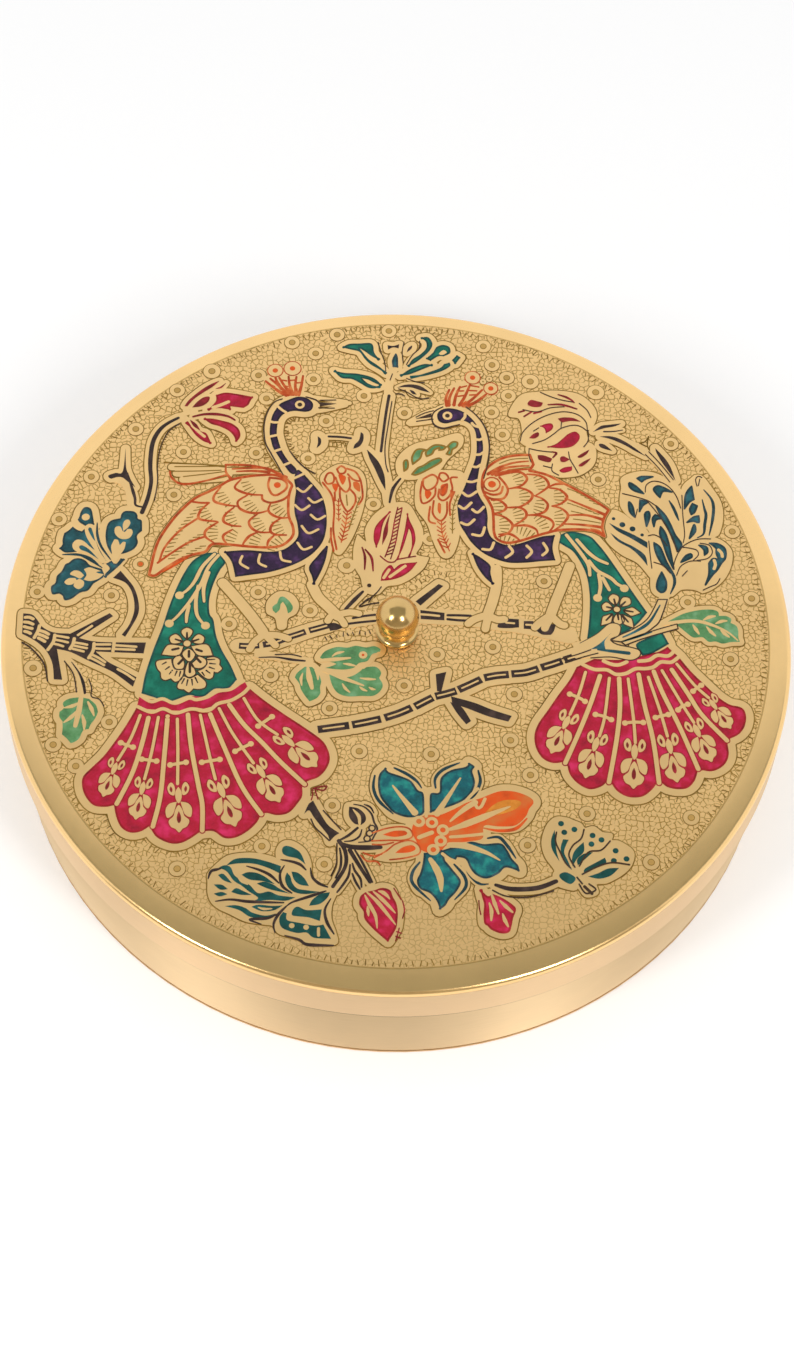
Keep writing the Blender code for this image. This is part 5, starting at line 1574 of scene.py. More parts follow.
class KEEPSAKE_OT_right_spray(bpy.types.Operator):
    """Lays the teal spray at the right of the lid"""
    bl_idname = "keepsake.right_spray"
    bl_label = "Right Spray"

    def execute(self, context):
        spray = Ornament("right_spray", 0.0054)
        for body in (
                "62.8 54, 66 56, 70 56.6, 74 55.4, 77.4 52.6, 79.6 49.5, 80.4 42, 80.6 33, 78.6 28, "
                "77.6 22, 76.6 15.4, 73.6 14.6, 71.2 16.6, 71 22, 71.2 28, 70.4 34, 70.6 36.6, 67 39.6, "
                "64.4 41.6, 62.6 44.4, 62.4 47.6, 62.8 50.6",
                "56.9 40.5, 57.7 41.8, 60.4 43, 63.1 41.8, 65 40.3, 68.1 38.4, 70.3 35.5, 70.9 30.1, "
                "71.3 25.1, 70.8 21|, 67.3 25.6, 62.7 28.3, 58.8 32.2, 57.1 37",
                "80 50.5, 80.8 52.8, 82.7 54.8, 83.8 56|, 85.9 55.8, 88.6 51.8, 90.9 47.4, 91.5 42.4, "
                "90.5 37, 88.8 35.3, 83.1 33, 80.6 32.2, 80.3 37.8, 80.1 45.5",
                "80.6 32.8, 84 35, 88 35.2, 91.4 33.9, 93.7 31, 93.7 27, 92.4 23, 90.4 20, 87.6 17.6, "
                "85.4 16.6|, 83 17.6, 79.4 17.4, 76.6 15.2, 77.8 22, 77.4 27"):
            spray.fill("gold", body, 0.25)
        for drop in (
                "74 22.8|, 75.2 19.7, 75 17, 73.8 16.1, 72.6 17.4, 72.9 20.1",
                "71.9 32.5|, 73.5 31.2, 74.6 28.5, 75.4 26.2, 77 23|, 74.6 25, 73.1 27.4, 72.2 30.1",
                "73.8 38|, 75 36.2, 75.9 33.2, 76.6 29.3, 77.4 24|, 75.8 27.8, 74.6 32, 73.6 35.5",
                "72.6 45|, 75.1 42, 76.6 38.9, 77.9 35.5, 79.7 32.4, 78.8 29.8|, 77.5 33.2, 76.3 36.6, "
                "74.4 40.5",
                "71.9 50.8, 73.1 51.9, 75 51.3, 77.1 50|, 74.6 50.1, 73.7 48|, 72.6 49.3",
                "67.2 54.2|, 68.5 54.9, 71.7 55|, 69.6 54.1, 68.5 53.1|",
                "65 52.6, 66.9 51.4, 69 49.1|, 66.4 49.9, 65 51.2",
                "64.8 46, 65.9 44.4, 66.4 41|, 65 42.8",
                "68 46.8|, 70.2 46.3, 68.8 45, 67.8 42.9|",
                "69.3 42, 70.4 43, 70.7 41.2, 69.8 38|",
                "72.3 42|, 74.4 41, 72.5 40.3, 71.9 38|, 71.5 40.6",
                "82.8 52.2|, 83.2 49.3, 83.4 47.8|, 82.1 46.8, 80.7 44.5|, 80.9 48.2, 81.6 50.5",
                "83 46.3|, 84.3 45.6|, 83.6 43.5, 82.6 42.6|, 82.2 44.3",
                "84.7 42.2|, 84.7 40, 83.2 40.4, 81.4 39.9|, 83.2 41.7",
                "83.4 39.2, 83.7 37, 82 34.5|, 82.6 37",
                "87.7 33.1|, 90 33, 92 31.5, 92.1 28.5, 90.9 26.6, 89.7 24.3, 88.2 22.4, 86.3 19.2|, "
                "87.3 22.6, 87.4 26.4|, 88.6 28, 90.4 27.6|, 89.6 29.6, 89.6 31.4|, 88.6 32.5",
                "84.7 32.3|, 86.7 31.9, 87.1 30.2, 86.2 29.1|, 86 30.9",
                "79.5 26.4|, 80.8 28.5, 82.3 29.3, 82.6 28.3, 81.2 27.3"):
            spray.fill("teal", drop, 0, "slate")
        spray.fill("slate", "59.1 38.6|, 61.5 36, 65.4 33.7, 70 30.6|, 70 32.6|, 66.2 34.9, 62.3 36.8")
        spray.fill("slate", "59.5 35.3|, 61.5 32.6, 65.4 30.2, 68.1 27.4, 70 24.7|, 69.3 28.2, "
                            "66.2 30.8, 62.7 32.7")
        spray.line("slate", (0.3, 0.9, 0.9, 0.3),
                   "86.3 51.2, 88.4 48.2, 89 45.2, 88.6 40.8, 87.6 35.8; 85.8 47.8, 86.4 44.7, "
                   "86.8 42.6, 86.4 39.4, 86 36.2, 84.2 34.8; 76.3 47, 77.6 44.4, 79 40.4; 74.6 25.2, "
                   "77 22.6, 77.6 19.4, 76.4 15.8")
        spray.spots("slate", 0.85, "62.9 38.2, 65.8 36.9")
        spray.spots("slate", 0.5, "60.4 40.1, 68.5 35")
        spray.line("sprig", 0.9, "90.2 31, 91 30, 91.2 28.8; 88.9 27.4, 89.2 26, 88.8 24.6")
        spray.line("ink", 0.3, (
            "69.5 49.6, 69.8 52, 71.6 53.4, 74 53.2, 76.4 51.6, 78.4 48.6, 79.6 44.6; 63 48.8, 67 47.8, "
            "70.4 46.6, 73 44.6; 67.2 43.6, 66.6 40.8; 70 46.6, 72.6 43, 75 39, 77 34.6, 78.4 29.8; "
            "70.3 34.8, 72 35.2, 74 34, 75.6 31.6; 71.8 26, 74.4 25, 76.4 22.6; 77.2 24, 78 27.6, "
            "80 31.6, 84 34.2, 88 34.6; 78.2 22, 79.4 25, 82 26.8, 85 27; 80 31.4, 82 31.2, 84 30.6, "
            "84.4 29, 83 27.2; 84 27.2, 87 28, 88.4 30, 87.6 32.4, 85 33; 71.2 24, 70.8 28, 70.4 33; "
            "84.4 52.4, 84 54.6, 84.8 55.8, 85.8 55.4; 85.2 54.8, 84.8 52.6; 80.2 33, 80.6 36, 80.2 42, "
            "80 49; 79.8 21.8, 81.2 23.6; 85.6 17.4, 87.6 18.6, 89.4 19.6, 90.4 21.4"))
        spray.laid()
        fork = Ornament("right_fork", 0.0288)
        for finger in (
                "59.6 -0.3|, 62.2 1.6, 66 3.8, 70 7.4, 72.9 13.7|, 75.5 13.8|, 73.4 7, 71.6 4.6, "
                "68.3 1.9, 62.4 -0.6|",
                "62.5 -0.6|, 67.7 1.8, 73 4, 78.1 5.9|, 78.4 4.4|, 73.4 2.6, 68.3 0.6, 63.7 -1.6|"):
            outlined(fork, finger)
        fork.fill("sprig", "49 -3.2, 55.6 1.6, 59.4 5.1, 62.4 4.7, 61.8 1.4, 59.4 -0.1|, 61.4 -1.5, "
                           "65.4 -2.3, 67.6 -3.2, 67.4 -5.4, 65.1 -6.4, 59.6 -5.5, 54 -6, 49.6 -6.4")
        fork.line("ink", (0.2, 0.4, 0.2), (
            "51 -1.6, 55.6 1.6, 59 5, 61.4 5.2, 62.4 4, 61.8 1.4, 59.6 0, 61.4 -1.5, 65.4 -2.3, "
            "67.6 -3.2, 67.6 -5, 65.1 -6.4, 59.6 -5.6, 54 -6.2"))
        fork.fill("teal_line", "54 -3.4|, 56.6 -1.4, 59.8 2.2|, 57.9 -0.6, 58.2 -3.6|, 56.2 -3.2")
        fork.line("teal_line", (1.1, 1.0, 0.5), "64.6 -4.2, 60.4 -3.8, 56 -3.4")
        fork.line("teal_line", (0.4, 1.0, 0.4), "63 0.9, 66.6 3, 70.4 6.2, 73.4 11.8")
        fork.line("teal_line", (0.5, 0.7, 0.3), "63.1 -0.4, 67 1.2, 71 2.9")
        fork.line("ink", 0.4, "46 -6.8, 50 -5.4, 54 -3.6; 47 -8, 52 -6, 56 -4.6")
        fork.laid()
        return {"FINISHED"}


class KEEPSAKE_OT_left_spray(bpy.types.Operator):
    """Lays the teal spray, the thorny branch and the leaves at the left of the lid"""
    bl_idname = "keepsake.left_spray"
    bl_label = "Left Spray"

    def execute(self, context):
        spray = Ornament("left_spray", 0.0036)
        spray.fill("teal", "-91.2 35, -90.4 36.6, -89.2 36.8, -88.2 36, -87.5 33.5, -87 31|, -88 30.6, "
                           "-89.2 30.4, -90 30.8|, -91.2 31.6, -91.8 32.4|, -91.4 33.6", 1.9)
        spray.fill("teal", "-93 30|, -91.6 29, -90.3 28.6|, -88.4 30.4, -87 28, -86 25.6, -85 23.2, "
                           "-82.6 19|, -83.4 18|, -85.6 19.6, -88 21.4, -90.4 21.8, -92.8 21.4, "
                           "-94.6 21.4, -96.2 22.6|, -95.4 23.8, -95.5 25.6, -95.2 27.8|, "
                           "-94.2 28.6", 1.9)
        spray.fill("sprig", "-89.6 29.8, -88.6 31.1, -87.2 30.8, -86.4 28.6, -86 25.6, -84.8 22.4, "
                            "-82.2 18.4|, -83.4 18.2|, -84.8 20.6, -87 23.8, -88.8 26.8")
        spray.fill("teal_line", "-88.6 29.4, -87.8 29.9, -87 28, -86.2 25.4|, -87.2 26.6")
        spray.fill("sprig", "-92.5 24.4, -91.4 25.7, -89.6 25.4, -87.6 23.6, -85.2 21.6, -83 18.6|, "
                            "-83.8 18|, -86.4 20, -88.6 21.3, -91 21.7, -92.3 22.8")
        spray.fill("teal_line", "-90.6 23.4, -89.8 23.9, -87.6 22.5, -84.8 19.5|, -88 21.6, -90 22.4")
        spray.fill("teal", "-83.3 31, -82.2 32.7, -79.8 33.5|, -79.5 35.1, -78.5 36, -76.2 36, -75.1 35, "
                           "-74.8 33.6, -73.7 33.1, -73.4 31|, -73.3 29.6|, -74.6 27.9, -74.2 25.6, "
                           "-75 23.6, -76.9 22.2, -78.8 21.5|, -79.6 20|, -80.8 21, -81.6 21.9|, "
                           "-82.8 24.2, -83.5 27.4", 1.9)
        spray.fill("sprig", "-78.6 29.2|, -78.9 31.4, -78.4 32.8, -77.4 33.1, -76.8 32, -77.4 30.4|")
        spray.fill("sprig", "-78.9 29.4|, -79.6 30.7, -80.9 30.4, -81 28.6, -79.8 27, -78.2 26.5, "
                            "-76.6 27.1, -75.9 28.8, -76.4 30, -77.5 29.9|, -78.2 28.9")
        spray.fill("sprig", "-80.9 26.3|, -79.9 26.2, -79.2 24.4|, -78.4 25.6, -77.6 25.5|, -77.8 23.4, "
                            "-78.8 21.2, -79.4 19.4, -80.3 18.3, -81.3 19.6|, -81.2 21.6, -81.6 24")
        spray.fill("teal", "-82.5 18.1|, -81 19.2, -79.8 18.2, -78.6 20.1|, -77.4 19.9|, -78.6 18, "
                           "-80.4 15.8, -82.5 13.5|, -82.5 14.8, -81.4 16.6", 0.8)
        spray.fill("teal", "-90.2 19.6, -91.9 19.2, -93.1 17.9|, -94 17.4, -94.8 15.1, -96 13.4, "
                           "-96.2 11.2, -97.3 9.8, -96.7 7.4, -94.8 7.7, -93.7 6.9|, -93.1 5.6, "
                           "-91.2 6.2, -89 8.3, -86.9 9.1, -85.6 11.4|, -83 13.6, -82.8 14.6|, "
                           "-83.6 16.4|, -86.9 17.4, -88.4 18.9", 1.9)
        spray.fill("sprig", "-92.4 14.2, -91.4 15.4, -89.8 15.3, -88.4 14|, -89.4 12.9, -91 13.6")
        spray.fill("sprig", "-93.7 11.6, -92.6 12.8, -90.8 13|, -90.4 12.2, -91.4 10.9, -92.9 10.7")
        spray.fill("sprig", "-89.6 12.8|, -88.3 12, -88.3 10.4, -89.6 9.4, -91 10.4, -90.6 12.2|")
        spray.fill("sprig", "-88.6 16|, -87.2 16.7, -85.4 16.2, -83.8 15.6|, -85.2 15.2, -84.6 14.9, "
                            "-82.9 14.6|, -84.4 13, -86.6 12.2, -88.4 12.6|, -87.7 14.2")
        spray.spots("sprig", 1.15, "-89.6 33.4")
        spray.spots("ember", 0.5, "-89.3 33.5")
        spray.line("slate", (0.3, 0.8, 0.7, 0.3),
                   "-86.2 31.6, -85.8 27.6, -84.4 23.8, -81.4 19.6; -95 20.6, -91 20.8, -87.4 19.9, "
                   "-84.8 17.9; -92.6 21, -89.8 20.6, -86.6 18.8, -83.6 16.8")
        spray.fill("black", "-80.2 13.6|, -78.3 16|, -76.3 13.6, -74.3 11, -73 8, -72.2 4.4, -72.4 1.6, "
                            "-73.6 -1.6, -75.3 -5.4|, -76.3 -4.8|, -74.6 -1.8, -73.6 1.8, -73.5 4.4, "
                            "-74 7.4, -75.2 10.4, -77 12.4", 1.7)
        inner = smooth_path(read_points("-77.4 11.2, -75.8 8.4, -74.8 5, -75 1.6, -76.4 -1.8, "
                                        "-77.4 -3.6"), False)
        spray.ticks(inner, 0.3, 1.1, 1.0, "edge", False)
        spray.line("black", (0.4, 1.0, 0.5), "-79 49, -77.6 44.8, -76.2 40.6, -75.8 38.2, -73.8 37.6", 1.2)
        spray.line("gold", 1.5, "-83.6 46.4, -80.4 45.6, -78.4 42.6, -77.7 38.6", 0.3)
        spray.line("ink", 0.45, "-103.6 -8.6, -101.2 -10.1, -98 -13.5, -96.5 -16.2, -95.5 -20.4")
        hatch = smooth_path(read_points("-101.2 -10.1, -98 -13.5, -96.5 -16.2, -95.6 -19.6"), False)
        spray.ticks(hatch[::-1], 0.2, -1.5, 0.9, "edge", False)
        spray.fill("black", (
            "-104.2 0.8|, -101.7 0.5, -100.2 -1, -98.5 -3.3, -95.4 -4.9, -91.2 -5.1, -89.6 -4.5, "
            "-80.2 2|, -79.2 1.1|, -83.1 -2.2, -88 -6.4|, -84.6 -7.2, -80 -7.4, -69.4 -7|, -69.8 -10.5|, "
            "-80 -10.5, -83.1 -10.5|, -79.6 -13.5, -75.4 -15.8, -71.2 -18.2|, -71.9 -21.2|, -76.9 -17.4, "
            "-80 -15.7, -85 -13.4, -90 -11, -93.8 -10.2|, -91.5 -19.9|, -93.8 -19.9|, -94.6 -15.1, "
            "-96.5 -11.2, -99.2 -8.5, -101.9 -6.8, -103.9 -5.8|"), 1.6)
        spray.line("sprig", 0.95, (
            "-103.5 -0.5, -102.4 -0.4, -101.3 -0.9; -103.6 -2, -102.4 -2.1, -101.2 -2.6; -103.5 -3.5, "
            "-102.4 -3.8, -101.3 -4; -103.2 -5, -102.4 -5.2, -101.6 -5.6; -99.3 -3, -99.6 -4.8, "
            "-100.4 -6.9; -98.9 -4.6, -97.6 -5, -96.6 -5.6; -99.2 -5.8, -98 -6.2, -96.8 -6.8; -99.2 -7, "
            "-98.2 -7.5, -97.4 -8; -94.8 -5.8, -95 -8, -96.3 -10.6; -89.3 -6.7, -89.5 -8.4, -90.2 -10; "
            "-83.7 -8, -83.8 -10.4, -84.8 -12.7; -78.2 -7.5, -78.2 -8.8, -78.3 -10.2"))
        spray.line("sprig", 0.75, (
            "-94.6 -6, -92.8 -6.2, -91 -6.5; -94.6 -7.3, -92.8 -7.6, -91 -8; -94.8 -8.6, -93.4 -8.9, "
            "-92.2 -9.3; -88.8 -8, -87.2 -8.2, -85.6 -8.5; -89 -9, -87.4 -9.3, -85.6 -9.6; -89.4 -10, "
            "-88 -10.3, -86.4 -10.7; -83.4 -8.3, -81.4 -8.2, -79.2 -8.1; -83 -9.6, -81.2 -9.6, "
            "-79.2 -9.5; -84 -11.6, -82 -12.6, -80.2 -13.8; -84.4 -12.6, -82.2 -13.7, -80.4 -14.8; "
            "-77.6 -8.3, -75 -8.4, -72 -8.5; -77.6 -9.5, -75 -9.5, -72.4 -9.5; -88.4 -5.5, -86.6 -4, "
            "-84.8 -2.4; -76.5 -15.9, -74 -17.3, -71.8 -18.9"))
        leaf = spray.fill("leaf_green", (
            "-90.6 -27.2, -89 -25.8, -86 -25.2|, -83.6 -25.6|, -81.6 -27.4, -80.8 -29.6|, -81.4 -31.6, "
            "-82.4 -33.4, -82.9 -35|, -84.2 -35.4, -84.8 -36.6|, -85.2 -38, -86.4 -39.2, -87.4 -39.6|, "
            "-88.6 -38.2, -90 -37|, -90 -35, -90.2 -33|, -91.2 -31.6, -91.3 -30|, -90.2 -28.8"), 1.7)
        spray.line("sprig", (1.2, 1.6, 1.2), "-85.8 -24.9, -86 -29, -86.6 -34.2")
        spray.line("sprig", (0.5, 1.2, 0.4),
                   "-86.4 -29.4, -88 -31.6, -89.8 -33.3; -86.2 -27, -88 -28.1, -90 -28.7; -83.8 -26.6, "
                   "-82.7 -28.6, -81.8 -30.8; -85 -30.8, -84.3 -33, -84.1 -35.3")
        spray.line("gold", 2.0, "-91.4 -12.8, -89 -15, -86.8 -19, -85.8 -24.6", 0.3)
        spray.line("black", (0.2, 0.5, 0.9, 0.7), "-89.4 -14.2, -87 -17.6, -85.6 -20.8, -84.9 -23.8")
        spray.line("ink", 0.35, "-84.2 -19.4, -83.2 -22, -83 -24.8, -80.8 -25.6, -79.4 -27.6; -91.4 -14, "
                                "-88.6 -18, -87.2 -23.6")
        spray.ticks(leaf, 2.0, 1.0, 1.3)
        spray.laid()
        return {"FINISHED"}


class KEEPSAKE_OT_middle_leaf(bpy.types.Operator):
    """Lays the three-part leaf under the middle branch"""
    bl_idname = "keepsake.middle_leaf"
    bl_label = "Middle Leaf"

    def execute(self, context):
        leaf = Ornament("middle_leaf", 0.0036)
        for blade in (
                "-25 -12.7|, -27 -14.7, -27.6 -16.2|, -26.2 -18.2, -25.8 -19.7, -24.7 -21.6, "
                "-23.2 -23.6|, -21.2 -22.4, -20.3 -20.8|, -20.5 -18.9, -20.3 -17, -21.2 -14.7, "
                "-23 -12.7|",
                "-21 -9.6|, -19.7 -7.5, -16.6 -6, -13.5 -6, -11.2 -5.3, -8.5 -5.7, -6 -5.2, -4.3 -6.2, "
                "-4.8 -7.2|, -6.6 -7.8, -7.8 -10, -10.1 -10.8, -11.6 -12.4, -14.7 -13.1, -19.3 -12.8|, "
                "-16.4 -11.4, -19 -10.6|",
                "-18.2 -14.5|, -14.4 -15.6, -11.8 -15, -9.7 -13.4, -8.5 -12.2, -5.5 -11.8, -3.9 -13.5, "
                "-4.4 -15.3|, -3.3 -17.4, -3.9 -19.4, -5.8 -21, -8.9 -21.2, -12.8 -21.5, -15.5 -20.6, "
                "-17 -18.6, -17.8 -16.4"):
            leaf.fill("leaf_green", blade, 1.6)
        leaf.line("sprig", (0.6, 1.7, 1.0), "-24.2 -12.6, -23.7 -15.8, -22.7 -19.4")
        leaf.line("ember", (0.2, 0.7, 0.3), "-23.8 -14.4, -23.4 -16.4, -22.9 -18.4")
        leaf.line("sprig", (0.3, 0.9, 0.4),
                  "-25.5 -14.8, -25.9 -16.6, -25.6 -18.6; -22.2 -13.6, -21.4 -15, -21.2 -16.6; -17.6 -9, "
                  "-16.4 -8, -14.5 -7.4; -14.4 -11.2, -12.8 -11.4, -11 -11.8; -9.6 -15.6, -7.6 -15.8, "
                  "-5.4 -15.8; -9.6 -18.4, -8.6 -19.2, -7.6 -19.6; -14.4 -17.6, -13.6 -19, -12.3 -20.2; "
                  "-7 -18.4, -6.2 -18.9, -5.4 -19")
        leaf.line("sprig", (0.9, 1.3, 0.5),
                  "-21.4 -10.6, -17 -10, -12.6 -9.3; -19.8 -13.5, -14.4 -15.8, -8.6 -17.9; -4.8 -7.4, "
                  "-6.6 -9.6, -8.8 -12.4")
        leaf.spots("sprig", 1.2, "-9.1 -8.2")
        leaf.spots("orange_spot", 0.4, "-9.1 -8.2")
        leaf.line("gold", 2.6, "-24 -11, -28.5 -10.3, -33 -9.7, -38 -9.4", 0.3)
        leaf.line("black", (0.3, 0.4, 0.8, 0.5), "-37.8 -10.3, -33.2 -10, -28.5 -10.6, -25.1 -10.8")
        leaf.line("ink", 0.35, "-33.4 -9.2, -29.3 -8.9, -26.2 -9.5")
        rough = smooth_path(read_points("-6.2 -1.2, -12 -1.9, -17 -3, -21 -4.6"), False)
        leaf.ticks(rough, 0.1, 1.3, 1.4, "ink", False)
        leaf.laid()
        return {"FINISHED"}


class KEEPSAKE_OT_bottom_flowers(bpy.types.Operator):
    """Lays the many-coloured flower, the fern, the twigs and leaves near the front edge"""
    bl_idname = "keepsake.bottom_flowers"
    bl_label = "Front Flowers"

    def execute(self, context):
        bloom = Ornament("front_bloom", 0.0072)
        for petal in (
                "-1.5 -43.2|, -0.7 -44.5, 2.8 -45.7, 5.5 -47, 7.4 -49.7, 9 -50.8, 9.4 -56.2|, 8.5 -57.3, "
                "5.1 -58.1, 1.4 -57, -0.7 -55, -2.6 -52.3, -3.4 -49, -3.2 -45.4",
                "21 -40.7|, 22.6 -41.8, 22 -43.2, 22.8 -46.6, 22 -49.7, 20.1 -52, 17 -53.9, 10.9 -56.4|, "
                "10.8 -50.8, 13.2 -50.1, 13.5 -45.8, 16.2 -43.2, 20.1 -42",
                "13.9 -67.8|, 16.2 -66.9, 20.1 -65.4, 22.4 -64.6, 25.5 -65.2, 30.1 -64.8, 32 -66.9, "
                "33.2 -69.2, 34.9 -71.2, 35.2 -72.9|, 31.6 -71.9, 29.7 -73.8, 26.6 -75.4, 23.9 -74.6, "
                "22.2 -72.7, 20.8 -69.9, 18.6 -69.4|, 17.8 -70.9|",
                "9.6 -68.6|, 14 -68, 15.4 -70.6|, 17.6 -73.4, 19.7 -76.5, 18.6 -79.6, 16.8 -81.9, "
                "15.8 -83.8, 14.3 -85.1|, 13.5 -82.7, 11.6 -80.4, 8.9 -79.2, 8 -76.9, 8.8 -74.6, "
                "9.4 -71.6"):
            bloom.fill("blue", petal, 2.0)
        bloom.fill("orange", (
            "6.2 -62, 7 -59.4, 9.7 -57.2, 13.5 -57, 17.4 -55, 20.6 -53, 24.9 -51.2, 27 -50.1, 29.8 -49, "
            "33 -48.9, 36 -49.7, 38.2 -50.9, 38.7 -52.2, 37.6 -54, 36.6 -56.5, 33.9 -59.2, 29.7 -59.7, "
            "25.6 -59.7, 25.2 -63.4, 22 -64.5, 16.2 -65.6, 13.6 -68.2, 9.4 -68, 7.4 -65"), 2.0)
        bloom.fill("honey", "25 -56.8|, 27.6 -53.6, 30.6 -51.8, 34.4 -51.6, 35.4 -52.6, 33.4 -54.6, "
                            "29.4 -56.2")
        bloom.line("sprig", (0.9, 1.9, 1.9, 0.4), "16.4 -61.2, 19.4 -60, 24.4 -57.6, 32.4 -53.6")
        bloom.line("sprig", (0.5, 1.1, 1.5, 1.6), "16.4 -58.8, 18.4 -56.6, 21 -54.2, 23 -52.8")
        bloom.line("sprig", 0.9, "16.6 -63.5, 20.6 -63, 25.4 -62.2; 23 -53.2, 23.6 -54.4, 24.6 -54, "
                                 "25.6 -51.6; 20.2 -52.8, 22 -50.4, 23.6 -48.6; 10 -50.8, 10 -54, "
                                 "9.9 -57.6; 14.6 -68.6, 16.4 -70, 18.4 -70.8; 20.2 -70.8, 22 -74, "
                                 "24.4 -76, 28 -76.2")
        bloom.line("sprig", (0.5, 1.2, 1.9),
                   "18.8 -45.6, 15.6 -51.5, 12.8 -56.6; 0.6 -48.7, 3.6 -52.6, 6.8 -56.6")
        bloom.line("sprig", (1.6, 1.9, 1.2, 0.4), "16.4 -65.9, 20.6 -66, 26.2 -67.7, 29.9 -69.8")
        bloom.line("sprig", (1.2, 1.9, 1.8, 0.7), "11.4 -70.4, 13 -73, 14.2 -76, 14.6 -79.6")
        bloom.line("gold", 1.6, "25.6 -60.8, 29.8 -60.6, 34.4 -59.8, 36.6 -57.2", 0.3)
        bloom.line("orange", (0.3, 0.9, 1.0, 0.4), "25.4 -60.4, 29.6 -61, 34 -60.2, 37 -57")
        bloom.line("slate", (0.5, 0.9, 0.9, 0.3),
                   "26.6 -63.4, 29.6 -63, 32 -65.6, 34.2 -69; 8.6 -71.4, 6.8 -74.4, 7 -77.8, 11.8 -82.6; "
                   "17.8 -71.6, 20.6 -75, 21 -78.2, 18.2 -82; 20.6 -71.2, 22 -74.4, 24.6 -77, 27 -77; "
                   "-4.4 -45.8, -4.6 -49.6, -3 -53.4, 1 -57.2; 0.8 -43.2, 4.4 -45, 7 -47, 8.4 -49; "
                   "12.2 -48.8, 12 -46, 14 -43.2, 18.5 -40.8; 23.6 -43, 24.2 -46.6, 22.4 -51, "
                   "20.6 -51.8", 1.0)
        for across, up in ((8.0, -59.2), (11.5, -59.4), (14.5, -61.5), (14.0, -64.8), (12.1, -67.5)):
            bloom.sheet("sprig").disc(across, up, 1.7, 20)
            bloom.sheet("orange_spot").disc(across, up, 0.75, 14)
        bloom.line("sprig", 1.2, "8.2 -64, 9.8 -63.2, 11.6 -62.4")
        bloom.fill("gold", "-4.6 -63|, -2 -61.4, 1 -60.6, 4.8 -60.8, 6.4 -63, 8.4 -65.6, 8.8 -68.4, "
                           "6 -70.4, 0.6 -71.4, -3.6 -70.8|, -2.6 -68, -4 -66", 0.3)
        bloom.fill("orange", "-1.5 -63.6|, 1.2 -62.4, 4.3 -62.2, 4.8 -63.3, 1.6 -64.1")
        bloom.fill("orange", "2 -68.9|, 4 -67.1, 6.4 -66.4, 7.4 -67.5, 5.5 -68.6")
        bloom.line("ember", 0.3, "-4.6 -63.4, -1 -61.8, 3 -61, 5.6 -61.6, 6.4 -63.8, 4 -65, 0 -65.2, "
                                 "-4.4 -65.6; -3.6 -70.6, -0.4 -68.4, 2 -66.2, 5.6 -65, 8.2 -66.4, "
                                 "8.4 -68.8, 5 -70.2, 0.6 -71; -4.2 -66.6, -1.4 -66.6, 1.4 -65.8; "
                                 "-7.2 -70, -5.6 -71.6, -3 -71.6, -2 -72.6; -6.6 -69.2, -4 -70, "
                                 "-1.6 -69.4")
        bloom.laid()
        fern = Ornament("fern", 0.0108)
        fern.fill("gold", (
            "-45.6 -74.8, -43 -72.2, -40 -71.2, -35.6 -70.8, -31 -71.6, -29.4 -72.4|, -29.6 -69.4, "
            "-28.4 -67.2, -26.4 -66.6, -24 -67.6, -22 -69.4, -20.6 -72.6, -20.2 -76, -19.2 -78.4, "
            "-17 -79.4, -12.8 -80, -13.4 -82, -14.4 -85, -14.4 -89, -13 -93, -12.6 -96, -16.6 -96.5, "
            "-20.4 -96.2, -23 -95, -27.6 -93.8, -29.4 -91.6, -32 -91.2, -36.6 -90.6, -41 -88.6, "
            "-44 -87.2, -46 -85.4, -47 -82.8, -47.2 -79.8, -47.4 -77.4"), 0.3)
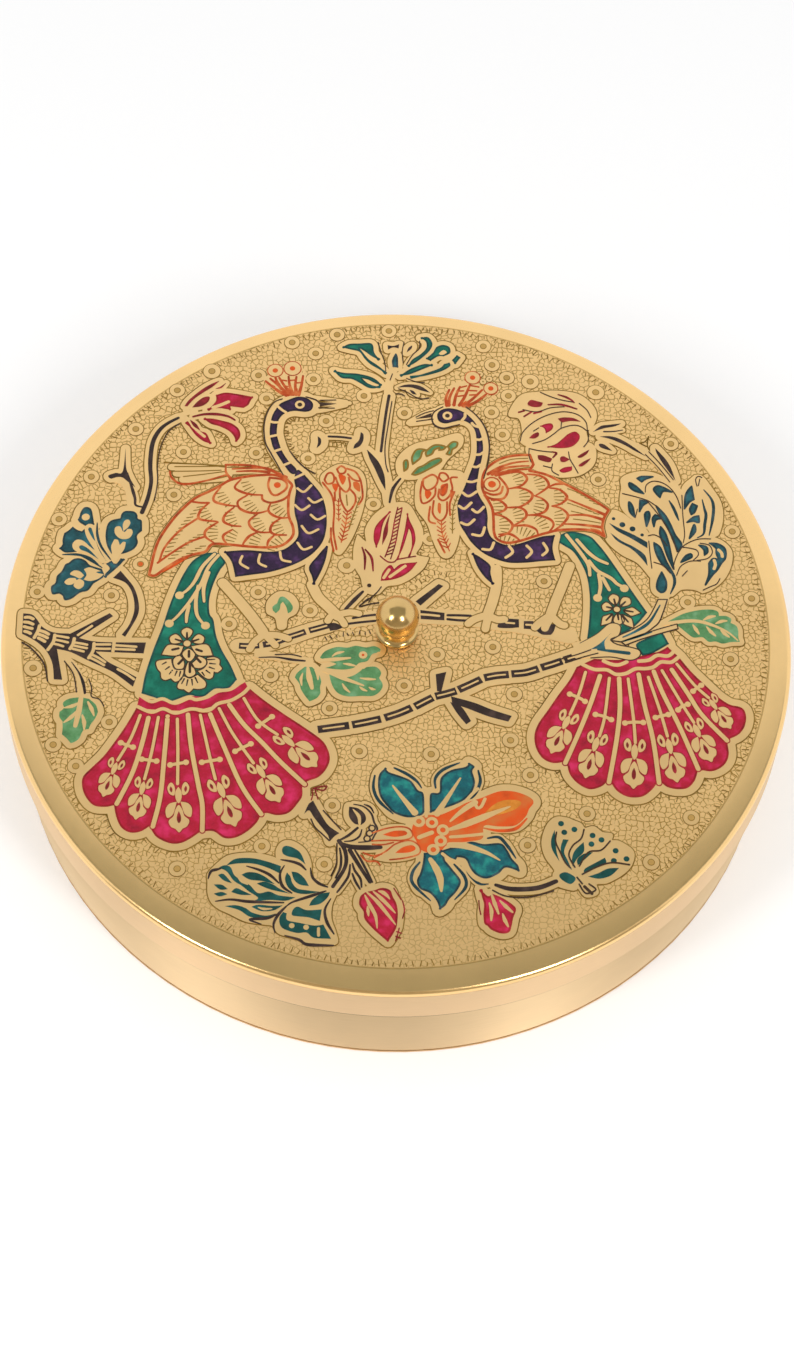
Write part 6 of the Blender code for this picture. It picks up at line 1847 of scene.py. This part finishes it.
        for blade in (
                "-42.8 -74.6|, -40.5 -72.6, -36.2 -72.2, -32 -73, -28.3 -74.2|, -28.4 -76.4|, "
                "-31.6 -74.9, -35.5 -73.8, -39.7 -73.9",
                "-44.8 -75.4|, -43.2 -74.6, -41.6 -75.2, -40.5 -77.4, -38.3 -79, -36.2 -80.2, "
                "-33.9 -82.4, -31 -81.8, -28.5 -82.8, -24 -83.2|, -26.5 -84.3, -31 -84.3, -36.4 -85.3|, "
                "-33.8 -83.9, -36.4 -82, -38.4 -80.4, -40.6 -79, -42.6 -76.4",
                "-38.6 -77.2|, -37 -76.4, -34.6 -76.5, -32.2 -77.6, -29.6 -79.6|, -33 -78.8, -36.4 -78.5",
                "-34.4 -79.6|, -32.4 -79, -30.1 -79.7, -28.4 -80.8, -25.4 -82.2|, -29.8 -81.4, -32.6 -80.5",
                "-25.4 -75.7|, -23.6 -76, -21.8 -77.6, -20.6 -79.7|, -23 -79.4, -24.6 -78",
                "-26.6 -76|, -27 -78, -26 -80.4, -24 -81.8, -21 -82.1, -17.6 -81.3|, -21 -81, "
                "-23.6 -80.6, -25 -79, -25.6 -77.2",
                "-28.2 -68.9, -27.2 -68.1, -25.1 -68.7, -23.2 -70.2, -21.8 -73.4|, -23.9 -71.8, "
                "-26.6 -71.2, -28 -70.4",
                "-14.9 -81.3|, -17.4 -81.9, -19.5 -83.8, -20.2 -85.5|, -17.4 -84.8, -15.5 -82.9",
                "-24.4 -86.8, -23.2 -85.9, -20.8 -86.8, -16.8 -86.4|, -17.2 -89.8|, -20.1 -88.9, "
                "-22.8 -88.7, -24.6 -88.4",
                "-27.9 -89.6, -27 -87.6|, -26 -88|, -25.8 -89.9, -22.4 -90.6, -18.5 -91.2, -16.2 -90.8|, "
                "-14 -94.8|, -18.5 -94.7, -20.5 -93.3, -23.2 -93.5, -27 -92.2",
                "-42.4 -86.6|, -39.6 -86.2, -37 -86.9, -35 -88.2, -31.6 -88.9, -29 -88.2|, -31.8 -89.6, "
                "-35.6 -89.4, -38.6 -87.6",
                "-35.4 -86.5|, -33.6 -85.8, -30 -86, -27.2 -85.7|, -29.4 -87.2, -32.6 -87.6",
                "-41 -82.4|, -39.8 -81.2, -37.8 -82, -35.6 -83|, -38.4 -83.1",
                "-45.8 -80.4|, -43.6 -80.4, -42 -81.6|, -44 -81.8",
                "-45.6 -83.1|, -43.6 -82.5, -42 -83.1|, -44 -83.8",
                "-44.8 -77.6|, -43.4 -77.2, -41 -79.8|, -43.2 -79.1"):
            fern.fill("fern", blade)
        fern.spots("sprig", 0.75, "-24.5 -91.5, -20.7 -91.8")
        fern.line("sprig", 0.8, "-17.4 -92, -17.4 -93, -17.3 -94")
        fern.line("sprig", (0.3, 0.8, 0.3),
                  "-39.8 -77.4, -38.6 -79, -36.8 -80; -33.6 -86.6, -32 -87, -30 -86.8")
        fern.line("black", (0.3, 0.7, 0.9, 0.4),
                  "-37.4 -74.6, -33.9 -75.6, -31 -77, -28.6 -79.2; -45 -85.3, -41 -84.6, -36 -85, "
                  "-27 -84.9; -28.4 -72.3, -25.5 -72.7, -23.2 -73.5, -21.6 -75; -28.8 -93.6, "
                  "-29.3 -91.2, -28.2 -88.4, -26.2 -85.9; -26.2 -85.9, -24.6 -84.6, -20.8 -83, -16 -81; "
                  "-14.6 -83.2, -16 -86.5, -15.3 -90, -13.3 -93.4; -26.2 -94.4, -22.4 -95.4, "
                  "-20.1 -96.7, -13.3 -96.7; -20.4 -74.4, -19.8 -77, -18 -78.8, -15.6 -79.8; "
                  "-32.6 -91.4, -35.6 -90.2, -31 -89.6, -28.8 -88.4; -47.4 -78.8, -46.8 -76.6, "
                  "-45.4 -76, -44.2 -75.6; -27.4 -74, -28.4 -76.6, -27.6 -80, -25 -82")
        fern.laid()
        twigs = Ornament("front_twigs", 0.0144)
        twigs.fill("black", "-21.8 -55.2|, -20.7 -54.2|, -18.5 -58.1, -16.2 -61.5, -13.2 -63.7|, "
                            "-14.4 -64.6, -15.6 -66.2|, -16.2 -64.4|, -20.1 -59.4, -21.6 -57.2, "
                            "-22.9 -58.3|, -22.3 -56.4", 1.6)
        twigs.fill("black", "-10.9 -55.6|, -8.5 -56, -6.6 -57.7, -6.3 -59.6, -7.4 -60.9|, -9.3 -60.6, "
                            "-10.8 -58.5", 1.5)
        twigs.line("sprig", (0.3, 1.0, 0.7), "-9.8 -56.4, -8.2 -58.4, -7.9 -60.6")
        twigs.line("black", (0.3, 0.6, 0.5, 0.3),
                   "-9.7 -54.8, -7 -55.4, -4.9 -57.4, -4 -60, -3.1 -61.9, -3.9 -64.2, -4.8 -65.6, "
                   "-7.9 -66.2; -6.9 -54.7, -5.2 -55.5, -4.2 -57.2; -7.2 -62.3, -7.8 -64.4, -9.5 -65.7, "
                   "-11.7 -66.1", 1.1)
        twigs.line("black", (0.7, 0.8, 0.5), "-8.4 -61.9, -10.7 -64.2, -13.2 -65.9", 1.3)
        for across, up in ((-4.5, -61.8), (-5.1, -63.4), (-5.7, -65.0)):
            twigs.sheet("black").disc(across, up, 1.05, 14)
            twigs.sheet("sprig").disc(across, up, 0.62, 14)
        twigs.line("ink", 0.4, "-17.8 -57.1, -15.4 -59.8, -12.8 -62.6; -21 -59.8, -19.8 -62.2, "
                               "-17.6 -64.3, -15.8 -66; -13.7 -66.8, -13.6 -70, -13.6 -73, -14.8 -76.4")
        twigs.line("garnet", 0.35, "-21.2 -50.9, -20.9 -52.4, -21.2 -54; -20.9 -50.6, -19.2 -49.9, "
                                   "-17.3 -49.6, -18 -50.9, -20.2 -50.7, -19.9 -52.2, -19.4 -53.7")
        twigs.line("black", (0.9, 1.4, 1.5, 1.1), "-13 -66.6, -10 -67.6, -6 -67.7, -2 -67.4", 1.5)
        twigs.line("black", (1.2, 1.1, 1.0, 1.0),
                   "-13.2 -66, -11.4 -69, -11.2 -73.6, -14.2 -79.6; -10.2 -68.6, -8.4 -71.6, -6.4 -74.8, "
                   "-4.4 -77.8", 1.4)
        twigs.line("black", (0.5, 0.7, 0.7, 0.5),
                   "-12.9 -68.2, -12.4 -71, -12.5 -74, -13.6 -77; -9.9 -73, -10.2 -76.2, -11.6 -79, "
                   "-13 -81.2; -9.3 -72.6, -8.6 -74.6, -7 -77, -6.6 -79.4; -9.2 -75.6, -8.4 -77.6, "
                   "-7.6 -79, -7 -80; -8.8 -68.6, -7.2 -71.2, -5.4 -74.6, -3.8 -77.8", 0.9)
        twigs.line("black", (0.9, 1.4, 1.4, 1.2), "29 -77.2, 33.4 -78.2, 40 -77.6, 45 -75.4", 1.7)
        twigs.line("ink", 0.4, "28.2 -78.8, 32 -80.4, 38 -80.3, 44.4 -78.2")
        twigs.fill("crimson", "-5.4 -80.8|, -3.2 -80.2, -1.1 -79.4, 1 -80, 1.8 -81.9, 2.8 -83.8, "
                              "3.3 -86.5, 3.2 -89.6, 2.8 -91.5, 1 -95|, -0.8 -93.5, -3.1 -91.4, "
                              "-5.4 -88.7, -5.8 -86.5, -7 -84.6, -6.8 -82.2", 1.6)
        twigs.line("sprig", (0.4, 1.1, 0.9, 0.3),
                   "-5.2 -80.8, -2.4 -83.4, 0.2 -86.6, 2.8 -90; -3.4 -80.6, -1.4 -82.4, 0.6 -84.4, "
                   "2.6 -86.6; -5.6 -81.8, -4.2 -84.6, -2.6 -87.6, -2 -91.2; -2 -80.4, -0.8 -80.8, "
                   "0.2 -81.6, 1 -82.6")
        twigs.line("sprig", (0.3, 0.9, 0.3), "-4.8 -85, -4.6 -86.4, -4.4 -87.8")
        twigs.fill("crimson", "24.9 -78.6|, 27 -80.6, 28 -79.8|, 30.6 -80.8, 33.6 -82.8, 34.5 -84.2, "
                              "33.8 -86.6, 33.4 -89, 32.8 -90.8, 30.8 -91.3, 28.2 -90.4, 27 -89.2, "
                              "26.2 -88.6, 25.9 -86, 26 -83, 25.4 -80.8", 1.6)
        twigs.line("sprig", (0.4, 1.1, 0.5),
                   "27.8 -79.6, 28.8 -82.6, 29.9 -85.6; 27.4 -82.6, 28 -84.8, 28 -87.6; 30.2 -81.8, "
                   "31.8 -83.4, 33.6 -85; 31 -85.6, 31.6 -87.4, 32.5 -89.2")
        twigs.line("garnet", 0.35, "4.4 -83, 5 -85.6, 4.6 -88; 24.6 -82, 24.8 -84.2, 25.2 -86; 2 -79.4, "
                                   "3 -81, 4 -82.6; 3.8 -91, 3.4 -93, 3 -94.6; 3.2 -92, 4.4 -92.4; "
                                   "3 -93.4, 4.2 -93.8")
        twigs.laid()
        fan = Ornament("seed_flower", 0.018)
        fan.fill("gold", (
            "41.6 -62, 42.8 -58.5, 45 -56.4, 48 -56.6, 49.4 -57.2, 51.4 -58, 52.6 -59.4, 55 -58.8, "
            "57.2 -60.4, 59.8 -60.8, 59.6 -62.6, 62 -63, 65.4 -65.6, 65 -69.4, 62.6 -72.4, 58.6 -75, "
            "55.6 -75.6, 56 -78.4, 53 -79.4, 51 -77, 49.6 -77.6, 45.4 -76.4, 44.4 -73.6, 44.8 -72, "
            "42.4 -68.4, 41.4 -65"), 0.35)
        for seed in (
                "44.5 -60.1|, 43.6 -63.1, 43.9 -66, 45.9 -69.5|, 45.1 -66.6, 44.8 -63.1",
                "46.8 -62.8|, 46.2 -65.1, 46.4 -67.5, 47.7 -70.4, 49.3 -71.9|, 48 -68.9, 47.1 -66.6, "
                "47.7 -64.2, 48.3 -62.9|",
                "52.3 -63.4|, 50 -66, 49.2 -68.6, 49.4 -70.8|, 50.6 -68.4, 52.4 -66.2",
                "54.8 -66.3|, 52.4 -66.9, 50.6 -68.6, 50.8 -70.4|, 52.6 -68.6",
                "58 -67.8|, 55.4 -69.5, 52.7 -71.3, 52.4 -72.5|, 55.4 -71, 58.3 -69.5",
                "61.8 -70.7|, 58.9 -71, 56.2 -72.5, 53.6 -73.6|, 56.5 -74.1, 59.5 -73.1"):
            fan.fill("fern", seed)
        fan.spots("fern", 0.8, "46.2 -58.1, 49.8 -59.7, 47.1 -60.7, 54.7 -61.3, 57.1 -62.5, 54.4 -63.9, "
                               "60.9 -65.6, 63.8 -67.9, 60.4 -68.6")
        fan.fill("fern", "45.9 -73.4, 47.7 -72.6, 50.2 -74.2, 48.9 -76, 46.5 -74.8")
        fan.line("ink", 0.45, "52.4 -59.6, 51.6 -62.4, 49.4 -64.6, 48.4 -67.6, 50 -71; 59.4 -62.8, "
                              "57 -65.6, 53.6 -66.4, 51.2 -70.6; 64.6 -69.6, 60 -69.2, 56.4 -70.4, "
                              "52 -73; 45 -60.8, 44.8 -63.6, 46 -66.6, 47.4 -69.6, 48.8 -71.2; 50.6 -74, "
                              "52 -75.8; 51.2 -76, 53 -78.6, 55.6 -77.4, 53.8 -75.8")
        fan.line("ink", 0.8, "52.6 -76.6, 53.6 -77.6, 54.6 -78.6")
        fan.laid()
        return {"FINISHED"}


class KEEPSAKE_OT_roundels(bpy.types.Operator):
    """Lays the small rings and the graver's comb along the border line"""
    bl_idname = "keepsake.roundels"
    bl_label = "Roundels"

    def execute(self, context):
        rings = Ornament("roundels", 0.0018)
        rings.roundels(ROUNDELS)
        rings.roundels("36 86.7, 55.2 83.8, -14.9 20.8, -57.2 85.8, -99.8 -16.6", 2.5, 0.8)
        rings.spots("orange_spot", 0.7, "-72.9 18.5")
        circle = [(math.cos(turn) * 103.6 - 0.2, math.sin(turn) * 103.6 + 1.4)
                  for turn in (FULL_TURN * step / 720 for step in range(720))]
        rings.ticks(circle, -0.2, -1.7, 1.35, width=0.3)
        rings.laid()
        return {"FINISHED"}


class KEEPSAKE_OT_lid_plate(bpy.types.Operator):
    """Turns the lid's plate with its rounded shoulder and etches its top"""
    bl_idname = "keepsake.lid_plate"
    bl_label = "Lid Plate"

    def execute(self, context):
        shoulder = sizes().shoulder / MM
        under = PLATE_LOW[2] / MM
        hole = SCREW_HOLE_RADIUS
        rings = [hole, 6.0, 20.0, 40.0, 60.0, 80.0, 96.0, 104.0]
        top = [(ring, PLATE_TOP) for ring in rings]
        corner = arc(OUTER_RADIUS - shoulder, PLATE_TOP - shoulder, shoulder, 90, 0, 8)
        side = [(OUTER_RADIUS, under - 0.15), (OUTER_RADIUS - 0.2, under - 0.25), (107.5, under - 0.25),
                (107.0, under), (hole, under)]
        piece = turned("lid_plate_top", top + corner + side + [(hole, PLATE_TOP)])
        dressed(piece, "lid", lid_top_finish(), "etched_brass", "lid_plate")
        return {"FINISHED"}


class KEEPSAKE_OT_lid_skirt(bpy.types.Operator):
    """Turns the band of sheet that hangs from the lid's plate"""
    bl_idname = "keepsake.lid_skirt"
    bl_label = "Lid Skirt"

    def execute(self, context):
        low, high = SKIRT_LOW[2] / MM, SKIRT_HIGH[2] / MM
        inner = OUTER_RADIUS - SKIRT_SHEET
        profile = [(OUTER_RADIUS, high), (OUTER_RADIUS, low + 0.45)]
        profile += arc(OUTER_RADIUS - 0.45, low + 0.45, 0.45, 0, -90, 4)[1:]
        profile += [(inner + 0.3, low), (inner, low + 0.3), (inner, high), (OUTER_RADIUS, high)]
        piece = turned("lid_skirt_band", profile)
        finish = brass_finish("Satin Skirt Brass", "brass", 0.36, 0.05, True, 0.9)
        dressed(piece, "lid", finish, "brushed_brass", "lid_skirt")
        return {"FINISHED"}


class KEEPSAKE_OT_base_wall(bpy.types.Operator):
    """Turns the box's tapering wall"""
    bl_idname = "keepsake.base_wall"
    bl_label = "Base Wall"

    def execute(self, context):
        low, high = WALL_LOW[2] / MM, WALL_HIGH[2] / MM
        foot, rim = WALL_FOOT_RADIUS, WALL_HIGH[0] / MM
        profile = [(rim - WALL_SHEET, high), (rim - 0.3, high)]
        profile += [(rim - 0.08, high - 0.1), (rim, high - 0.35), (foot + 0.02, low + 0.9)]
        profile += [(foot - 0.1, low + 0.35), (foot - 0.5, low + 0.05), (foot - WALL_SHEET, low)]
        profile += [(rim - WALL_SHEET, high)]
        piece = turned("base_wall_shell", profile)
        finish = brass_finish("Satin Wall Brass", "wall_brass", 0.48, 0.05, True, 0.88, WALL_SKIRT_SHADOW)
        dressed(piece, "base", finish, "brushed_brass", "base_wall")
        return {"FINISHED"}


class KEEPSAKE_OT_collar(bpy.types.Operator):
    """Turns the upright collar inside the wall that the lid slips over"""
    bl_idname = "keepsake.collar"
    bl_label = "Locating Collar"

    def execute(self, context):
        low, high = COLLAR_LOW[2] / MM, COLLAR_HIGH[2] / MM
        seat = WALL_HIGH[2] / MM
        outer = COLLAR_HIGH[0] / MM
        foot = outer - WALL_TAPER * (seat - low) / (WALL_HIGH[2] - WALL_LOW[2]) * MM
        inner = outer - COLLAR_SHEET
        profile = [(inner, high - 0.2), (outer - 0.6, high), (outer - 0.2, high), (outer, high - 0.2),
                   (outer, seat), (foot, low), (foot - COLLAR_SHEET, low), (inner, seat),
                   (inner, high - 0.2)]
        piece = turned("locating_collar_ring", profile)
        finish = brass_finish("Collar Brass", "brass", 0.32, 0.04, True, 0.85)
        dressed(piece, "base", finish, "raw_brass", "locating_collar")
        return {"FINISHED"}


class KEEPSAKE_OT_knob(bpy.types.Operator):
    """Turns the ball knob on its flared foot"""
    bl_idname = "keepsake.knob"
    bl_label = "Lid Knob"

    def execute(self, context):
        low, high = KNOB_LOW[2] / MM, KNOB_HIGH[2] / MM
        drop = math.degrees(math.acos(CREASE_RADIUS / BALL_RADIUS))
        profile = [(0.0, high)] + arc(0, high - BALL_RADIUS, BALL_RADIUS, 88, -drop, 26)
        fall = CREASE_HEIGHT - low - FOOT_RIM
        for step in range(1, 9):
            turn = step / 8 * math.pi / 2
            profile.append((CREASE_RADIUS + FOOT_SWELL * (1 - math.cos(turn)),
                            CREASE_HEIGHT - fall * math.sin(turn)))
        profile += [(FOOT_RADIUS, low + 0.2), (FOOT_RADIUS - 0.25, low), (0.0, low)]
        piece = turned("lid_knob_ball", profile)
        finish = brass_finish("Polished Knob Brass", "knob_brass", 0.14, 0.006, False, 0.9)
        dressed(piece, "lid", finish, "polished_brass", "lid_knob")
        return {"FINISHED"}


class KEEPSAKE_OT_fittings(bpy.types.Operator):
    """Gives the floor, the washer and the screw their metal"""
    bl_idname = "keepsake.fittings"
    bl_label = "Floor, Washer and Screw"

    def execute(self, context):
        floor = brass_finish("Plain Floor Brass", "brass", 0.34, 0.06, False, 0.82)
        washer = brass_finish("Washer Brass", "brass", 0.3, 0.01, False, 0.85)
        screw = brass_finish("Plated Screw Steel", "steel", 0.22, 0.01, False, 0.9)
        for node, finish in (("base_floor", floor), ("knob_washer", washer), ("knob_screw", screw)):
            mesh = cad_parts[node].data
            mesh.materials.clear()
            mesh.materials.append(finish)
        return {"FINISHED"}


def seen_background(nodes, links):
    """A mask that is 1 for the camera and for what metal or glass mirrors"""
    path = nodes.new("ShaderNodeLightPath")
    seen = sum_of(nodes, links, "ADD", path.outputs["Is Camera Ray"], path.outputs["Is Glossy Ray"])
    seen = sum_of(nodes, links, "ADD", seen, path.outputs["Is Transmission Ray"])
    return sum_of(nodes, links, "MINIMUM", seen, 1.0)


def add_floor():
    """A pale floor that stays white and keeps the box's shadow"""
    deselect_all()
    bpy.ops.mesh.primitive_plane_add(size=6.0, location=(0, 0, -0.0002))
    floor = bpy.context.object
    floor.name = "studio_floor"
    finish = bpy.data.materials.new("Studio Floor")
    finish.use_nodes = True
    shader = finish.node_tree.nodes["Principled BSDF"]
    shader.inputs["Base Color"].default_value = (0.92, 0.92, 0.92, 1)
    shader.inputs["Roughness"].default_value = 0.9
    shader.inputs["Specular IOR Level"].default_value = 0.1
    nodes, links = finish.node_tree.nodes, finish.node_tree.links
    shader.inputs["Emission Color"].default_value = (1, 1, 1, 1)
    lift = sum_of(nodes, links, "MULTIPLY", seen_background(nodes, links), 0.16)
    links.new(lift, shader.inputs["Emission Strength"])
    floor.data.materials.append(finish)


def add_card(name, size, place, tilt, shade_level):
    """A plain card over the set, seen only in what the metal mirrors"""
    deselect_all()
    bpy.ops.mesh.primitive_plane_add(size=1.0, location=(0, 0, 0))
    card = bpy.context.object
    card.name = name
    card.scale = (size[0], size[1], 1)
    card.rotation_euler = tilt
    card.location = place
    bpy.ops.object.transform_apply(location=True, rotation=True, scale=True)
    finish = bpy.data.materials.new(name.replace("_", " ").title())
    finish.use_nodes = True
    shader = finish.node_tree.nodes["Principled BSDF"]
    shader.inputs["Base Color"].default_value = (*shade_level, 1)
    shader.inputs["Roughness"].default_value = 1.0
    card.data.materials.append(finish)
    card.visible_diffuse = False
    card.visible_shadow = False
    card.visible_camera = False


def add_lamp(name, size, power, place, aim):
    """A soft rectangular lamp aimed at a point"""
    light = bpy.data.lights.new(name, "AREA")
    light.shape = "RECTANGLE"
    light.size, light.size_y = size
    light.energy = power
    lamp = bpy.data.objects.new(name, light)
    lamp.location = place
    away = Vector(aim) - Vector(place)
    lamp.rotation_euler = away.to_track_quat("-Z", "Y").to_euler()
    bpy.context.collection.objects.link(lamp)


def add_camera():
    """The camera at the photograph's place and roll"""
    view = bpy.data.cameras.new("photo_camera")
    camera = bpy.data.objects.new("photo_camera", view)
    bpy.context.collection.objects.link(camera)
    rise, roll = math.radians(CAMERA_RISE), math.radians(CAMERA_ROLL)
    target = Vector(CAMERA_TARGET)
    forward = Vector((0, math.cos(rise), -math.sin(rise)))
    up = Vector((0, math.sin(rise), math.cos(rise)))
    across = Vector((1, 0, 0))
    right = math.cos(roll) * across + math.sin(roll) * up
    top = -math.sin(roll) * across + math.cos(roll) * up
    turn = Matrix((right, top, -forward)).transposed().to_4x4()
    camera.matrix_world = Matrix.Translation(target - forward * CAMERA_REACH) @ turn
    view.sensor_width = SENSOR_WIDTH
    view.lens = FOCAL_PIXELS / PHOTO_SIZE[1] * SENSOR_WIDTH
    bpy.context.scene.camera = camera


class KEEPSAKE_OT_stage(bpy.types.Operator):
    """Sets the floor, the world, the lamps, the cards and the camera"""
    bl_idname = "keepsake.stage"
    bl_label = "Stage"

    def execute(self, context):
        world = bpy.data.worlds.new("Studio World")
        world.use_nodes = True
        nodes, links = world.node_tree.nodes, world.node_tree.links
        ground = nodes["Background"]
        ground.inputs["Color"].default_value = (1, 1, 1, 1)
        level = sum_of(nodes, links, "MULTIPLY", seen_background(nodes, links), 0.35)
        links.new(sum_of(nodes, links, "ADD", level, 0.65), ground.inputs["Strength"])
        context.scene.world = world
        add_floor()
        add_card("dark_ceiling_card", (2.6, 1.58), (0, -0.07, 1.5), (0, 0, math.radians(5)),
                 (0.5, 0.51, 0.455))
        add_card("dark_front_card", (5.0, 2.7), (0, -1.25, 1.45), (math.radians(90), 0, 0),
                 (0.5, 0.45, 0.36))
        add_lamp("left_softbox", (0.22, 0.4), 3.9, (-0.67, -0.63, 0.95), (0, 0, 0.03))
        add_lamp("right_softbox", (0.22, 0.4), 4.5, (0.55, -0.73, 0.95), (0, 0, 0.03))
        add_camera()
        context.scene.view_settings.view_transform = "Standard"
        return {"FINISHED"}


OPERATORS = (
    KEEPSAKE_OT_lid_plate,
    KEEPSAKE_OT_lid_skirt,
    KEEPSAKE_OT_base_wall,
    KEEPSAKE_OT_collar,
    KEEPSAKE_OT_knob,
    KEEPSAKE_OT_fittings,
    KEEPSAKE_OT_left_bird,
    KEEPSAKE_OT_right_bird,
    KEEPSAKE_OT_crests,
    KEEPSAKE_OT_top_flower,
    KEEPSAKE_OT_crimson_blossoms,
    KEEPSAKE_OT_fans,
    KEEPSAKE_OT_branches,
    KEEPSAKE_OT_right_spray,
    KEEPSAKE_OT_left_spray,
    KEEPSAKE_OT_middle_leaf,
    KEEPSAKE_OT_bottom_flowers,
    KEEPSAKE_OT_roundels,
    KEEPSAKE_OT_stage,
)


class KEEPSAKE_PT_panel(bpy.types.Panel):
    """Lists the pieces of the box in the order in which they are made"""
    bl_idname = "KEEPSAKE_PT_panel"
    bl_label = "Keepsake Box"
    bl_space_type = "VIEW_3D"
    bl_region_type = "UI"
    bl_category = "Keepsake Box"

    def draw(self, context):
        column = self.layout.column()
        for operator in OPERATORS:
            column.operator(operator.bl_idname)
        for name in KeepsakeSizes.__annotations__:
            column.prop(context.scene.keepsake_sizes, name)
        for name in KeepsakeColours.__annotations__:
            column.prop(context.scene.keepsake_colours, name)


CLASSES = (KeepsakeSizes, KeepsakeColours, *OPERATORS, KEEPSAKE_PT_panel)


def register():
    """Adds the classes and their settings"""
    for kind in CLASSES:
        bpy.utils.register_class(kind)
    bpy.types.Scene.keepsake_sizes = bpy.props.PointerProperty(type=KeepsakeSizes)
    bpy.types.Scene.keepsake_colours = bpy.props.PointerProperty(type=KeepsakeColours)


def unregister():
    """Takes the classes and their settings away"""
    del bpy.types.Scene.keepsake_colours
    del bpy.types.Scene.keepsake_sizes
    for kind in reversed(CLASSES):
        bpy.utils.unregister_class(kind)


def main():
    """Makes every piece"""
    register()
    for operator in OPERATORS:
        group, name = operator.bl_idname.split(".")
        getattr(getattr(bpy.ops, group), name)()


if __name__ == "__main__":
    main()
